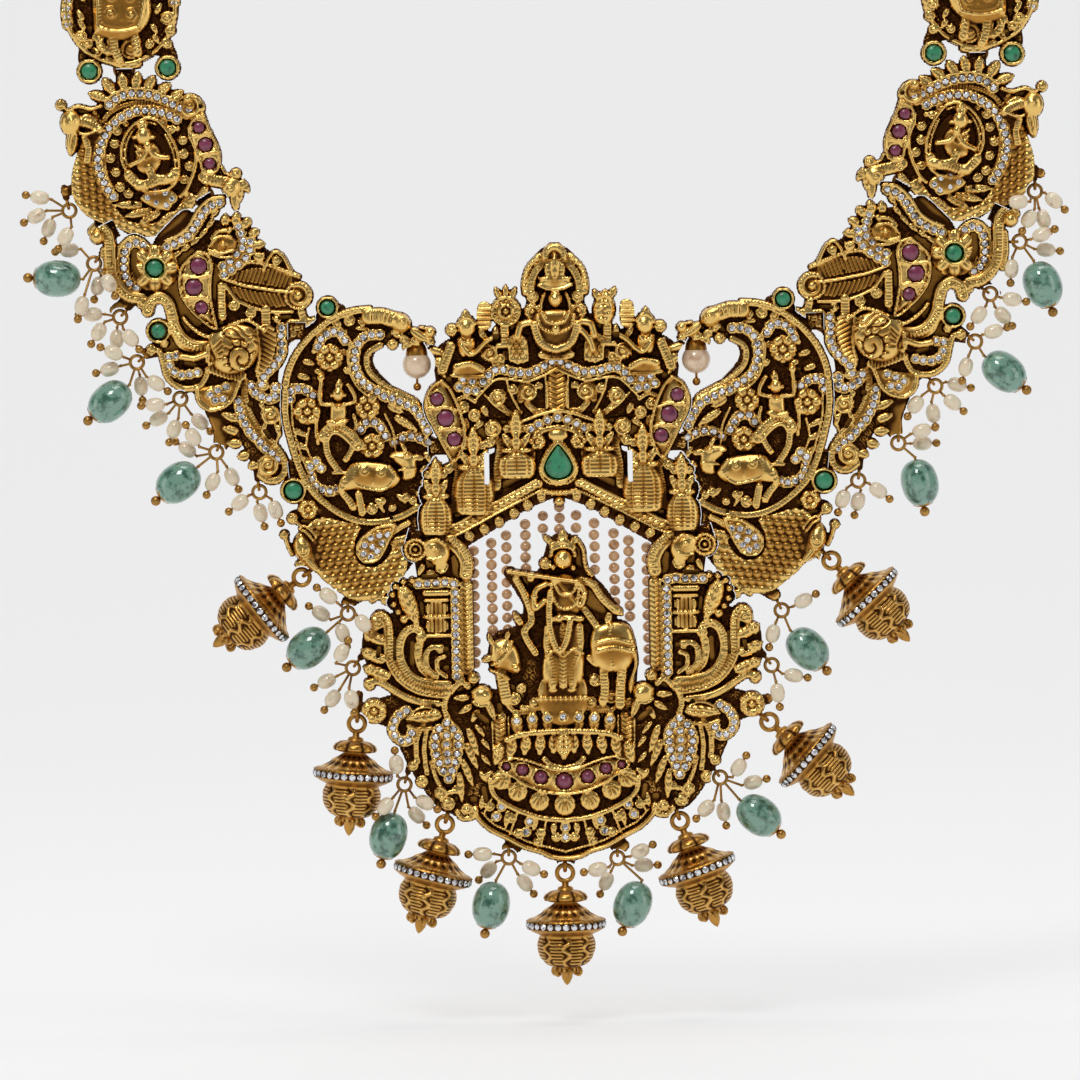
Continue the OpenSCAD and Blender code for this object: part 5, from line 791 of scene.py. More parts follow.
# The next link: flower, wing, elephant's head, lion's head and feather
ELEPHANT = """
base 0 -68,42 -61,45 -54,41 -47,36 -45,30 -47,24 -50,17 -50.5,3 -54,0 -57,5 -58,10 -63,12 -68,17 -67,24
  -63,27 -60,36
flat 3.2,0,0.3 -66,45 -70,41 -71.75,36.45 -74,32 -77,35 -78.5,38
flat 2.4,0,0.3 -62,10.8 -60.6,7.2 -60.6,4.6
flat 2.6,0,0.9 -49,24.4 -46.5,24.4
flat 1.8,0,0.4 -79,29 -76.5,31
flat 1.6,0,0.4 -74.6,21 -72,21.4
round 0.6,1.5,0.45 -59.1,49 -60.9,48.9 -62.4,48.2 -63.6,47 -64.6,45.6 -65.4,44.2 -66.6,43 -68,42.1
  -69.8,41.4
cz 1.4 -59.9,48 -61.6,47.4 -62.8,46.2 -63.7,44.8 -64.6,43.4 -65.6,42.2 -66.8,41.4 -68.2,40.7 -69.5,40.2
leaf 1.2,0.9,0.6,3 -60.2,46.9 -61.6,45.2 -61,45.1 -62.4,43.2 -62.3,43.3 -63.8,41.6 -63.7,41.8 -65.3,40.4
  -65.4,40.5 -67.1,39.2 -67,39.4 -68.6,38.3
cz 1.1 -73.7,40.6 -75.3,41.2 -76.7,40.3 -77.2,38.6 -77.3,37 -77.2,35.8 -76.7,34.2 -75.2,33
round 0.4,1.2,0.4 -73.6,41.6 -75.5,42.3 -77.5,41.2 -78.3,38.8 -78.3,36
flower 4.3,8,1.3 -71.75,36.45
loop 2.05,0.5,1.6,0.5,0 -71.75,36.45
fall 1.52 -71.75,36.45
comb2 2.1,1.2,0.75,0.55 -82.6,43.2 -81.4,44 -80.1,42.8 -79.7,40.5 -79.6,37.5 -79.3,35 -78.2,33 -76.4,31.5
  -74.2,31.1
dome 1.25,1.25,0,1.6,1.2 -82,42.2
round 0.4,1.1,0.4 -78.2,40.6 -78.3,37.6 -77.9,34.6 -76.6,32.9 -74.8,32.2
ribs 1,0.9,0.5,0.5 -80.9,40 -81,36.4 -80.4,33.6
fill 1.3,1.1 -61.9,40.2 -60.6,42.4 -58.4,42.7 -56.7,41.2 -57.2,39 -59.6,38 -61.8,38.6
dome 0.75,0.75,0,2.4,0.6 -59.4,40.5
dome 0.35,0.35,0,3,0.4 -59.4,40.5
round 0.5,2.2,0.5 -61.9,40.2 -60.2,41.9 -57.9,41.8
round 0.5,2.2,0.5 -62,39.6 -60,38.9 -57.6,39.4
beads 0.5,2,0.4,0.45 -61.9,39 -60,38.2 -58,38.3
rope 0.8,2,0.6,0.5 -61.4,41.6 -60.2,42.8 -58.6,43
dome 0.5,0.8,-30,2,0.7 -58.2,43
gems 1.5 -56.6,43.7 -56.2,42.4 -55.8,41.1 -54.5,40.9 -56,39.8 -54.6,39.3 -57,38.7 -55.4,38 -58.2,37.4
  -56.7,36.8 -59.5,36.6 -58,35.9 -59.3,35
leaf 1.9,1.3,0.8,3 -59,43.8 -58.8,46.1 -57.2,43.8 -56.7,46.4 -55.6,43.4 -54.6,45.4 -54.7,41.9 -52.9,43
  -53.8,40.2 -51.8,40.4 -53.9,38.4 -52,37.9
fill 1.1,0.7 -64,39.3 -67,36 -67,32 -65.3,28.8 -60.9,25.4 -61.9,29 -61.7,33 -61.4,37
round 0.5,1.7,0.55 -64,39.3 -66.6,37 -67.3,35 -67.2,32 -66,29.6 -63.8,27.2 -61,25.3 -61.4,28 -61.9,31
  -61.8,34 -61.5,37 -62.4,38.8 -64,39.3
beads 0.4,1.5,0.35,0.45 -66.4,36.2 -66.6,33 -65.6,30.2 -63.8,28.1
round 0.6,1.6,0.55 -67,35 -64.4,34.6 -61.8,35.2
round 0.6,1.6,0.55 -66.4,31 -63.9,31.2 -61.9,30.6
loop 1.64,0.35,1.3,0.4,0 -63.9,36.7 -64.8,32.9
loop 1.28,0.35,1.3,0.4,0 -63.5,29.2
fall 1.55 -63.9,36.7 -64.8,32.9
fall 1.2 -63.5,29.2
fill 0.7,0.3 -59.6,34.1 -56,36.4 -52,36.6 -46.6,34.8 -45.6,31 -47.5,28.3 -52.5,28.4 -57,30.3
hatch 1,0.5,0.72,-20 -58.4,34.3 -55,36 -51,36 -47.4,34.5 -47.4,32.4 -53.5,33.3
hatch 1,0.5,0.72,25 -58,33 -53.5,31.9 -48,31.2 -48.4,29.2 -52.5,29.3 -56.6,30.8
beads 0.9,1.3,0.5,0.8 -58.6,34.9 -56,36.7 -54,37.2 -50,36.2 -46,34.4
round 0.6,1.5,0.5 -59.2,34.2 -56,33.1 -53.5,32.6 -50,32 -47,31.7
round 0.7,1.3,0.5 -59.2,33.3 -57.4,30.7 -55,29.3 -52.5,28.5 -49.6,28.1 -47.2,28.2
curl 2.4,1.3,120,1 -46.1,31
loop 2.3,0.5,1.6,0.4,2 -46.1,31
dome 0.7,0.7,0,2,0.6 -46.1,31
round 0.7,1.3,0.6 -52.2,35.8 -51.4,37.6 -50.2,39 -48.8,38.2 -47.9,36.6 -47.3,35.4
curl 0.9,1.5,0,1 -49.9,37.4
leaf 1.2,1.3,0.7,3 -53,36.8 -52.2,39
ribs 1.6,1.2,0.7,0.6 -59.9,33 -59.9,30 -59.8,27.5
curl 1.1,1.3,0,1 -57.7,29.5
curl 1.1,1.3,180,-1 -54.6,28.1
round 0.6,1.2,0.5 -54.6,27.2 -55.6,26.8 -57,26.1
curl 0.9,1.1,90,1 -50,27
ribs 1.8,1.2,0.7,0.55 -52,28.6 -52,25.8
ribs 1.5,1.3,0.6,0.55 -45.6,28 -45,26
comb 1.8,1.4,0.6,0.6 -47.6,26 -45,26 -42.6,26.4
rope 1.4,0.9,0.5,0.6 -48.6,24.6 -46.6,24.4
comb2 2.2,1.5,0.9,0.6 -73.2,28.8 -72.6,30.4 -71,31.2 -69.5,30.2 -68.8,28 -68.4,26 -66.9,23.6 -64.6,22.4
  -62,22.4
comb 1.2,1.4,0.6,0.5 -68.9,25.4 -67.4,22.6 -64.4,21.4 -62,21.9
curl 1,1.3,0,1 -74.2,30.2
loop 1.95,0.5,1.5,0.5,0 -71.35,25.15
fall 1.42 -71.35,25.15
beads 0.8,1.9,0.5,0.75 -66.8,27.4 -65.6,26 -64,24.7 -62.4,24 -60.8,24.8 -59.2,25.5 -57.4,26.4 -55.4,26.8
  -53.8,26 -52.3,24.9
fill 1.7,1.5 -62.4,20 -62.9,23 -60.6,25.6 -57,26.4 -53.8,25.2 -53,21.4 -55,18 -58.4,17 -61,17.8
loop 2.05,0.3,3,0.35,2 -56.8,20
cut 0.35,0.5 -59.6,24.5 -59.1,25.1 -58.1,25.2 -57.2,24.6 -56.5,23.8 -55.8,23.4
cut 0.35,0.5 -59.6,24.5 -58.9,23.8 -57.9,23.5 -56.9,23.5 -55.8,23
cut 0.32,0.45 -59.8,25.2 -59,25.8 -57.6,25.8 -56.4,25 -55.6,24.2 -54.8,23.9
dome 0.4,0.3,-10,3.25,0.3 -58.3,24.3
cut 0.35,0.55 -58.8,20.2 -58.7,19 -57.9,18.1 -56.8,17.9
cut 0.35,0.55 -58.8,20.2 -58.5,21.3 -57.6,22 -56.6,22.1 -55.6,21.6 -55,20.6 -55.1,19.4 -55.9,18.7
  -56.9,18.9 -57.3,19.7 -56.9,20.4
cut 0.3,0.45 -59.7,20.6 -58.9,20.4
cut 0.3,0.45 -59.4,22 -58.4,21.5
cut 0.3,0.45 -58.2,22.9 -57.6,22.1
cut 0.3,0.45 -56.6,23.1 -56.6,22.2
cut 0.3,0.45 -55.1,22.6 -55.6,21.7
cut 0.3,0.45 -54.1,21.3 -54.9,20.8
cut 0.3,0.45 -59.6,18.9 -58.7,19.2
cut 0.3,0.45 -58.6,17.7 -58,18.2
cut 0.35,0.5 -62.2,22.4 -61.8,21.2 -61.3,20.2 -61.6,19 -62.2,18.6
cut 0.3,0.45 -61.2,22 -60,23.2
cut 0.3,0.45 -60.9,21.4 -59.9,22.4
cut 0.3,0.45 -60.8,20.8 -59.9,21.3
cut 0.3,0.45 -60.8,20 -59.9,20.1
cut 0.3,0.45 -55,25.1 -54,24.5
cut 0.3,0.45 -54.4,24.2 -53.5,23.7
cut 0.3,0.45 -54.2,23.1 -53.4,22.6
round 1.3,2,0.8 -62.9,20.9 -65,20.2 -67.3,20.5
rope 0.9,2.2,0.6,0.4 -62.4,22.3 -62.6,19.6
hatch 1.2,0.7,0.8,62 -53.6,25.2 -50.7,25.6 -50.4,21.6 -51.6,18.6 -54,16.4 -53.4,20
round 0.5,1.8,0.5 -53.7,25.3 -53.2,21 -54,17.6
cz 1.3 -49.2,25.3 -49.4,23.6 -49.3,22.2 -49.4,20.6 -50.3,19 -51.4,17.9 -52.6,16.7 -53,15.2
gems 1.1 -69.6,20.5 -68.2,20.7 -69.5,18.9 -68.6,17.7 -67.3,17.2 -65.9,17.3 -64.5,17.6
ribs 1.1,1,0.6,0.5 -72,21.8 -71.2,21.4 -70.6,19.5 -70,17 -68.5,15.4 -66.5,14.7 -64,15.3 -62.8,17.2
  -62.7,18.3
curl 0.95,1.2,0,1 -72.7,21.8
curl 0.8,1.2,180,1 -70.3,22.9
hatch 1.2,0.7,0.6,10 -63,18.2 -60.5,19 -58,17.8 -55.6,17.2 -56.6,16 -60.4,16.6
rope 0.6,1.9,0.5,0.4 -62.4,19 -60,19.6 -57.4,18.2
fill 1,0.6 -64.8,14.6 -64.4,12.2 -62.4,10.6 -59.5,11.4 -57.8,13.5 -57,16.2 -60.5,15.8
ribs 0.7,1.3,0.6,0.45 -64.6,14.6 -64.4,12.4 -62.4,10.8 -59.5,11.5 -57.9,13.4 -56.9,16
gems 1.5 -62.3,13.6 -60.9,14.3 -59.4,14.9 -61.4,12.6 -60,12.8
cz 1.1 -57.3,12.3 -57,10.6 -56.6,9.1 -55.9,7.8 -55,6.3 -53.9,5.3 -52.8,3.9 -51.6,3 -50.5,1.7
comb 1.4,0.8,0.6,0.55 -56,16 -56.1,13 -55.3,10 -53.5,7 -51.2,4.5 -49.5,2 -49.1,0 -50,-1.7 -52,-2.1 -53.6,-1
curl 2,1.1,30,1 -52.2,0.6
leaf 1.9,0.8,0.6,4 -57.4,8.9 -60.4,10.2 -57.4,6.7 -60.2,7.6 -56.9,4.6 -59.6,4.8 -55.6,2.6 -57.8,2.2 -54.2,1
  -55.8,0.2
cz 1.2 -54.9,15 -54.1,13.7 -53,13 -51.9,12.6 -50.7,12.9 -50.6,14.6
curl 1.8,1.1,0,1 -51.6,9.6
leaf 1.1,1.1,0.6,3 -53.5,12 -52.3,10.4 -50.6,8 -49.8,5.6 -52.6,8.2 -53,5.8
round 0.5,1,0.5 -49.6,14 -49.6,10 -50.2,6 -51,4
curl 1,1.1,90,1 -52.6,14.9
pierce 0.55 -75.4,39.4 -75.5,37 -74.9,35.4
pierce 0.32 -49.6,27.1 -47.8,27.2
pierce 0.28 -58.8,31.4 -58.4,30.4
pierce 0.4 -76.4,29.9
pierce 0.35 -66.6,19.2 -65,18.9
pierce 0.5 -55.2,11.6
pierce 0.35 -52.6,6.9 -51.8,5.6
pierce 0.3 -61,24.9 -60,25.2
pierce 0.35 -51.9,33.6
pierce 0.4 -60.1,26.4
"""
# The big paisley with a dancer and a resting calf, and a scaled peacock under it
PAISLEY = """
base 0 -48.6,14 -48.6,7 -46.8,0 -43,-5.6 -36,-9.6 -28,-9.4 -24,-8 -23,-2 -24.6,9 -29,14 -33,19 -30,24
  -31,28.3 -37,28.2 -43,24.8 -47.6,18.6
base 0 -47.5,-14 -44,-9.6 -36,-8.6 -27,-8 -24,-13 -27.6,-19 -32,-23.4 -37.5,-23.8 -41.4,-21 -45,-18
flat 2.6,0,0.5 -46.6,-5 -44,-6.5 -41,-9
flat 1.8,0,0.5 -47.8,-8.7 -46,-8
flat 2.6,0,0.5 -41.6,27 -39,28
flat 2.6,0,0.6 -44,24 -41,26.2
flat 2,0,0.5 -38.4,-24.4 -36,-23
comb2 1.3,1.3,0.7,0.6 -48.8,13.8 -48.8,9 -47.7,4 -46.5,0 -44.7,-3.6 -42,-6.4 -38.8,-8.6 -35.4,-9.8
  -31.5,-9.8 -28,-8.8 -25.5,-7.4
comb 1.3,1.3,0.7,0.6 -48.7,15 -48.1,17.5 -46.7,20.5 -44.4,23.4 -42,25.5 -39.5,27 -36.5,28 -33.4,28.3
round 0.4,1.4,0.4 -47.7,12 -47.6,8 -46.5,3.4 -45,-0.6 -43.6,-3.4
cz 1.5 -31.6,23.8 -33.1,23.8 -34.8,23.1 -35.8,21.8 -36.2,20.2 -36.2,18.4 -35.8,16.9 -34.9,15.4 -33.6,14.3
  -32.2,13.5 -30.8,12.6 -29.2,12.2 -27.7,11.4 -26.4,10.8 -25.4,10 -24.2,8.2 -23.4,6.4
comb 1.15,0.9,0.6,0.55 -31.6,21.9 -33.8,20.5 -34.1,18.3 -33.1,16.3 -30.5,14.2 -27.5,12.7 -25.3,11.3 -23.7,8
round 0.5,1.5,0.5 -36.8,22.6 -37.4,20.4 -37.3,18 -36.8,16.2 -35.8,14.4 -34.4,13.2 -32.6,12.3
leaf 1.9,2,0.8,0 -26,24.6 -22.8,22.3
ribs 2.9,1.7,0.9,0.8 -33.4,27 -31.2,27 -29.2,26.4
dome 2,1.7,-35,1.7,1.5 -27.9,25.8
curl 1.2,2.7,200,1 -27.6,25.9
dome 0.35,0.35,0,3.4,0.4 -27.6,26
dome 1,1,0,2,1.2 -22.6,24
round 0.5,2,0.5 -24.4,24.9 -23.4,24.8
curl 0.8,1.7,0,1 -22.6,22.2
curl 1.15,1.5,90,1 -28.4,24.1
curl 1,1.5,0,-1 -29.4,22 -25.3,22.5
curl 0.9,1.5,180,1 -27.2,22.8 -26.7,21.5
curl 1.15,1.2,0,1 -37.1,26.4
curl 0.9,1.2,180,-1 -34.6,26.2 -39.2,25.8
leaf 1,1.1,0.6,3 -36,25 -33.4,24.9 -38.4,22.8 -37.6,24.8
cz 1.3 -42.7,21.8 -42,23.4 -40.7,24.3 -39,24.4 -37.9,22.8
flower 2.5,6,1.4 -40.7,19.8 -44.9,10.2
flower 2.3,6,1.4 -34.1,10.8 -33.4,3.7
leaf 1.4,1,0.7,4 -45.6,19.4 -43.3,18.6 -46.6,16.8 -44.1,16 -47.4,7 -45,5.7 -47.2,4.6 -44.8,3.3 -46.8,2.2
  -44.4,1
leaf 1.3,1,0.7,3 -43.4,17.6 -41.6,16.8 -38.2,18 -37,16.4 -38.6,21.2 -36.8,19.8 -43.8,20.6 -42.4,22.4
cz 1.2 -48,12.4 -47.7,14.1 -46.3,14.4 -45,14 -43.8,13.1
cz 1.2 -35.4,6.8 -34.4,8.1 -32.6,7.9 -31.6,6.7 -31,5.5
round 0.5,1.1,0.5 -31,9.4 -29.6,6.4 -29.2,2.8
beads 0.6,1,0.45,0.6 -44.6,7.4 -45.2,4 -44,1
cz 1 -29.4,4.3 -27.8,5.2 -26.4,5.4 -24.8,5 -23.3,4.2
leaf 1.9,1,0.8,5 -29.2,9 -25.2,6.4 -30.4,11.2 -27.6,9.6
leaf 1.2,1,0.6,3 -24,2.6 -22.9,0.4 -24.8,-2.4 -23.4,-4.6 -25.6,-4.6 -23.9,-6.6
curl 0.9,1,0,1 -24.2,-0.8 -27.6,-5.6
curl 0.8,1,180,-1 -26.2,-6.2 -30,-7.4 -31.8,-6.2
leaf 1.1,1,0.6,3 -29,-5 -27.4,-6.8 -33,-5.6 -31.4,-8.4
cz 1.2 -44.6,-0.6 -44.1,-2.6 -42.8,-3.8 -41,-4.2 -39.8,-3.9
gems 1.4 -43.5,1.2 -42.6,0 -44.6,0.3
loop 1.75,0.5,1.5,0.5,0 -40.9,28.8
fall 1.37 -40.9,28.8
loop 2.05,0.5,1.5,0.5,0 -47.7,-4
fall 1.62 -47.7,-4
flower 1.9,6,1.2 -45.1,-7.4
dome 1.15,1.3,0,1.8,1.3 -39.3,13.2
leaf 1.6,1.9,0.8,3 -39.2,14 -39,16
dome 0.35,0.35,0,2,0.6 -40.5,13 -38.1,13
fill 1.6,0.9 -40.6,11.7 -38.1,11.8 -37.7,9.6 -38.6,8 -40.8,7.9 -41,9.6
rope 0.4,2.5,0.4,0.35 -40.3,11.6 -39.3,10.6 -38.3,11.6
round 0.85,2,0.6 -40.4,11.4 -42.3,11.6 -42.5,13.6 -42.3,15.6
dome 0.75,0.75,0,2,0.7 -42.3,16.2
round 0.85,2,0.6 -38.3,11.3 -36.4,11.9 -36.6,13.4 -37.5,14.9
rope 0.9,2.1,0.6,0.4 -41.2,8.3 -39.6,7.9 -38,8.4
comb 2.5,1.6,0.8,0.5 -41.9,5.6 -41,6.8 -39.4,7 -37.6,5.8 -36,4
ribs 1.3,1.7,0.6,0.5 -41.6,5.4 -41.5,3 -40.6,1 -39.4,-0.6
ribs 1.2,1.7,0.6,0.5 -36.4,4.6 -37.4,2.6 -38.2,1.4
round 0.8,1.7,0.6 -40.4,-0.9 -38.2,-0.9
comb 0.7,1.2,0.5,0.45 -42.9,9.6 -43.4,7.4 -43.1,4.4
comb2 0.7,1.2,0.5,0.45 -36.6,9.4 -36.2,7.4 -36.9,6
fill 1.6,1.2 -38.8,-1.4 -37,1 -33,1.1 -29.6,0.2 -28.2,-2.6 -31.4,-4.6 -36,-4.2 -39.2,-4.2
beads 0.55,2.4,0.4,0.55 -36.2,0.8 -36.8,-2.6 -34,-3.9 -31.3,-4 -29.4,-1.8 -30.4,0.2
curl 1,2.4,0,1 -34.9,-0.6
curl 0.9,2.4,180,-1 -31.8,-1
leaf 0.9,2.4,0.5,0 -33.4,-3.2 -33.2,-0.8
fill 1.9,1.2 -25.4,1.4 -27,3 -30.3,2.6 -29.6,0.8 -28.4,-0.4 -28,-2.6 -25.6,-2
dome 0.5,0.4,0,2.9,0.5 -27.2,2
round 0.4,2.6,0.4 -30.2,1.9 -29.2,1.8
leaf 1.3,2.1,0.7,0 -26,1.7 -24,1.3
leaf 0.9,2.2,0.7,0 -27.3,2.8 -28.2,4.2
rope 0.6,2.5,0.5,0.4 -28.6,-0.6 -27.2,-0.4 -25.8,-0.4
leaf 2,1.8,0.9,4 -38.2,-1.6 -39.3,-4.6
ribs 1.4,1.5,0.6,0.5 -39.2,-4.2 -38,-5.6 -37,-7.2
ribs 1.4,1.5,0.6,0.45 -36,-4.8 -35.7,-6.4 -35.4,-8.2
curl 1.1,1.3,0,1 -33.7,-7.6
scales 1,0.9,1.6,-52 -46,-12 -44.6,-9.6 -42,-9 -38,-9.9 -35.8,-10.8 -36.8,-13.6 -36.4,-16.8 -33.4,-18
  -30.6,-15.6 -29.6,-12.6 -27.6,-13.6 -27.6,-18.4 -30,-21.8 -34,-24 -37.5,-23.8 -41,-21.6 -44.4,-18
fill 1.4,1 -48.1,-14.2 -46.8,-11.2 -44.8,-12.6 -43.8,-15.6 -43.7,-18.6 -46.2,-17.6
dome 1.7,2.5,15,1.6,1.4 -46.2,-14.4
curl 1.3,2.5,30,1 -46.2,-14.8
dome 0.3,0.3,0,3.3,0.4 -46.2,-14.8
round 0.5,2.2,0.5 -46.7,-10.9 -45.4,-11.6 -44.4,-12.9
beads 0.5,2.1,0.4,0.5 -46,-10.3 -44.8,-11 -43.8,-12.4
curl 1,1.8,90,1 -48,-9
curl 0.8,1.8,180,1 -49.5,-11.9
round 0.7,1.8,0.6 -46.4,-10.4 -47.5,-9.5
round 0.7,1.8,0.6 -48.2,-15.4 -48.8,-14 -49.2,-12.6
leaf 1.5,1.8,0.9,0 -45.6,-16.2 -43.4,-18.8
curl 0.8,1.5,0,1 -46.9,-17.4
fill 1.4,0.6 -29.4,-10.4 -33,-10.9 -35.9,-13 -36.5,-15.4 -35,-17.2 -32.6,-16.6 -31,-14.2
round 0.45,1.9,0.45 -29.6,-10.4 -33,-11 -35.8,-13 -36.5,-15.2 -35.3,-17 -33,-16.8 -31.4,-14.6 -29.6,-10.4
gems 1.8 -32.4,-12.3 -33.9,-12.8 -35.1,-14 -35.3,-15.5 -34,-16.1 -32.8,-15.2 -33.7,-14.4 -31.9,-13.7
  -30.9,-12.2
comb 1.2,1.3,0.6,0.5 -30.2,-12 -28.8,-11 -27.2,-10.2
comb2 1.2,1.3,0.6,0.5 -30,-13.8 -28.4,-13 -26.9,-12.6
ribs 1.2,1.3,0.6,0.5 -29.6,-15.8 -28.4,-15.2 -27.2,-15
beads 0.8,1.4,0.5,0.6 -34,-24.2 -33,-23.6 -32,-23.4
curl 0.9,1.5,0,1 -31.5,-24
pierce 0.75 -28.4,18 -27,17.2 -25.4,16 -24.6,14.4
pierce 3.3 -25.1,18.4
pierce 0.5 -43.2,-7.9
pierce 0.35 -30.2,-9.2
pierce 0.35 -43.6,16
"""
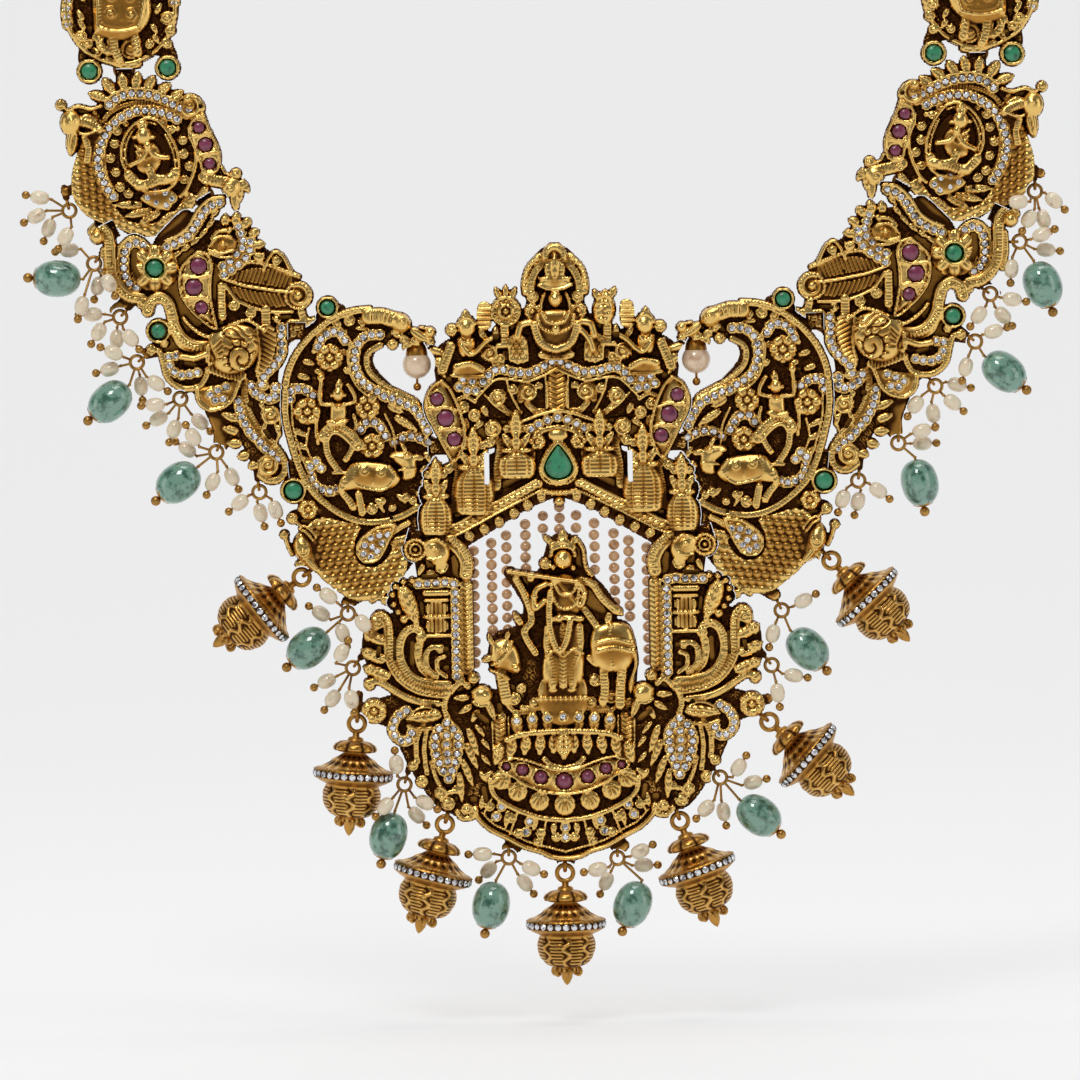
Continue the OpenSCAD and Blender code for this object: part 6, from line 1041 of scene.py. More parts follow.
# The centre plate as far as both halves are the same: pots, roof, columns, scrolls, birds and base
CENTRE = """
base 0 -24.4,-21 -18.6,-20.6 -18.4,-38.6 -22,-42 -30,-40 -35,-36 -35.6,-30 -30,-26
base 0 -36,-43.5 -30,-41 -22,-42 -16,-40 -10,-42 -9,-50 -12,-62 -21,-63 -27,-56 -31,-48 -34,-46
base 0 -12,-54 -16,-63.5 -9.6,-67.8 -2,-71 2,-71 3,-48 -8,-48
base 0 -25,-4 -22.4,-9 -16,-7 -12,-4 -4,-1.6 2,-2 2,12 -3,12 -9,4 -16,0
base 0 -20,8 -22,20 -16,24 -12,24 -8,24 -5,30 -5,36 2,38 2,8 -12,8 -18,4
flat 5,0,0.3 -21.6,-14.6 -14,-10 -6,-5.4 2,-2.4
flat 2.4,0,0.3 -30,-24.6 -27,-25.4 -24,-27
flat 2.8,0,0.3 -21.2,-17 -20.8,-21.6
flat 1.6,0,0.3 -25.4,-16 -24.6,-21.4
flat 2,0,0.3 -9,-69 -10.3,-69.2
flat 1.5,0,0.3 -36.9,-43.2 -34.4,-43.8
beads 1.1,1.7,0.6,1.15 -2.7,37.3 -3.8,36.3 -4.6,35.3 -5.1,34.2 -5.4,33 -5.5,31.9 -5.4,30.7
flower 2.3,9,2.1 0,37.3
comb 1.5,1.9,0.6,0.5 -1.6,36.6 -3.4,34.6 -4.2,32.6 -4.4,31
fill 2.6,0.8 0,37.2 -1.5,36.4 -1.7,34.4 -2.8,33.2 -2.8,31.8 0,31 2.8,31.8 2.8,33.2 1.7,34.4 1.5,36.4
rope 0.7,3,0.5,0.45 -2.9,32.1 -1.5,31.5 0,31.3
beads 0.7,3,0.5,0.7 -2.6,33.3 -1.4,33.2 0,33
leaf 1.7,3,0.8,3 0,33.4 0,37.4
leaf 1.1,2.9,0.6,3 -1.2,33.6 -1.5,36
dome 1.25,1.5,0,2.6,1.3 0,29.6
dome 0.18,0.42,0,3.75,0.4 0,29.55
dome 0.26,0.13,8,3.55,0.35 -0.46,29.95
dome 0.34,0.13,0,3.6,0.3 0,28.75
curl 1.15,1.9,0,1 -4.1,30
flower 1.6,9,1.9 -4.1,27.4
round 0.7,1.8,0.5 -1.9,30.6 -2.5,29 -2.6,27.4
fill 2,0.9 -4.4,26.4 -2,27.8 2,27.8 4.4,26.4 4.3,23 2.6,20.2 -2.6,20.2 -4.3,23
rope 0.7,2.9,0.5,0.4 -2.4,27.3 -1.6,25.7 0,25.1
beads 0.6,2.9,0.45,0.6 -3.3,26.7 -2.5,24.4 0,23.4
dome 0.7,0.8,0,2.9,0.6 0,24.2
ribs 1.4,2.8,0.7,0.5 -3.9,25 -3.2,22.6 -2,21.2 0,20.5
comb 1.5,1.7,0.6,0.5 -2.6,19.6 -1,19.3 0,19.3
round 1.4,2,0.8 -4.5,25.4 -6.2,25 -6.9,23
scales 1.5,0.7,1.1 -8.1,18.4 -8.3,22.4 -6.9,23.4 -5.5,22.4 -5.3,18.6
round 0.45,1.7,0.5 -8.2,18.6 -8.4,22.2 -6.9,23.4 -5.4,22.2 -5.2,18.6
hatch 1.2,0.7,0.85,90 -13.9,24.6 -13.9,28.8 -11.7,28.8 -11.7,24.6
ribs 1.7,1.3,0.7,0.6 -9.2,25 -9.2,22
rope 1.1,1.5,0.6,0.5 -8.2,21.4 -10.4,21.4
curl 1.6,1.4,60,1 -12,20
curl 1,1.3,200,1 -10,19
leaf 1.5,1.2,0.7,3 -12.6,22.6 -14,24.4 -10.8,22.4 -10.8,25
dome 1.55,1.8,0,1.9,1.2 -16,24.7
dome 0.16,0.38,0,3,0.35 -15.9,24.6
dome 0.2,0.12,0,2.9,0.3 -16.45,25 -15.4,25
rope 0.7,2.4,0.5,0.4 -17.6,25.2 -16.8,26.4 -15.4,26.5 -14.5,25.4
leaf 1.5,2.2,0.7,3 -16.1,26 -16.2,28
flower 1.15,6,1.7 -18.7,24.3
fill 1.8,0.9 -17.9,22.9 -16,23.4 -14.4,22.7 -14.8,20.2 -17.2,19.4
rope 0.5,2.7,0.4,0.4 -17.2,22.7 -16,21.9 -15,22.6
comb 1.9,1.4,0.6,0.5 -18.9,21.4 -19.6,19.6 -20.5,17.3
round 0.95,2.3,0.7 -17,21.6 -15.8,20 -14.6,20.2 -12.8,22 -11.2,23
fill 1.2,0.8 -18.4,18.6 -16,19 -13.8,18.4 -13.2,16.3 -16,15.8 -18.8,16.4
ribs 1.2,1.7,0.7,0.5 -18,17.8 -15.4,18.2 -13.4,17.2
rope 0.8,1.4,0.5,0.5 -18.8,16.2 -16,15.8 -13,16
rope 1.4,0.9,0.6,0.5 -22.4,20.8 -20,20
curl 0.9,1.2,0,1 -11,18.6 -21.2,18.6
leaf 1.2,1,0.6,3 -21,17.4 -20,15.6 -9.4,20.6 -8.6,18.6
cz 1.5 -13.2,14.9 -12,16.4 -10.7,17.1 -9.2,17 -7.8,16.6 -6.3,16.4 -4.8,16.4 -3.3,17 -1.9,17.7 -0.8,18.3
gems 1.4 -17.6,14.1 -16.1,13.5 -14.6,13.4 -16.8,15.4 -15.2,15
round 0.6,1.3,0.5 -14.4,12 -12.6,14 -10.8,15.3 -8.4,15.3 -5.6,14.9 -3.2,15.5 0,17.1
chevron 3.4,0.8,0.8,0.95 0,16.6 0,10.2
round 0.45,1.2,0.5 -2,15.8 -1.9,10
curl 1.7,1.1,0,1 -5.2,12.9
curl 1.6,1.1,180,-1 -10.6,12
curl 1,1.1,90,1 -7.9,13.4
curl 0.8,1.1,0,-1 -3.3,14
round 0.5,1.2,0.5 -9,15 -8.2,12.4 -7,10
round 0.5,1.2,0.5 -13,12.6 -11.2,10.6 -9.4,9.4
comb 1.3,0.8,0.6,0.45 -5.4,10.9 -4.2,9.6 -2.6,9.4
comb 1.3,0.8,0.6,0.45 -9.8,10.2 -8.4,9 -6.8,9.2
comb2 1.1,0.8,0.6,0.45 -6.6,11.4 -6.8,13 -6.2,14.4
round 0.7,1.4,0.5 -6.6,7.6 -4.5,8.4 -2,9.2 0,9.5
gems 1.4 -4.8,6.3 -3.4,7.1 -1.8,7.8
ribs 1,1.3,0.6,0.5 -3.8,5.4 -2,6.2 0,6.6
dome 1.9,1.2,0,1.3,0.9 0,5.1
flower 1.55,6,1.5 -3.7,4
curl 1.2,1.2,0,1 -17,10.4
curl 1.2,1.2,180,1 -14.9,9
curl 1.6,1.4,90,-1 -11.6,6.5
ribs 0.9,1.1,0.5,0.45 -18,11.8 -16.4,12.3 -14.8,11.4
leaf 1.5,1,0.7,4 -13.4,7.8 -15.4,6.4 -13.4,10.6 -12.6,8.6 -16.6,8.4 -16.2,6
fill 1,0.5 -20.7,15.2 -23.5,12.4 -23.5,9.5 -22,6.5 -20.2,3 -18.7,0.9 -17.3,3 -16.8,6 -17.8,10 -19.5,13.5
round 0.55,1.7,0.55 -20.7,15.3 -22.6,14 -23.6,11.6 -23.4,9.2 -22,6.5 -20.3,3 -18.7,0.8 -17.2,3 -16.7,6
  -17.6,10 -19.2,13.6 -20.7,15.3
beads 0.4,1.5,0.35,0.45 -22.9,11.6 -22.7,9.2 -21.4,6.4 -19.9,3.6
round 0.5,1.5,0.5 -23.1,10.3 -20.6,10.5 -18,9.9
round 0.5,1.5,0.5 -21.2,6.4 -19.6,6.8 -17.4,6.4
loop 1.33,0.35,1.3,0.4,0 -21.6,12
loop 1.63,0.35,1.3,0.4,0 -20.1,8.5
loop 1.38,0.35,1.3,0.4,0 -18.6,4.7
fall 1.25 -21.6,12
fall 1.55 -20.1,8.5
fall 1.3 -18.6,4.7
curl 1.05,1.3,90,1 -12.3,4
ribs 1.7,0.9,0.7,0.55 -11.4,5 -10.3,3.5 -10.9,0 -11.1,-4
curl 0.95,1.3,0,1 -19.8,-0.6
ribs 1.5,0.9,0.7,0.5 -18.9,0.4 -18,-1 -18.6,-4 -18.9,-8
leaf 1.4,0.9,0.6,3 -13.4,4.4 -14.6,2.4 -21,0.6 -23,-1.2 -5,3 -4.2,0.6
pot 3.7,12.4,5 -7.5,-2.5
pot 3.9,16,8.6 -15.2,-9
pot 3.2,14,7 -22.1,-12.5
beads 0.55,1.5,0.45,0.6 0,4.5 -1.3,3.2 -2.3,1.8 -3,0.4 -3.4,-0.8 -3,-2.3 -1.9,-3.4 0,-3.8
round 0.7,1.7,0.5 0,3.9 -1.1,2.7 -1.95,1.5 -2.6,0.2 -2.85,-0.8 -2.5,-1.9 -1.5,-2.8 0,-3.2
rope 1.6,1.4,0.8,1.15 -21.6,-12.8 -18,-11.2 -13,-8.6 -8,-6 -3.6,-3.6
round 0.4,1.9,0.4 -22,-11.9 -18.4,-10.4 -13.4,-7.8 -8.4,-5.1 -4,-2.8
round 0.4,1.9,0.4 -21,-13.6 -17.6,-12.1 -12.6,-9.5 -7.6,-6.9 -3,-4.6
beads 1,1.4,0.6,1 -2.8,-4.8 -1.6,-5.2 0,-5.3
dome 0.95,1.1,0,1.2,0.5 -3.2,-5.8 -5.7,-7.3 -8.2,-8.7 -10.9,-10.2 -13.6,-11.5 -16.3,-12.7
loop 0.62,0.32,1.5,0.45,0 -3.2,-5.8 -5.7,-7.3 -8.2,-8.7 -10.9,-10.2 -13.6,-11.5 -16.3,-12.7
dome 0.3,0.3,0,1.6,0.5 -3.2,-5.8 -5.7,-7.3 -8.2,-8.7 -10.9,-10.2 -13.6,-11.5 -16.3,-12.7
dome 0.9,0.8,0,1.4,0.7 0,-6.9
loop 1.8,0.8,1.9,0.8,2 -26,-15
loop 1,0.5,1.9,0.5,0 -26,-15
dome 0.5,0.5,0,1.4,0.8 -26,-15
fill 2,1.2 -24.4,-13.2 -22.4,-12.8 -20.4,-13.6 -19.6,-16 -21,-18.4 -23.4,-17.6 -24.6,-15.6
dome 0.5,0.4,0,3.1,0.5 -22.6,-14.8
loop 0.75,0.28,2.9,0.35,0 -22.6,-14.8
round 0.4,3,0.4 -24,-16.6 -22.6,-16.8 -21.2,-16.4
rope 0.5,2.9,0.4,0.4 -23.8,-13.6 -22,-13.2 -20.6,-14.2
curl 1.25,2,0,1 -21.4,-18.2
comb 2.6,1.7,0.9,0.5 -19.7,-13.6 -18,-15.2 -16.9,-17.4 -17,-19.4
leaf 1.2,2,0.6,0 -24.6,-17.6 -25.6,-19.8
curl 0.8,1.6,0,1 -23.4,-19.4
cz 1.5 -25.6,-21.2 -24,-21.1 -22.3,-21.1 -20.6,-21 -19.2,-21.3
cz 1.5 -19,-22.9 -19,-37.9
ribs 1.1,1.5,0.6,0.5 -24.4,-22.9 -20.5,-22.9
round 0.7,1.6,0.5 -24.4,-24.2 -20.5,-24.2
hatch 1.1,0.7,0.75,0 -24.1,-24.8 -20.7,-24.8 -20.7,-26.6 -24.1,-26.6
beads 0.8,1.6,0.5,0.8 -24.5,-27.2 -20.4,-27.2
hatch 1.1,0.7,0.75,0 -24.1,-27.8 -20.7,-27.8 -20.7,-29.9 -24.1,-29.9
round 0.8,1.6,0.5 -24.6,-30.6 -20.3,-30.6
leaf 3.4,1.5,1.2,6 -28.6,-21.6 -25.8,-28.8
leaf 1.6,2.3,0.7,3 -28.2,-22.6 -26.6,-26.8
dome 0.6,0.6,0,1.5,0.7 -28.3,-20.8 -26.7,-20.6 -29.7,-21.6 -30.3,-23.1 -30.1,-24.8 -29.3,-26.2
dome 0.85,0.85,0,1.5,0.9 -28.3,-27.5
chevron 1.9,0.9,0.7,0.9 -17,-21.3 -17,-37
round 0.35,1.3,0.4 -17.9,-21.2 -17.9,-38
round 0.35,1.3,0.4 -16.1,-21.4 -16.1,-36.6
comb 2,1.2,0.9,0.6 -33.4,-28.6 -33.2,-27.2 -32.2,-26.9 -31.3,-28.4 -31.2,-32 -30.9,-35 -29,-38.2 -26,-40.2
  -22.5,-41 -21,-41
curl 1.1,1.6,90,1 -32.9,-28.2
comb2 1.7,1.4,0.7,0.5 -25,-30.9 -25.6,-29.6 -27,-29.2 -28.5,-30.4 -29.2,-32.8 -28.8,-35.5 -27,-38 -24,-39.2
  -20.6,-39.5
curl 0.95,1.7,200,1 -25.3,-30.9
comb 1.7,1.1,0.7,0.45 -25.6,-32 -25.9,-34 -25.2,-36.4 -23.6,-38
comb 1.1,1.3,0.6,0.45 -21.6,-32.6 -23.6,-32.8 -24.4,-34 -24.3,-36.2 -22.6,-38
curl 0.8,1.4,90,-1 -21.9,-33
comb2 0.9,1.3,0.5,0.4 -21.2,-34.4 -22.5,-35 -22.4,-36.8 -20.9,-38
leaf 2.5,1.4,0.8,5 -31.8,-31.6 -35.7,-29.6 -31.8,-35 -36.2,-32.8 -31,-37.9 -35.9,-35.9
curl 1.1,1.7,180,1 -34.5,-30.3 -34.8,-33.5 -34.5,-36.5
ribs 1.4,1.2,0.7,0.5 -35,-38.8 -33.4,-38.6 -32,-39.2 -29,-41.2 -26,-42.4 -22.5,-42.8
curl 1,1.4,180,1 -34.7,-39.3
ribs 1.2,1.2,0.6,0.5 -18,-38.6 -20.4,-41 -21.4,-43.2 -20.9,-45.4
flower 2.3,7,1.5 -34,-44
cz 1.4 -28.2,-44 -29.7,-44.9 -30.6,-46.4 -30.6,-48 -29.6,-49.2 -28.1,-49.4 -27.3,-48
fill 0.8,0.5 -28.4,-46 -27.2,-43.8 -24.6,-42.9 -22.2,-44 -22.2,-46 -24.6,-47.2 -27.2,-46.8
leaf 2.6,1.4,0.9,5 -22,-44.8 -28.2,-45.4
round 0.45,1.5,0.5 -28.2,-45.6 -26.6,-43.9 -24.4,-43.4 -22.4,-44.2
comb 0.8,1.2,0.5,0.45 -28,-46.8 -26,-47.4 -23.6,-47.2
dome 1.9,1.85,0,1.9,1.5 -14.5,-41.5
dome 0.45,0.45,0,3.2,0.4 -13.9,-41.6
loop 0.75,0.28,3,0.3,0 -13.9,-41.6
rope 0.5,2.9,0.4,0.4 -16.2,-40.9 -15,-40 -13.4,-40.2
rope 0.5,2.6,0.4,0.4 -16.2,-42.6 -15.2,-43.3 -14,-43.3
dome 1.05,1.05,0,1.9,1 -16,-38.4
curl 0.9,2.6,0,1 -16,-38.4
leaf 1.7,2.1,0.9,0 -13.6,-42.6 -12.3,-46
cut 0.25,0.5 -13.2,-43 -12.5,-45.4
leaf 1.5,1.4,0.7,3 -16.6,-40.2 -18.2,-38.8 -16.8,-41.8 -19.8,-41.9 -16.4,-43.2 -18.8,-44.8 -15.2,-44
  -16.6,-46.4
fill 1,0.5 -20.5,-45.6 -18.5,-48.6 -18.7,-51.8 -20.6,-57 -22.6,-54.6 -23.8,-51 -23.2,-47.6
cz 1.5 -20.9,-46.3 -19.2,-48.3 -19,-50.6 -19.4,-52.8 -20.2,-54.9 -20.8,-56.4
cz 1.5 -22.3,-47.4 -23.2,-49.4 -23.1,-51.6 -22.4,-53.6 -21.7,-55
gems 1.5 -21,-48.6 -21.1,-50.2 -21,-51.8 -20.9,-53.3
comb 1.1,1,0.7,0.5 -25.2,-46.6 -26.4,-49 -26.6,-51.4 -26.4,-53.2
curl 1,1.3,90,1 -27.2,-54
comb 1,1,0.7,0.5 -24.6,-47.6 -25.1,-50.6 -25,-53.4 -24.7,-55.4
curl 1.15,1.3,90,1 -25.6,-56.9
comb 0.9,1,0.7,0.5 -23.9,-53.4 -23.2,-56 -22.4,-57.8
curl 1.2,1.3,90,1 -22.3,-59
leaf 1.7,1,0.8,5 -17.2,-47.4 -15.4,-52.4 -17.7,-50 -15.6,-54.8 -18.4,-52.9 -16.4,-58 -18.9,-55.4 -18.5,-60.8
leaf 1.1,0.9,0.6,3 -15.8,-46.8 -14.2,-49 -14.8,-49.4 -13.2,-51.4 -14.8,-52.4 -13.2,-54.2 -15.2,-55.4
  -13.8,-57.4
chevron 2.4,0.8,0.7,0.8 -11.4,-45.6 -11.2,-53.2
round 0.4,1.2,0.4 -12.8,-46.2 -12.7,-53.4
round 0.4,1.2,0.4 -9.9,-45.6 -9.8,-51.4
curl 1.25,1.3,0,1 -21,-61
curl 1.15,1.3,180,1 -17.6,-62
ribs 1,1.1,0.6,0.45 -19.4,-62.4 -18.6,-63.6 -16.6,-63.4 -16.2,-61.8
ribs 0.9,1.1,0.6,0.45 -22.2,-60.2 -20.8,-58.9 -18.8,-58.8
leaf 1.2,1,0.6,3 -19.4,-57.6 -20.6,-59.6 -14.6,-56.4 -12.8,-55.2
curl 1.2,1.3,0,1 -8.8,-42.3
curl 1.1,1.3,90,1 -5,-43.2
ribs 1,1,0.6,0.45 -9.9,-43.4 -8.6,-44.6 -6.2,-44.6 -4,-43.9 -2,-44.2
leaf 2.5,1.1,0.7,0 -8.2,-48.6 -8.6,-44 -5.5,-48.2 -5.6,-43.6 -2.75,-48 -2.8,-43.5 0,-48 0,-43.4
gems 1.9 -8.4,-46.2 -5.6,-45.9 -2.8,-45.7
ribs 1.1,1.6,0.7,0.55 -10.2,-49.6 -8,-48.8 -5,-48.4 0,-48.2
leaf 2.4,1.2,0.9,4 -11.3,-50.4 -12.4,-54.2 -9.1,-49.4 -9.9,-53.2 -6.6,-49 -7.2,-52.6 -4.1,-48.8 -4.4,-52.6
  -1.7,-48.8 -1.9,-52.4
leaf 3.4,1.5,1.3,5 0,-48.6 0,-53.4
comb2 1.1,1.3,0.6,0.5 -3.5,-53.2 -2.2,-54.4 0,-54.9
fill 0.9,0.4 -11.8,-54.2 -8.5,-53.2 -4,-54.6 0,-55.2 0,-59.8 -3.2,-59.3 -7,-57.8 -10.4,-55.6
round 0.5,1.6,0.5 -11.7,-54.5 -10,-53.2 -8.4,-53 -6,-53.6 -3.6,-54.5 -2,-55.1 0,-55.3
round 0.5,1.6,0.5 -11.7,-54.6 -10,-55.7 -6.9,-57.8 -3.3,-59.2 0,-59.6
loop 0.93,0.35,1.3,0.4,0 -10.4,-54.4
loop 1.28,0.35,1.3,0.4,0 -7.5,-55.1
loop 1.43,0.35,1.3,0.4,0 -4.2,-56.5
loop 1.73,0.35,1.3,0.4,0 0,-57.3
fall 0.85 -10.4,-54.4
fall 1.2 -7.5,-55.1
fall 1.35 -4.2,-56.5
fall 1.65 0,-57.3
shell 1.85,1.3 -11.7,-57.2,225 -8.7,-59.4,240 -4.7,-61.3,255
shell 2,1.4 0,-62,270
ribs 1,1.2,0.6,0.5 -13.4,-56.8 -12.8,-59.4 -10.4,-61.4 -7,-63 -3.4,-64 0,-64.3
round 0.9,1.3,0.6 -16,-62.2 -15.8,-63.5 -13.6,-65.7 -10.5,-67.3 -7.5,-69 -4.6,-69.9 -2.5,-70.9 0,-71.2
beads 0.5,1.2,0.4,0.6 -15,-62.6 -13,-64.7 -10,-66.3 -7.2,-67.9 -4.4,-68.8 0,-70
gems 1.3 -11.4,-61.6 -12.4,-63.4 -6.4,-64.4 -7.1,-66.3
curl 0.95,1.2,0,1 -13.6,-61.6 -9.6,-63.8
curl 0.95,1.2,180,-1 -8.4,-66.6 -4.4,-66.6
curl 0.9,1.2,90,1 -1.6,-67.4 -5,-68.2
leaf 1.4,1.1,0.6,4 -14.6,-59.6 -15.2,-62.2 -10.2,-62.4 -10.8,-65.6 -5.2,-63.8 -5.8,-66.2 -2,-64.8 -2.2,-67
round 0.5,1.2,0.5 -8.6,-62.9 -10,-66.6
round 0.5,1.2,0.5 -3.5,-64.6 -4.4,-69
round 0.5,1.2,0.5 -13.2,-60.2 -14.6,-62.8
pierce 0.75 -28.4,18 -27,17.2 -25.4,16 -24.6,14.4
pierce 3.3 -25.1,18.4
pierce 0.5 -20.9,-33.2
pierce 0.5 -20.9,-36.6
pierce 0.45 -15.6,-44.8 -13.8,-46.4
pierce 0.4 -11.4,-43.4 -11.4,-44.6
pierce 0.6 -19.9,-60.2
pierce 0.6 -16.4,-60.4
pierce 0.4 -14.6,-58.4 -14.2,-60.6
pierce 0.55 -32.4,-25.2
pierce 0.3 -30,-31 -30.1,-34.4
pierce 0.4 -26.9,-32 -27,-35.6
pierce 0.4 -32.9,-32.8 -33.1,-34
pierce 0.5 -19.4,15.4
pierce 0.6 -10.8,22.9
pierce 0.4 -10.9,26 -10.9,28.4
pierce 0.45 -12.9,1.8 -12.9,-3.2
pierce 0.45 -22.4,-19.9 -24.6,-20
pierce 0.3 -25.2,-24.8 -25,-26.8
pierce 0.45 -23.3,-43.2
pierce 0.45 -32.4,-41
"""
# What is not the same left and right on the centre plate, above all the flute player with the cow
SINGLE = """
base 0 -12,-30.4 -13.4,-34 -12.4,-38 -7,-41 -7,-44.4 8,-44.4 12.4,-43 13.6,-36 12.4,-29.4 8,-27.6 4,-25
  3,-20 2.4,-13.2 -1.6,-13.2 -3.6,-18.4 -6,-22 -6.4,-27.6 -9,-29.4
flat 2,0,0.3 -9,-19.6 -7.2,-22.4 -5.6,-26 -7,-30
flat 2,0,0.3 2.6,-19.6 6,-22 9.6,-26.8
gems 1.5 0,18.9
gems 1.4 0,8.3
gems 1.9 0,-45.6
gems 1.3 0,-65.6 0,-67.4
dome 2.7,2.7,0,1.3,0.3 -8.9,27.5
flower 2.6,14,1.5 -8.9,27.5
loop 2.5,0.5,1.7,0.4,0 -8.9,27.5
loop 1.1,0.4,2,0.4,0 -8.9,27.5
leaf 1.2,1.4,0.7,0 -9.8,29.8 -10.8,31.9 -8.9,30 -8.9,32.3 -8,29.8 -7,31.9
leaf 4.4,1.4,1.3,6 8.5,24.9 9,31.2
curl 1.5,2,90,1 8.9,27.4
leaf 1.4,1.4,0.7,0 9.8,29.6 10.9,31.6 7.8,29.4 6.8,31.2
round 1.2,2.4,0.7 4.2,24.4 6,22.2 6.6,20.4
dome 1.7,1.8,0,2.2,1.5 0.5,-17.2
dome 0.2,0.4,0,3.7,0.4 0.5,-17.4
dome 0.26,0.14,0,3.5,0.35 -0.1,-17 1.15,-17
dome 0.32,0.12,0,3.4,0.35 0.5,-18.2
beads 0.7,2.9,0.5,0.65 -1.7,-16.6 -1.2,-15.4 0.5,-14.9 2.2,-15.4 2.7,-16.6
ribs 1,2.6,0.7,0.45 -1.4,-15 0.5,-14 2.4,-15
leaf 2,2.4,0.8,5 0.4,-14.6 0.6,-11.8
leaf 1.3,2,0.7,4 -1.2,-14.6 -3.1,-12.8 2,-14.6 3.2,-13
beads 0.8,1.9,0.5,0.75 3.2,-13.9 4.1,-15.6 4.3,-17.6 4.7,-19.2 5.6,-20.2
curl 1.1,2,0,1 -2.7,-18
dome 0.5,0.6,0,2.3,0.6 -1.3,-18.6 2.3,-18.8
round 0.8,2.9,0.7 -9.5,-19.2 -3,-20.3 3.2,-21.3
beads 0.9,3,0.6,2.4 -8.6,-19.4 2.6,-21.2
fill 1.8,1 -1.8,-20.9 0.4,-19.6 3.2,-20.8 3.6,-23.6 3.2,-27.2 -1,-27.2 -2.2,-24 -2.5,-22
rope 0.6,2.9,0.5,0.4 -1.4,-20.8 -0.4,-23 1,-23.6 2.4,-22.8 3,-20.9
beads 0.6,2.8,0.5,0.6 -1.8,-21.4 -1,-25 0.9,-26.2 2.8,-25 3.3,-21.8
round 1.2,2.2,0.8 -2.6,-21.6 -4.4,-22.6 -4.9,-24.8 -4.6,-26 -3,-24.6
rope 0.5,2.7,0.5,0.4 -5.3,-23.8 -4.3,-23.9
dome 0.7,0.6,0,2.9,0.6 -5.4,-20.6 -0.6,-21
round 1.2,2.2,0.8 3.4,-21.6 4.2,-23.6 3.4,-25.6 1.6,-23.6 -0.2,-21.6
rope 0.5,2.8,0.5,0.4 4.6,-23.4 3.6,-23.9
rope 1.1,2.7,0.6,0.5 -1.8,-28 1,-27.7 3.6,-28
dome 0.8,0.8,0,2.9,0.7 -0.4,-27.8
fill 1.6,1.2 -2.4,-28.6 0.8,-28.4 3.6,-28.6 4.2,-33 3.8,-39 1.2,-40.6 -1.6,-40.4 -3.8,-38.6 -3.4,-33
comb 1.5,2.3,0.6,0.55 -2.4,-29.4 -2.6,-33 -1.6,-36.6 -1.8,-39.8
comb2 1.5,2.3,0.6,0.55 3.2,-29.4 3.2,-33 1.8,-36.6 1.8,-39.8
chevron 1.5,2.4,0.7,0.7 0.3,-29.2 0.1,-39.8
round 0.5,2.7,0.5 -3,-34.6 -1.6,-33.6 0.2,-34.6 2,-33.4 3.8,-34.2
ribs 1.1,3,0.6,0.5 -1.9,-23 -2.2,-28 -1.5,-32 -0.3,-33.6 0.9,-31.6 1.6,-28
dome 0.9,0.55,0,2,0.7 -1.7,-40.7 1.6,-40.7
flat 9,1.5,0.5 0,-41.2 0,-42.8
beads 0.9,1.9,0.5,0.9 -4.4,-42.3 4.4,-42.3
comb 1.5,1.6,0.6,0.5 3.2,-21 5.6,-21.8 7.4,-24.4 9.8,-26.7
comb2 1.4,1.6,0.6,0.5 3.4,-25.4 6.6,-30 7.8,-34.6 6.4,-36.2 4.9,-35
comb 1.4,1.6,0.6,0.5 -8,-20.6 -6.3,-24 -5.3,-28 -6.7,-30.4 -4.8,-34
leaf 1.6,1.5,0.7,4 -7.2,-29 -8.6,-26.4 9.4,-26 11.2,-27.6 8.6,-27 8.2,-29.6
fill 1.7,1.2 -13,-33.4 -12.2,-31.6 -9.8,-31.2 -8,-33 -7.2,-36.4 -8.4,-38 -10.4,-37.2 -12.4,-36.6
dome 0.9,0.8,-30,2.6,0.9 -8.3,-36.7
dome 0.35,0.3,0,3,0.4 -10.8,-33.6
round 0.3,3,0.3 -11.5,-33.2 -10.8,-32.9 -10.1,-33.3
leaf 1.1,1.8,0.7,0 -12.4,-32.4 -13.3,-30.3 -10,-31.6 -9.4,-29.8
leaf 1.4,1.6,0.7,0 -12.4,-34.6 -14.6,-35.4
rope 0.6,2.7,0.5,0.4 -12.6,-36 -11,-35.2 -9.6,-33.4 -9,-31.8
beads 0.6,2.5,0.4,0.55 -12.9,-37 -11.2,-37.6 -9.6,-38.6
ribs 2.2,1.4,0.7,0.6 -11,-37.4 -10.6,-40 -10.2,-42.4
fill 1.7,1.3 5.4,-30 9,-28.4 12.4,-29.6 13.3,-33.6 11.8,-37.4 7.6,-37.8 5,-35
rope 0.8,2.8,0.5,0.5 6.4,-32.4 9.4,-31.8 12.6,-32.6
ribs 0.9,2.8,0.5,0.5 6.4,-33.8 9.4,-33.3 12.8,-34
beads 0.6,2.7,0.4,0.6 8.8,-29.2 8.6,-31 8.8,-35.4 9.2,-37
round 0.7,2,0.6 12.8,-32 13.3,-36 12.6,-38.6 12.3,-40.4
leaf 1.3,1.8,0.6,4 12.6,-38.6 12.1,-41.6
ribs 1.9,1.6,0.8,0.6 10.8,-37 10.4,-40.6 10.3,-43.6
ribs 1.7,1.4,0.7,0.6 7.4,-37.4 7.6,-40.4 7.2,-43
curl 1.2,1.3,0,1 5.8,-39.2
curl 1,1.3,90,-1 12,-43.2
ribs 1,1.1,0.6,0.5 -7.4,-43.8 -2,-44.2 3,-44.2 8,-44.2
curl 1,1.3,180,1 -7.4,-40.4
"""


# Where the plates are joined behind their seams: place and the way to the inner plate
SEAMS = points("-23.4,3.4,1,0 -27.6,-12.6,1,-0.3 -48.2,24.6,1,0 -48.6,-0.4,1,0.1 -80.6,44.6,0.45,-0.9"
               " -62.9,49.2,0.5,-0.86 -76.6,72.3,0,-1")
SEAMS_OF = {0: [0, 1], 1: [2, 3], 2: [4, 5], 3: [6]}
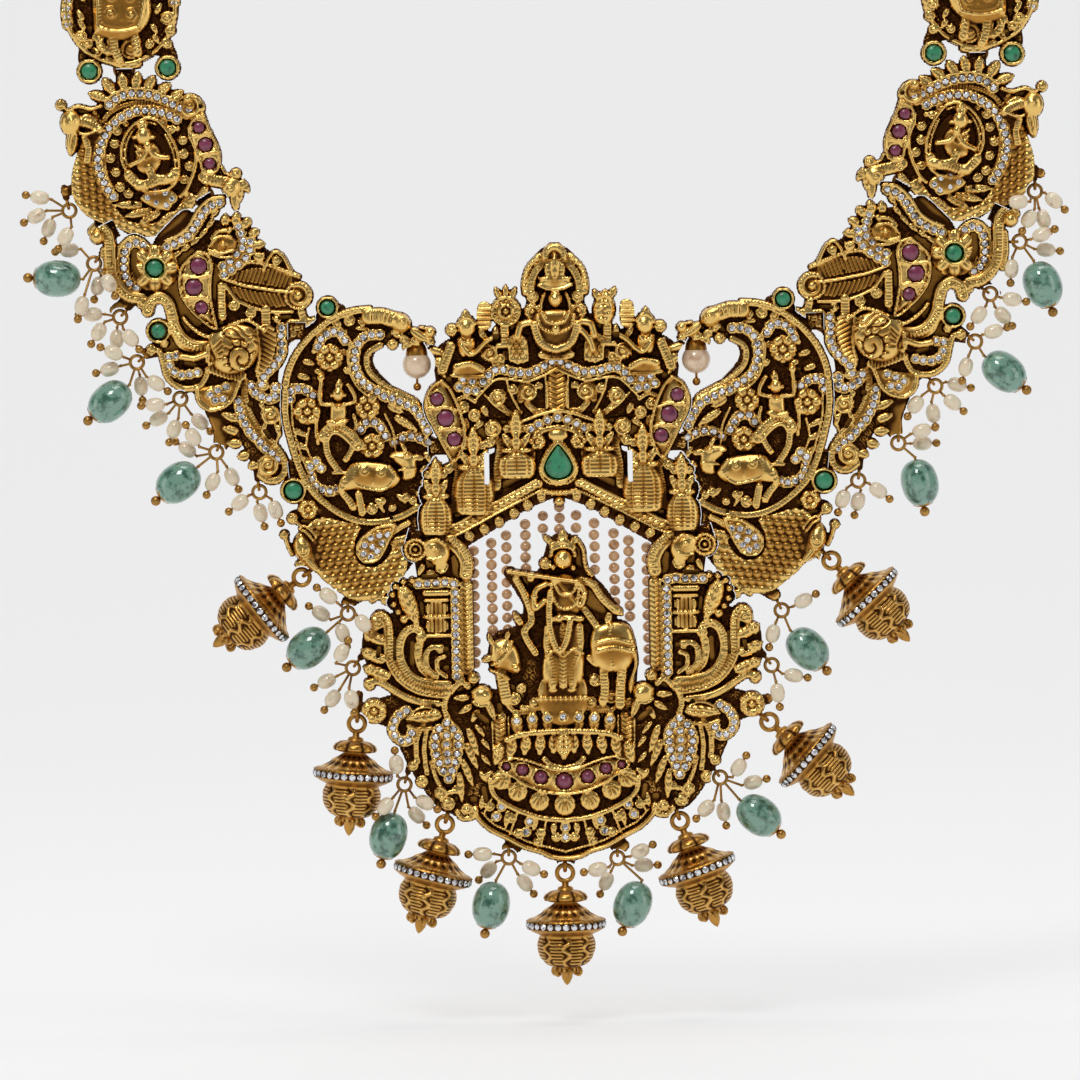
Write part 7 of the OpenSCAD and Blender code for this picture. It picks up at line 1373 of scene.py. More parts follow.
# Bells: middle of the ring and lean in degrees
BELLS = {"bell_c": (-0.2, -74, 0), "bell_l1": (-21.7, -64.8, 14.8), "bell_l2": (-37.2, -46.3, 5.3),
         "bell_l3": (-46.6, -19.7, 53), "bell_r1": (20.7, -65, -18.4), "bell_r2": (37.1, -47.4, -48),
         "bell_r3": (48.8, -18.5, -43)}
# Clusters of a side, left side drawn: hook and way of the ring, then for each pearl its middle, where it
# points and how far it stands forward. The right side is drawn as seen in a mirror.
DROPS_L = """
-87.2,48.2,0.2,-1 -92.2,49.5,-94.3,49.9,0 -92.8,46.2,-94.6,45.3,1.2 -90.8,44,-91.6,42,-1.2
  -87.6,42.4,-88.6,40.8,2.4
-82,38.4,-0.6,-0.8 -87.2,39.9,-89.4,39.7,-1.6 -82.2,33.4,-82.8,31.4,-1.8 -85,30,-85.6,28,2.2
  -79.9,34,-79,32,4.7
-77.4,28.6,-0.7,-0.7 -83.2,28.3,-85.4,28.3,-1 -82.1,25.2,-83.4,23.2,1.2 -76.4,24,-75.2,22.4,1.7
  -79,23.8,-79.1,21.6,-1.6
-74.4,20.2,-0.8,-0.5 -79.5,21.4,-81.3,22.2,1.4 -80.4,18.4,-82.6,17.8,-1.2 -72,15.8,-69.9,14.3,1.4
  -74.9,15.2,-74.7,13,-2.6
-66.9,13.7,-0.7,-0.7 -72.2,11.9,-74.4,11.8,1.6 -71.8,9.3,-73.9,8.2,-1.4 -69,7.4,-69.8,5.4,-0.8
  -64.4,8.6,-62.7,7,-1.4
-61,4.2,-0.4,-0.9 -65.5,6,-66.7,8,1.6 -66.8,3.6,-68.8,5,-2.4 -62.2,-2.2,-63.2,-4.2,1
  -58.8,-1.4,-57.8,-3.4,-1
-54,-3,0.1,-1 -51,-7.4,-50.2,-9.5,1.3 -53.8,-8,-53.2,-10.2,-1 -57.4,-6,-59.2,-7.4,1
-38.4,-25.2,0,-1 -41.8,-23,-43.5,-21.7,3 -43.3,-26.4,-45,-25.3,-1.4 -39.4,-29.8,-38.8,-31.8,1.8
  -35.6,-28,-34.4,-29.6,3.9
-37,-35.3,-0.6,-0.8 -39.6,-33.2,-38.6,-31.4,4.4 -42.5,-38.6,-44.6,-39.6,-1 -41.4,-41.6,-42.8,-43.4,1.4
  -38,-41.6,-37.6,-43.8,4.2
-28.5,-56.3,-0.3,-1 -30.2,-53.6,-30.4,-51.4,2.8 -32.3,-61,-33.8,-62.6,3.8 -25.2,-60.6,-23.4,-61.6,2.6
  -26.8,-63.2,-25.3,-64.8,-2
-10.3,-69.8,0,-1 -15,-70.2,-17.3,-70.2,1.4 -14,-73.4,-15.4,-74.8,-2.4 -6.3,-72.8,-4.2,-73.8,3
  -7.5,-75.8,-6.1,-77.6,-1.4
"""
DROPS_R = """
-86.5,48.4,0,-1 -89.8,45.5,-91.4,44.1,1.2 -88,42.2,-88.8,40.2,-1 -83.3,45.4,-81,45.4,3
  -85.3,42.3,-84.2,40.4,1.4
-82.4,38.2,-1,0 -87.5,39.4,-89.5,40.2,1.2 -88.4,36.6,-90.4,36.4,-1.8 -82,33.4,-81.8,31.2,1.4
-77.2,29.6,-0.7,-0.5 -82,27.9,-84.2,27.5,1.8 -80.4,25,-81.8,23.4,-1 -76,25.2,-74.6,23.4,1.6
-74.4,21.2,-0.7,-0.6 -78.6,22.2,-80.8,22.8,1.2 -73.5,15.9,-72.9,13.7,1
-67.3,13.5,-0.6,-0.8 -72,12.7,-74,12.2,-1 -71,9.6,-72.7,8.2,1.2 -67.6,7.6,-67.9,5.3,-1
  -64.4,9.3,-63.1,7.5,1.2
-61.2,3.6,0,-1 -65.4,4.6,-67.6,5.2,1.2 -65.6,2.2,-67.8,2.2,-2.2
-54,-3,0.1,-1 -51,-7.4,-50.2,-9.5,1.3 -53.8,-8,-53.2,-10.2,-1 -57.4,-6,-59.2,-7.4,1
-39.2,-26.2,-0.4,-0.9 -43.6,-25.6,-45.5,-24.6,1 -38,-31.4,-37.4,-33.5,1.2
-37,-36.2,-0.6,-0.8 -41.6,-39,-43.8,-39.4,1.4 -38.6,-41.9,-38.9,-44.1,4.2
-27.4,-56.3,-0.6,-0.9 -31.4,-55.4,-32.6,-53.6,1.6 -34,-58.4,-36.1,-57.9,-1.4 -28.6,-63.6,-29,-65.9,-1.4
  -25.4,-62.6,-23.8,-64.2,2.6
-9.3,-70.3,0,-1 -5.7,-73.2,-3.6,-73.6,3 -7.2,-75.8,-6.2,-77.8,-1.4 -13.4,-70.2,-15.4,-69.2,1.4
  -14,-73,-16.2,-73,-1.4
"""
QUARTZ_L = points("-89.4,34.9,-94.1,35.1,0 -80.4,12.6,-84,9.6,0 -68.4,-2.2,-72,-5,0 -45.6,-32.5,-49.4,-35.7,0"
                  " -31.9,-66.6,-33.2,-71.2,0.8 -13.7,-79.6,-14.8,-84.4,0")
QUARTZ_R = points("-87.6,30.4,-89.2,25.9,0 -80.4,14.9,-84.1,11.8,0 -64.9,-4.8,-65.7,-9.7,0"
                  " -44.2,-34.4,-47.5,-38.2,0 -34.9,-64.3,-38.7,-67.6,0 -11.9,-79.9,-10,-84.6,0")
OWNER = [3, 2, 2, 2, 2, 2, 2, 1, 0, 0, 0]
EMERALDS = points("-82.75,71.95,1.4 -68.7,72.35,1.4 -71.75,36.45,1.4 -71.35,25.15,1.3 -40.9,28.8,1.25"
                  " -47.7,-4,1.5")
RUBIES = points("-63.3,61.5,1 -62.2,58.4,1.2 -61.5,55,1 -63.9,36.7,1.45 -64.8,32.9,1.45 -63.5,29.2,1.1"
                " -21.6,12,1.15 -20.1,8.5,1.45 -18.6,4.7,1.2")
RUBIES_C = points("-10.4,-54.4,0.75 -7.5,-55.1,1.1 -4.2,-56.5,1.25 0,-57.3,1.55 10.4,-54.4,0.75 7.5,-55.1,1.1"
                  " 4.2,-56.5,1.25")
STRANDS = points("-15.6,-14.6,-37 -12.4,-13.3,-31 -9.7,-11.9,-31 -6.2,-10,-20 -3,-8.4,-13 0,-7,-13 3,-8.4,-13"
                 " 6.2,-10,-20.5 9.7,-11.9,-26.4 12.4,-13.3,-29 15.6,-14.6,-37")
SEED_R = 1.05                    # radius of a seed pearl
BACK = -PLATE_T - 0.3 - 0.12     # middle of the joining rings behind the plates
BACK_BEADS = -PLATE_T - 0.12 - SEED_R
MEDAL_LOOP = (76.9, 95.1, 2.2, 1.3)   # a medallion's loop for the chain: place, radius and wire
CAP_PEARL = (25.1, 18.2, 2.6)    # the pearls in the paisleys' hooks: place and radius
BELL_RING = 1.45                 # radius of a bell's ring
DROP_RING = 1.2                  # from a cluster's hook to the middle of its ring
BELL_ROOM, DROP_ROOM = 2.2, 1.75   # radius of the plate's cut-outs round those rings


def unit(v):
    """The way of v, with length 1."""
    return np.asarray(v, float) / math.hypot(*v)


def heading(x, y):
    """The way x, y as an angle in degrees."""
    return math.degrees(math.atan2(y, x))


def down(a):
    """The way down of a bell that leans by a degrees."""
    return np.array([-math.sin(math.radians(a)), -math.cos(math.radians(a))])


def clusters(text):
    """The hook, way and pearls of each cluster."""
    rows = []
    for line in lines_of(text):
        head, *pearls = line.split()
        h = [float(v) for v in head.split(",")]
        rows.append((np.array(h[:2]), unit(h[2:]), points(" ".join(pearls))))
    return rows


CLUSTERS = {"l": clusters(DROPS_L), "r": clusters(DROPS_R)}


def bells_of(plate, side):
    """Place and lean of the bells on one side of a plate; the middle one counts as left."""
    return [bell for name, bell in BELLS.items()
            if plate == (1 if name[-1] == "3" else 0) and side == ("l" if name == "bell_c" else name[5])]


def add_lugs(r, plate, side, mirrored=False):
    """The lugs that carry the loops of a plate's clusters and bells on one side."""
    m = np.array([-1.0, 1.0]) if mirrored else np.array([1.0, 1.0])
    for owner, (hook, way, _) in zip(OWNER, CLUSTERS[side]):
        if owner == plate:
            r.band(np.array([hook - way * 1.25, hook - way * 3]) * m, 0.8, -0.4, 0.4, "flat")
    for x, y, a in bells_of(plate, side):
        p, n = np.array([x, y]) - down(a) * BELL_RING, down(a)
        flip = np.array([-1.0, 1.0]) if (plate == 1 and side == "r") else np.array([1.0, 1.0])
        r.band(np.array([p - n * 1.55, p - n * 3.8]) * flip, 1.1, -0.4, 0.4, "flat")


def make_room(r, plate, side, mirrored=False):
    """Room at a plate's edge for the rings of the clusters and bells on one side."""
    m = -1 if mirrored else 1
    for owner, (hook, way, _) in zip(OWNER, CLUSTERS[side]):
        if abs(owner - plate) < 2 and plate < 4:
            r.clear((hook + way * DROP_RING) * [m, 1], DROP_ROOM)
    for x, y, _ in bells_of(plate, side):
        r.clear((-x if plate == 1 and side == "r" else x, y), BELL_ROOM)


def spread(r):
    """The same relief on both halves of the centre plate."""
    r.H = np.maximum(r.H, r.H[:, ::-1])
    r.S = np.minimum(r.S, r.S[:, ::-1])
    r.used |= r.used[:, ::-1]
    r.stones += [(-x, y, z, s) for x, y, z, s in r.stones if abs(x) > 0.1]


def clear_of(r, S, at, gap):
    """Take from a relief what lies within the gap of a neighbour with outline distances S."""
    i0, i1 = max(r.i0, at.i0), min(r.i0 + len(r.x), at.i0 + len(at.x))
    j0, j1 = max(r.j0, at.j0), min(r.j0 + len(r.y), at.j0 + len(at.y))
    mine = (slice(j0 - r.j0, j1 - r.j0), slice(i0 - r.i0, i1 - r.i0))
    theirs = (slice(j0 - at.j0, j1 - at.j0), slice(i0 - at.i0, i1 - at.i0))
    r.S[mine] = np.maximum(r.S[mine], gap - S[theirs])


def plates():
    """The five reliefs from the middle outwards, each cut clear of the one before it."""
    centre = Relief(-38.4, 38.4, -74, 41)
    draw(centre, CENTRE)
    spread(centre)
    draw(centre, SINGLE)
    rest = [Relief(-51, -20, -26, 31), Relief(-85, -42, -6, 51), Relief(-90, -53, 40, 74),
            Relief(-88, -65, 69, 94)]
    for r, table in zip(rest, (PAISLEY, ELEPHANT, PEACOCK, MEDALLION)):
        draw(r, table)
    whole = [centre] + rest
    for i, r in enumerate(whole):
        for x, y, nx, ny in SEAMS[SEAMS_OF.get(i, [])]:
            for m in ((1, -1) if i == 0 else (1,)):
                r.pad((m * x, y), (-m * nx, -ny), GAP, take=True)
                r.pad((m * x, y), (m * nx, ny))
        for x, y, nx, ny in SEAMS[SEAMS_OF.get(i - 1, [])]:
            r.pad((x, y), (-nx, -ny))
    raw = [r.S.copy() for r in whole]
    for i in range(1, 5):
        clear_of(whole[i], raw[i - 1], whole[i - 1], GAP)
    return whole


def copy_of(r):
    """A second relief with the same heights and an outline of its own."""
    other = object.__new__(Relief)
    other.__dict__.update(r.__dict__)
    other.S, other.H, other.used = r.S.copy(), r.H.copy(), r.used.copy()
    return other


def cut_stone(r):
    """A round brilliant: table, eight crown facets and a girdle, with a plain cone below."""
    a = np.arange(8) * math.pi / 4
    table = np.stack([0.55 * r * np.cos(a), 0.55 * r * np.sin(a), np.full(8, 0.36 * r)], 1)
    girdle = np.stack([r * np.cos(a + math.pi / 8), r * np.sin(a + math.pi / 8), np.zeros(8)], 1)
    v = np.vstack([table, girdle, [[0, 0, -0.6 * r]]])
    k = np.arange(8)
    k2 = (k + 1) % 8
    tri = np.vstack([np.stack([k, k + 8, k2], 1), np.stack([k + 8, k2 + 8, k2], 1),
                     np.stack([k2 + 8, k + 8, np.full(8, 16)], 1)])
    return outward((v, [tri, k[None, :]]))


def stones_of(rows):
    """All clear stones of a list of (x, y, z, radius) as one mesh, each turned and tilted a little."""
    parts = []
    for x, y, z, r in rows:
        turn, tilt = rng.uniform(0, 45), rng.uniform(-7, 7)
        parts.append(placed(cut_stone(r), x, y, z, turn, tilt))
    return joined(parts)


def cabochon(x, y, r, foot, h):
    """A domed stone that stands at foot."""
    a = np.radians(np.arange(0, 91, 10))
    profile = [(r, 0.0)] + [(r * math.cos(t), 0.3 + h * math.sin(t)) for t in a]
    profile[-1] = (1e-4, profile[-1][1])
    v, faces = turned(profile, 24)
    return outward((v[:, [0, 2, 1]] + [x, y, foot], faces))


def bead(p, q, forward, length, d, power, sides=16, steps=12):
    """A drilled oval bead with its middle at p that points to q."""
    hole = 0.225 + 0.12
    h = length / 2 * math.sqrt(1 - (hole * 2 / d) ** 2)
    y = -h * np.cos(np.linspace(0, math.pi, steps))
    r = d / 2 * (1 - np.abs(2 * y / length) ** power) ** (1 / power)
    profile = [(hole * 0.7, -h + 0.1)] + [(max(a, hole), b) for a, b in zip(r, y)] + [(hole * 0.7, h - 0.1)]
    wobble = rng.uniform(-0.05, 0.05, 3)

    def swell(th, s, prof):
        return prof[:, :1] * (wobble[0] * np.cos(2 * th + 1) + wobble[1] * np.cos(3 * th + 4 * s)) * 0.6

    u = unit(np.array(q) - p)
    part = turned(profile, sides, swell)
    return placed(part, *p, MID + forward, heading(*u) - 90)


def bead_cap(p, q, forward):
    """A scalloped gold cap on the outer tip of a quartz bead; between the petals it dips into the bead."""
    profile = [(1.95, 3.72), (1.62, 4.02), (1.0, 4.3), (0.34, 4.4)]

    def petals(th, s, prof):
        return -0.55 * np.abs(np.sin(3 * th)) * (1 - s) ** 1.5

    u = unit(np.array(q) - p)
    return placed(turned(profile, 36, petals), *p, MID + forward, heading(*u) - 90)


def bell(x, y, lean):
    """A bell: ring, leafy cap, pierced cone, stone-set rim, ribbed ball and scrolled foot."""
    prof = points("0.05,1.45 0.62,1.5 0.62,2.3 1.3,2.55 1.45,2.9 1.5,3.1 2.7,3.25 3.6,3.8 3.95,4.4"
                  " 3.8,4.9 3.1,5.1 2,5.15 2.1,5.4 2.6,5.8 3.3,6.3 4.1,6.9 5,7.5 5.7,8 6.6,8.2"
                  " 7.15,8.5 7.3,8.9 7.3,9.6 7.05,9.95 6.4,10.3 6.1,10.5 5.2,10.9 4.7,11.2 4.75,11.5"
                  " 5,12 5.12,12.5 5.15,13 5.12,13.6 5,14.2 4.8,14.8 4.5,15.4 4.05,16 3.5,16.5"
                  " 2.8,16.85 2.2,17 2.25,17.3 2.2,17.7 1.3,17.85 1.05,18.3 0.95,19 0.5,19.9"
                  " 0.02,20.35")
    fine = [prof[0]]
    for a, b in zip(prof[:-1], prof[1:]):
        carved = 5.3 < a[1] < 8.1 or 11.4 < a[1] < 16.4
        n = max(1, int(math.hypot(*(b - a)) / (0.15 if carved else 0.5)))
        fine += [a + (b - a) * (i + 1) / n for i in range(n)]
    fine = np.array(fine)

    def swell(th, s, p):
        d = p[:, 1:2]
        out = np.zeros((len(p), th.shape[1]))
        leaves = 0.28 * np.abs(np.cos(4 * th)) ** 0.6 - 0.2
        out = np.where((d > 3.1) & (d < 5.05), leaves * np.clip(p[:, :1] / 3, 0, 1), out)
        net = 0.22 * (np.cos(9 * th + 2.4 * d) * np.cos(9 * th - 2.4 * d))
        out = np.where((d > 5.6) & (d < 8.1), net, out)
        out = np.where((d > 8.15) & (d < 8.65), 0.1 * np.cos(44 * th), out)
        out = np.where((d > 8.85) & (d < 9.65), -0.24, out)
        panel = np.cos(8 * th)
        ribs = 0.15 * np.cos(2 * math.pi * d / 0.6)
        scroll = 0.16 * np.cos(16 * th + 2.6 * np.sin(2 * math.pi * (d - 14) / 2.6))
        ball = np.where(panel > 0.35, scroll, np.where(panel > 0.1, -0.2, ribs))
        out = np.where((d > 11.4) & (d < 16.6), ball, out)
        out = np.where((d > 17) & (d < 17.8), 0.12 * np.cos(14 * th), out)
        return out

    v, faces = turned(fine, 96, swell)
    parts = [outward((v * [1, -1, 1], faces))]
    th = np.arange(96)[None, :] * 2 * math.pi / 96
    low = np.broadcast_to(swell(th, None, fine), (len(fine), 96)).ravel() * 2.6
    a = np.linspace(0, 2 * math.pi, 29)[:-1]
    ring = np.stack([BELL_RING * np.cos(a), BELL_RING * np.sin(a), 0 * a], 1)
    parts.append(tube(ring, 0.42, 10, True))
    for k in range(6):
        t = k * math.pi / 3 + 0.3
        spiral = np.array([[2 + 0.9 * f * math.cos(w), -17.9 + 0.9 * f * math.sin(w), 0]
                           for f, w in zip(np.linspace(1, 0.3, 12), np.linspace(2.4, -3.6, 12))])
        v2, f2 = tube(spiral, np.linspace(0.42, 0.25, 12), 6)
        c, s = math.cos(t), math.sin(t)
        parts.append((np.stack([v2[:, 0] * c - v2[:, 2] * s, v2[:, 1], v2[:, 0] * s + v2[:, 2] * c], 1), f2))
    gold = placed(joined(parts), x, y, MID, -lean)
    low = np.concatenate([low, np.zeros(len(gold[0]) - len(low))])
    gems = []
    for k in range(30):
        t = (k + 0.5) * 2 * math.pi / 30
        v3, f3 = cut_stone(0.6)
        c, s = math.cos(t), math.sin(t)
        radial, up, side = v3[:, 2] + 7.08, v3[:, 1] - 9.25, v3[:, 0]
        gems.append((np.stack([radial * c - side * s, up, radial * s + side * c], 1), f3))
    return gold, low, placed(joined(gems), x, y, MID, -lean)


def node_group(name, inputs, outputs, build):
    """A shader node group; build(nodes, links, group input, group output) fills it."""
    tree = bpy.data.node_groups.new(name, "ShaderNodeTree")
    for label, kind in inputs:
        tree.interface.new_socket(label, in_out="INPUT", socket_type=kind)
    for label, kind in outputs:
        tree.interface.new_socket(label, in_out="OUTPUT", socket_type=kind)
    build(tree.nodes, tree.links, tree.nodes.new("NodeGroupInput"), tree.nodes.new("NodeGroupOutput"))
    return tree


def noise_in(nodes, links, scale, detail=3.0, rough=0.55):
    """A noise over the object's own coordinates; scale is in features a metre."""
    place = nodes.new("ShaderNodeTexCoord")
    noise = nodes.new("ShaderNodeTexNoise")
    noise.inputs["Scale"].default_value = scale
    noise.inputs["Detail"].default_value = detail
    noise.inputs["Roughness"].default_value = rough
    links.new(place.outputs["Object"], noise.inputs["Vector"])
    return noise.outputs["Fac"]


def math_node(nodes, links, kind, a, b):
    """A maths node; a and b are sockets or numbers."""
    node = nodes.new("ShaderNodeMath")
    node.operation = kind
    for socket, value in zip(node.inputs, (a, b)):
        if isinstance(value, (int, float)):
            socket.default_value = value
        else:
            links.new(value, socket)
    return node.outputs[0]


def ramp_node(nodes, links, value, low, high, a=0.0, b=1.0):
    """A smooth step of value from low to high, between a and b."""
    node = nodes.new("ShaderNodeMapRange")
    node.interpolation_type = "SMOOTHSTEP"
    for key, v in zip(("From Min", "From Max", "To Min", "To Max"), (low, high, a, b)):
        node.inputs[key].default_value = v
    links.new(value, node.inputs["Value"])
    return node.outputs["Result"]


def mix_node(nodes, links, fac, a, b):
    """A mix of two colours, which are sockets or triples."""
    node = nodes.new("ShaderNodeMix")
    node.data_type = "RGBA"
    links.new(fac, node.inputs["Factor"])
    for socket, value in ((node.inputs[6], a), (node.inputs[7], b)):
        if isinstance(value, tuple):
            socket.default_value = (*value, 1)
        else:
            links.new(value, socket)
    return node.outputs[2]


def build_patina(nodes, links, enter, leave):
    """Dark in the hollows, gold on the slopes and bright on the ridges, with uneven edges of the stain."""
    attr = nodes.new("ShaderNodeAttribute")
    attr.attribute_name = "hollow"
    spots = noise_in(nodes, links, 700.0, 4.0)
    broad = noise_in(nodes, links, 90.0, 2.0)
    wobble = math_node(nodes, links, "MULTIPLY", math_node(nodes, links, "SUBTRACT", spots, 0.5), 0.35)
    wide = math_node(nodes, links, "MULTIPLY", math_node(nodes, links, "SUBTRACT", broad, 0.5), 0.3)
    level = math_node(nodes, links, "ADD", attr.outputs["Fac"], math_node(nodes, links, "ADD", wobble, wide))
    up = ramp_node(nodes, links, level, -0.34, 0.1)
    top = ramp_node(nodes, links, level, 0.12, 0.62)
    colour = mix_node(nodes, links, up, (0.06, 0.02, 0.005), enter.outputs["Mid"])
    links.new(mix_node(nodes, links, top, colour, enter.outputs["Light"]), leave.inputs["Color"])
    links.new(ramp_node(nodes, links, level, -0.3, 0.3, 0.5, 0.27), leave.inputs["Roughness"])


PATINA = node_group("patina", [("Mid", "NodeSocketColor"), ("Light", "NodeSocketColor")],
                    [("Color", "NodeSocketColor"), ("Roughness", "NodeSocketFloat")], build_patina)


def material(name, colour, rough, metal=0.0, **more):
    """A plain material: its nodes, links, shader and itself."""
    m = bpy.data.materials.new(name)
    m.use_nodes = True
    shader = m.node_tree.nodes["Principled BSDF"]
    shader.inputs["Base Color"].default_value = (*colour, 1)
    shader.inputs["Roughness"].default_value = rough
    shader.inputs["Metallic"].default_value = metal
    for key, value in more.items():
        shader.inputs[key.replace("_", " ")].default_value = value
    return m, m.node_tree.nodes, m.node_tree.links, shader


def gold(name, mid, light):
    """A gold with the patina and a fine grain; mid is its colour on slopes and light on ridges."""
    m, nodes, links, shader = material(name, mid, 0.3, 1.0)
    g = nodes.new("ShaderNodeGroup")
    g.node_tree = PATINA
    g.inputs["Mid"].default_value = (*mid, 1)
    g.inputs["Light"].default_value = (*light, 1)
    links.new(g.outputs["Color"], shader.inputs["Base Color"])
    links.new(g.outputs["Roughness"], shader.inputs["Roughness"])
    grain = nodes.new("ShaderNodeBump")
    grain.inputs["Strength"].default_value = 0.25
    grain.inputs["Distance"].default_value = 0.00006
    links.new(noise_in(nodes, links, 2600.0, 3.0), grain.inputs["Height"])
    links.new(grain.outputs["Normal"], shader.inputs["Normal"])
    return m


def veined(name, base, veins_and_painted_reflections, scale, low, high, rough, **more):
    """A stone or pearl of one colour with a second colour in veined streaks, clouds or specks; on the clear
    stones the dark specks are painted reflections.
    """
    m, nodes, links, shader = material(name, base, rough, **more)
    fac = ramp_node(nodes, links, noise_in(nodes, links, scale, 4.0, 0.6), low, high)
    links.new(mix_node(nodes, links, fac, base, veins_and_painted_reflections), shader.inputs["Base Color"])
    return m


ANTIQUE = gold("antique_gold", (0.47, 0.22, 0.04), (0.86, 0.56, 0.17))
BELL_GOLD = gold("bell_gold", (0.58, 0.3, 0.065), (0.92, 0.64, 0.24))
CHAIN_GOLD = gold("chain_gold", (0.6, 0.32, 0.07), (0.88, 0.6, 0.22))
WIRE_GOLD = gold("wire_gold", (0.5, 0.27, 0.07), (0.85, 0.56, 0.2))
RICE = veined("rice_pearl", (0.83, 0.72, 0.53), (0.42, 0.28, 0.15), 420.0, 0.52, 0.78, 0.25,
              Coat_Weight=0.7, Coat_Roughness=0.12, Subsurface_Weight=0.25, Subsurface_Scale=0.001)
QUARTZ = veined("green_quartz", (0.2, 0.37, 0.28), (0.045, 0.13, 0.09), 620.0, 0.45, 0.64, 0.14,
                Coat_Weight=1.0, Coat_Roughness=0.05, Subsurface_Weight=0.2, Subsurface_Scale=0.001)
SEED = veined("seed_pearl", (0.72, 0.42, 0.2), (0.38, 0.17, 0.07), 600.0, 0.5, 0.7, 0.18,
              Coat_Weight=1.0, Coat_Roughness=0.06)
ROUND = veined("round_pearl", (0.82, 0.62, 0.42), (0.5, 0.3, 0.18), 300.0, 0.45, 0.75, 0.2,
               Coat_Weight=1.0, Coat_Roughness=0.08)
RUBY = veined("ruby", (0.23, 0.035, 0.085), (0.09, 0.012, 0.04), 900.0, 0.45, 0.7, 0.3,
              Coat_Weight=0.6, Coat_Roughness=0.2)
EMERALD = veined("emerald", (0.03, 0.26, 0.12), (0.01, 0.09, 0.05), 900.0, 0.48, 0.7, 0.34,
                 Coat_Weight=0.5, Coat_Roughness=0.2)
# The clear stones' near-black specks are painted reflections: dark surroundings mirrored in the facets,
# painted into the colour.
CLEAR = veined("clear_stone", (0.8, 0.8, 0.82), (0.12, 0.11, 0.1), 1500.0, 0.52, 0.6, 0.06,
               Metallic=0.55, Coat_Weight=1.0, Coat_Roughness=0.03)


SIDES = (("l", 1), ("r", -1))    # the drawing shows the left side


def beads_piece(name, parts, skin, replaced, smooth_it=True):
    """Several parts in drawing millimetres as one piece."""
    v, faces = to_world(joined(parts))
    return mesh_piece(name, v, faces, skin, replaced, smooth_it=smooth_it)


def build_plates():
    """All castings with their lugs, and the clear stones set in them."""
    whole = plates()
    for r in whole:
        r.floor()
    centre = whole[0]
    for change in (make_room, add_lugs):
        for side, m in SIDES:
            change(centre, 0, side, m < 0)
    third = 12.1        # half-width of the middle piece of the centre plate
    for name, lo, hi in (("left", -99, -third), ("middle", -third, third), ("right", third, 99)):
        casting("centre_" + name, centre, ANTIQUE, ["centre_plate"] if name == "middle" else [], lo, hi)
    gems = {"centre": list(centre.stones)}
    for i, kind in enumerate(("paisley", "elephant_link", "peacock_link", "medallion"), 1):
        for side, m in SIDES:
            r = copy_of(whole[i])
            make_room(r, i, side)
            add_lugs(r, i, side)
            casting(kind + "_cast_" + side, r, ANTIQUE, [kind + "_" + side], mirror=m < 0)
            gems.setdefault("side_" + side, []).extend((x * m, y, z, s) for x, y, z, s in r.stones)
    for key, rows in gems.items():
        v, faces = to_world(stones_of(rows))
        mesh_piece("clear_stones_" + key, v, faces, CLEAR, (), smooth_it=False)


def build_loops():
    """Loops of the clusters and bells, and the staples behind the plates."""
    parts = []
    for side, m in SIDES:
        for hook, way, _ in CLUSTERS[side]:
            turn = heading(way[0] * m, way[1])
            parts.append(ring_wire(hook[0] * m, hook[1], MID, 0.8, 0.6, turn, True, 16, 6))
        for x, y, nx, ny in SEAMS:
            n = unit((nx, ny))
            for k in (-1.75, 1.75):
                parts.append(ring_wire((x + n[0] * k) * m, y + n[1] * k, BACK, 0.8, 0.6,
                                       heading(n[0] * m, n[1]), True, 14, 6))
    for x, y, a in BELLS.values():
        d = down(a)
        x, y = x - d[0] * BELL_RING, y - d[1] * BELL_RING
        parts.append(ring_wire(x, y, MID, 1, 0.8, heading(*d), True, 20, 8))
    x, y, r, wire = MEDAL_LOOP
    for m in (-1, 1):
        parts.append(ring_wire(m * x, y, MID, r, wire, 0, False, 24, 8))
    beads_piece("loops", parts, ANTIQUE, ())


def build_bells():
    """The bells in gold, each with its row of clear stones; both ride on the bell's own body."""
    for name, (x, y, a) in BELLS.items():
        (v, faces), low, gems = bell(x, y, a)
        v, faces = to_world((v, faces))
        mesh_piece(name + "_cast", v, faces, BELL_GOLD, [name], name, attrs={"hollow": low})
        v, faces = to_world(gems)
        mesh_piece(name + "_stones", v, faces, CLEAR, (), name, False)


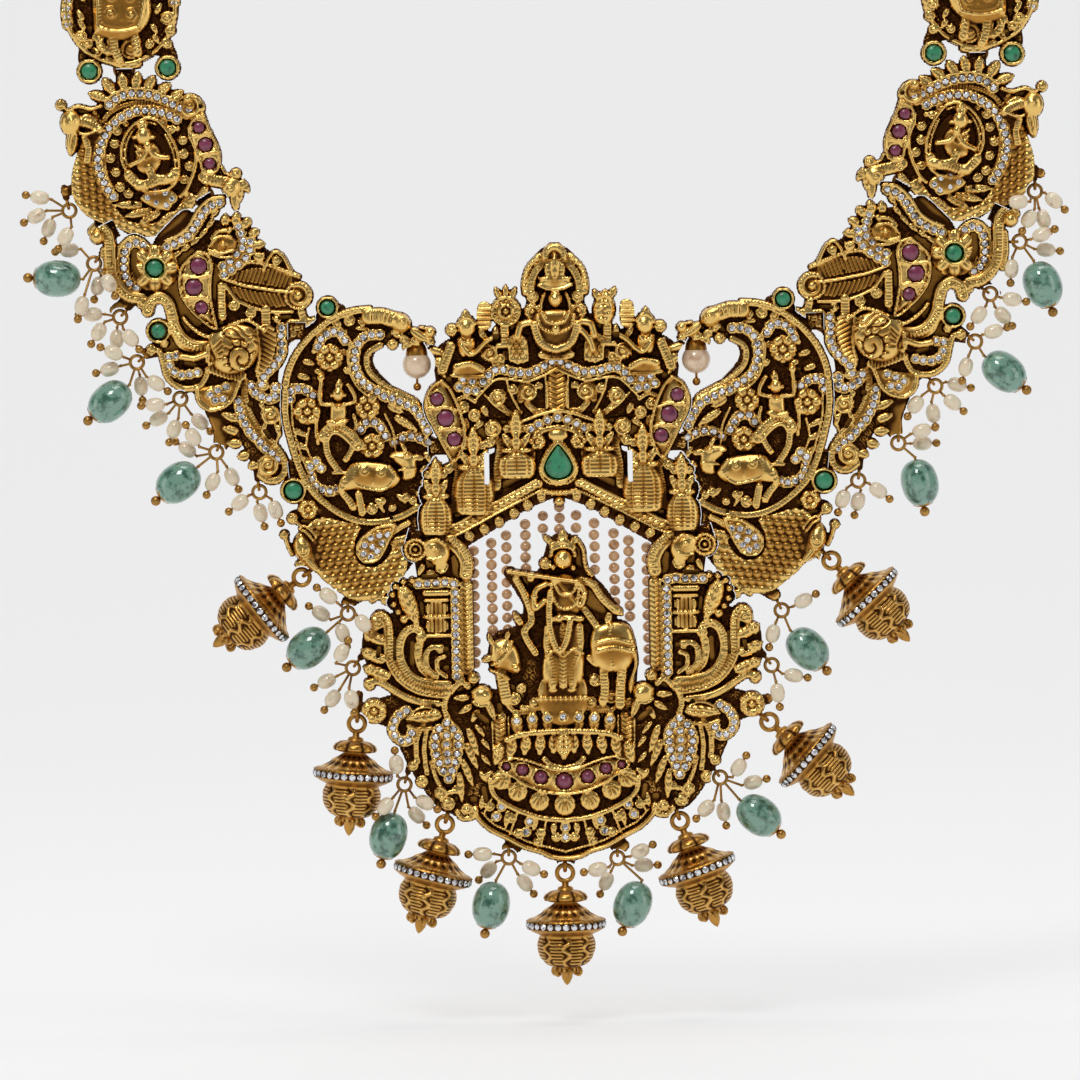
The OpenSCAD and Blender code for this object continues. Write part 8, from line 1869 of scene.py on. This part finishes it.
def build_beads():
    """Pearls and quartz of the clusters, the curtain of seed pearls and the two cap pearls."""
    caps = []
    for side, m in SIDES:
        rice = []
        for _, _, pearls in CLUSTERS[side]:
            for px, py, qx, qy, f in pearls:
                rice.append(bead(np.array([px * m, py]), (qx * m, qy), f, 3.5, 2.6, 2.3))
        beads_piece("rice_" + side, rice, RICE, ["rice_pearls_" + side])
        for i, (px, py, qx, qy, f) in enumerate(QUARTZ_L if side == "l" else QUARTZ_R, 1):
            p, q, number = np.array([px * m, py]), (qx * m, qy), side + str(i)
            part = bead(p, q, f, 8.6, 6.8, 2.2, 28, 20)
            beads_piece("quartz_bead_" + number, [part], QUARTZ, ["quartz_" + number])
            caps.append(bead_cap(p, q, f))
    beads_piece("bead_caps", caps, WIRE_GOLD, ())
    seeds = []
    a = np.linspace(-math.pi / 2, math.pi / 2, 9)
    seed = turned(np.stack([np.maximum(SEED_R * np.cos(a), 1e-3), np.sin(a)], 1), 14)
    for x, top, bottom in STRANDS:
        n = round((top - bottom) / 2.05)
        for y in bottom + (np.arange(n) + 0.5) * (top - bottom) / n:
            aside, size = rng.uniform(-0.06, 0.06), rng.uniform(0.94, 1.0)
            seeds.append(placed(seed, x + aside, y, BACK_BEADS, size=size))
    beads_piece("curtain_beads", seeds, SEED, ["curtain_strands"])
    a = np.linspace(-math.pi / 2, math.pi / 2, 17)
    across, y, r = CAP_PEARL
    pearl = turned(np.stack([np.maximum(r * np.cos(a), 0.01), r * np.sin(a)], 1), 28)
    hang = []
    for side, m in SIDES:
        x = -m * across
        beads_piece("cap_bead_" + side, [placed(pearl, x, y)], ROUND, ["cap_pearl_" + side])
        hang.append(tube([[x, 23.4, MID], [x, 18, MID], [x, 14.3, MID]], 0.225, 8))
        cone = turned([(0.01, 5.2), (0.5, 5.1), (1.0, 4.3), (1.7, 3.2), (1.9, 2.4), (2.0, 1.7)], 20)
        hang.append(placed(cone, x, y))
        ball = turned([(0.75 * math.cos(t), 0.75 * math.sin(t)) for t in np.linspace(-1.57, 1.57, 9)], 14)
        hang.append(placed(ball, x, 14.2))
    beads_piece("cap_wires", hang, ANTIQUE, ())


def pear():
    """The pear stone: a straight girdle and a bevel up to a flat table."""
    half = points("0,3 0.75,2.1 1.45,1.1 2.05,0.1 2.3,-0.8 2,-1.8 1.2,-2.5 0,-2.8")
    ring = smooth(np.vstack([half, half[-2:0:-1] * [-1, 1]]), True, 3) + [0, 0.2]
    rows = [(1.0, 1.12), (1.0, 2.1), (0.86, 2.45), (0.6, 2.82)]
    v = np.vstack([np.column_stack([ring * s, np.full(len(ring), z)]) for s, z in rows])
    n = len(ring)
    k, s = np.meshgrid(np.arange(len(rows) - 1), np.arange(n), indexing="ij")
    s2 = (s + 1) % n
    f = np.stack([k * n + s, k * n + s2, (k + 1) * n + s2, (k + 1) * n + s], -1).reshape(-1, 4)
    return outward((v, [f, (np.arange(n) + (len(rows) - 1) * n)[None, :]]))


def build_stones():
    """Round emeralds and rubies, and the pear stone in the middle."""
    for name, rows, skin, slot in (("emeralds", EMERALDS, EMERALD, "emerald"),
                                   ("rubies", RUBIES, RUBY, "ruby")):
        for side, m in SIDES:
            parts = [cabochon(x * m, y, r, 1.12, 0.55) for x, y, r in rows]
            beads_piece(name + "_set_" + side, parts, skin, [name + "_" + side])
    parts = [cabochon(x, y, r, 0.12, 1.4) for x, y, r in RUBIES_C]
    beads_piece("rubies_set_c", parts, RUBY, ["rubies_c"])
    beads_piece("pear_cut", [pear()], EMERALD, ["pear_emerald"], False)


def keep_nodes():
    """CAD nodes whose shape is right get a finer finish."""
    for name, skin in (("chain_l", CHAIN_GOLD), ("chain_r", CHAIN_GOLD), ("clasp", CHAIN_GOLD),
                       ("plate_rings_l", WIRE_GOLD), ("plate_rings_r", WIRE_GOLD),
                       ("drop_wires_l", WIRE_GOLD), ("drop_wires_r", WIRE_GOLD)):
        for s in frame["nodes"][name].material_slots:
            s.material = skin


def area(name, place, target, size, power):
    """A soft white light of a size in metres and a power in watts that points at the target."""
    light = bpy.data.lights.new(name, "AREA")
    light.shape, light.size, light.size_y = "RECTANGLE", size[0], size[1]
    light.energy = power
    obj = bpy.data.objects.new(name, light)
    obj.location = place
    obj.rotation_euler = (Vector(target) - Vector(place)).to_track_quat("-Z", "Y").to_euler()
    bpy.context.scene.collection.objects.link(obj)
    return obj


def build_stage():
    """A pale floor that rises behind as a sweep, soft lights and the camera."""
    low = min(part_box(n)[0].z for n in ("bell_c", "quartz_l6", "quartz_r6")) - 7 * MM
    t = np.linspace(0, math.pi / 2, 13)
    y = np.concatenate([[-2.2, 0.5], 0.5 + 0.5 * np.sin(t[1:]), [1.0]])
    z = np.concatenate([[low, low], low + 0.5 * (1 - np.cos(t[1:])), [low + 2.4]])
    n = len(y)
    v = np.concatenate([np.stack([np.full(n, x), y, z], 1) for x in (-2.0, 2.0)])
    k = np.arange(n - 1)
    faces = np.stack([k, k + n, k + n + 1, k + 1], 1)
    mesh = bpy.data.meshes.new("sweep")
    mesh.from_pydata(v.tolist(), [], faces.tolist())
    mesh.polygons.foreach_set("use_smooth", np.full(len(faces), True))
    sweep = bpy.data.objects.new("sweep", mesh)
    bpy.context.scene.collection.objects.link(sweep)
    paper = material("paper", (0.42, 0.42, 0.422), 0.9, Emission_Color=(1, 1, 1, 1), Emission_Strength=0.5)[0]
    mesh.materials.append(paper)
    mid = (0, 0, DRAWING_Z)
    lights = [area("key", (-0.25, -0.75, 0.65), mid, (0.35, 0.35), 4.2),
              area("top", (0.1, -0.1, 0.75), mid, (0.6, 0.4), 2.6),
              area("right", (0.9, -0.45, 0.0), mid, (0.4, 0.8), 1.3),
              area("left", (-0.95, -0.3, -0.1), mid, (0.4, 0.8), 1.1),
              area("wall", (0, 0.2, 1.0), (0, 0.95, -0.1), (1.6, 0.4), 4)]
    world_skin = bpy.data.worlds.new("studio")
    world_skin.use_nodes = True
    world_skin.node_tree.nodes["Background"].inputs[0].default_value = (0.9, 0.92, 0.95, 1)
    world_skin.node_tree.nodes["Background"].inputs[1].default_value = 0.16
    bpy.context.scene.world = world_skin
    lens = bpy.data.cameras.new("camera")
    lens.sensor_width, lens.lens = 36, 277.8
    lens.clip_end = 20
    camera = bpy.data.objects.new("camera", lens)
    pitch, reach = math.radians(3), 1.5
    aim = Vector((-2.066 * MM, 0, DRAWING_Z - 13.82 * MM))
    camera.location = aim + Vector((0, -math.cos(pitch), math.sin(pitch))) * reach
    camera.rotation_euler = (math.pi / 2 - pitch, math.radians(1.1), 0)
    bpy.context.scene.collection.objects.link(camera)
    bpy.context.scene.camera = camera
    bpy.context.scene.view_settings.view_transform = "Standard"


keep_nodes()
build_plates()
build_loops()
build_bells()
build_beads()
build_stones()
build_stage()
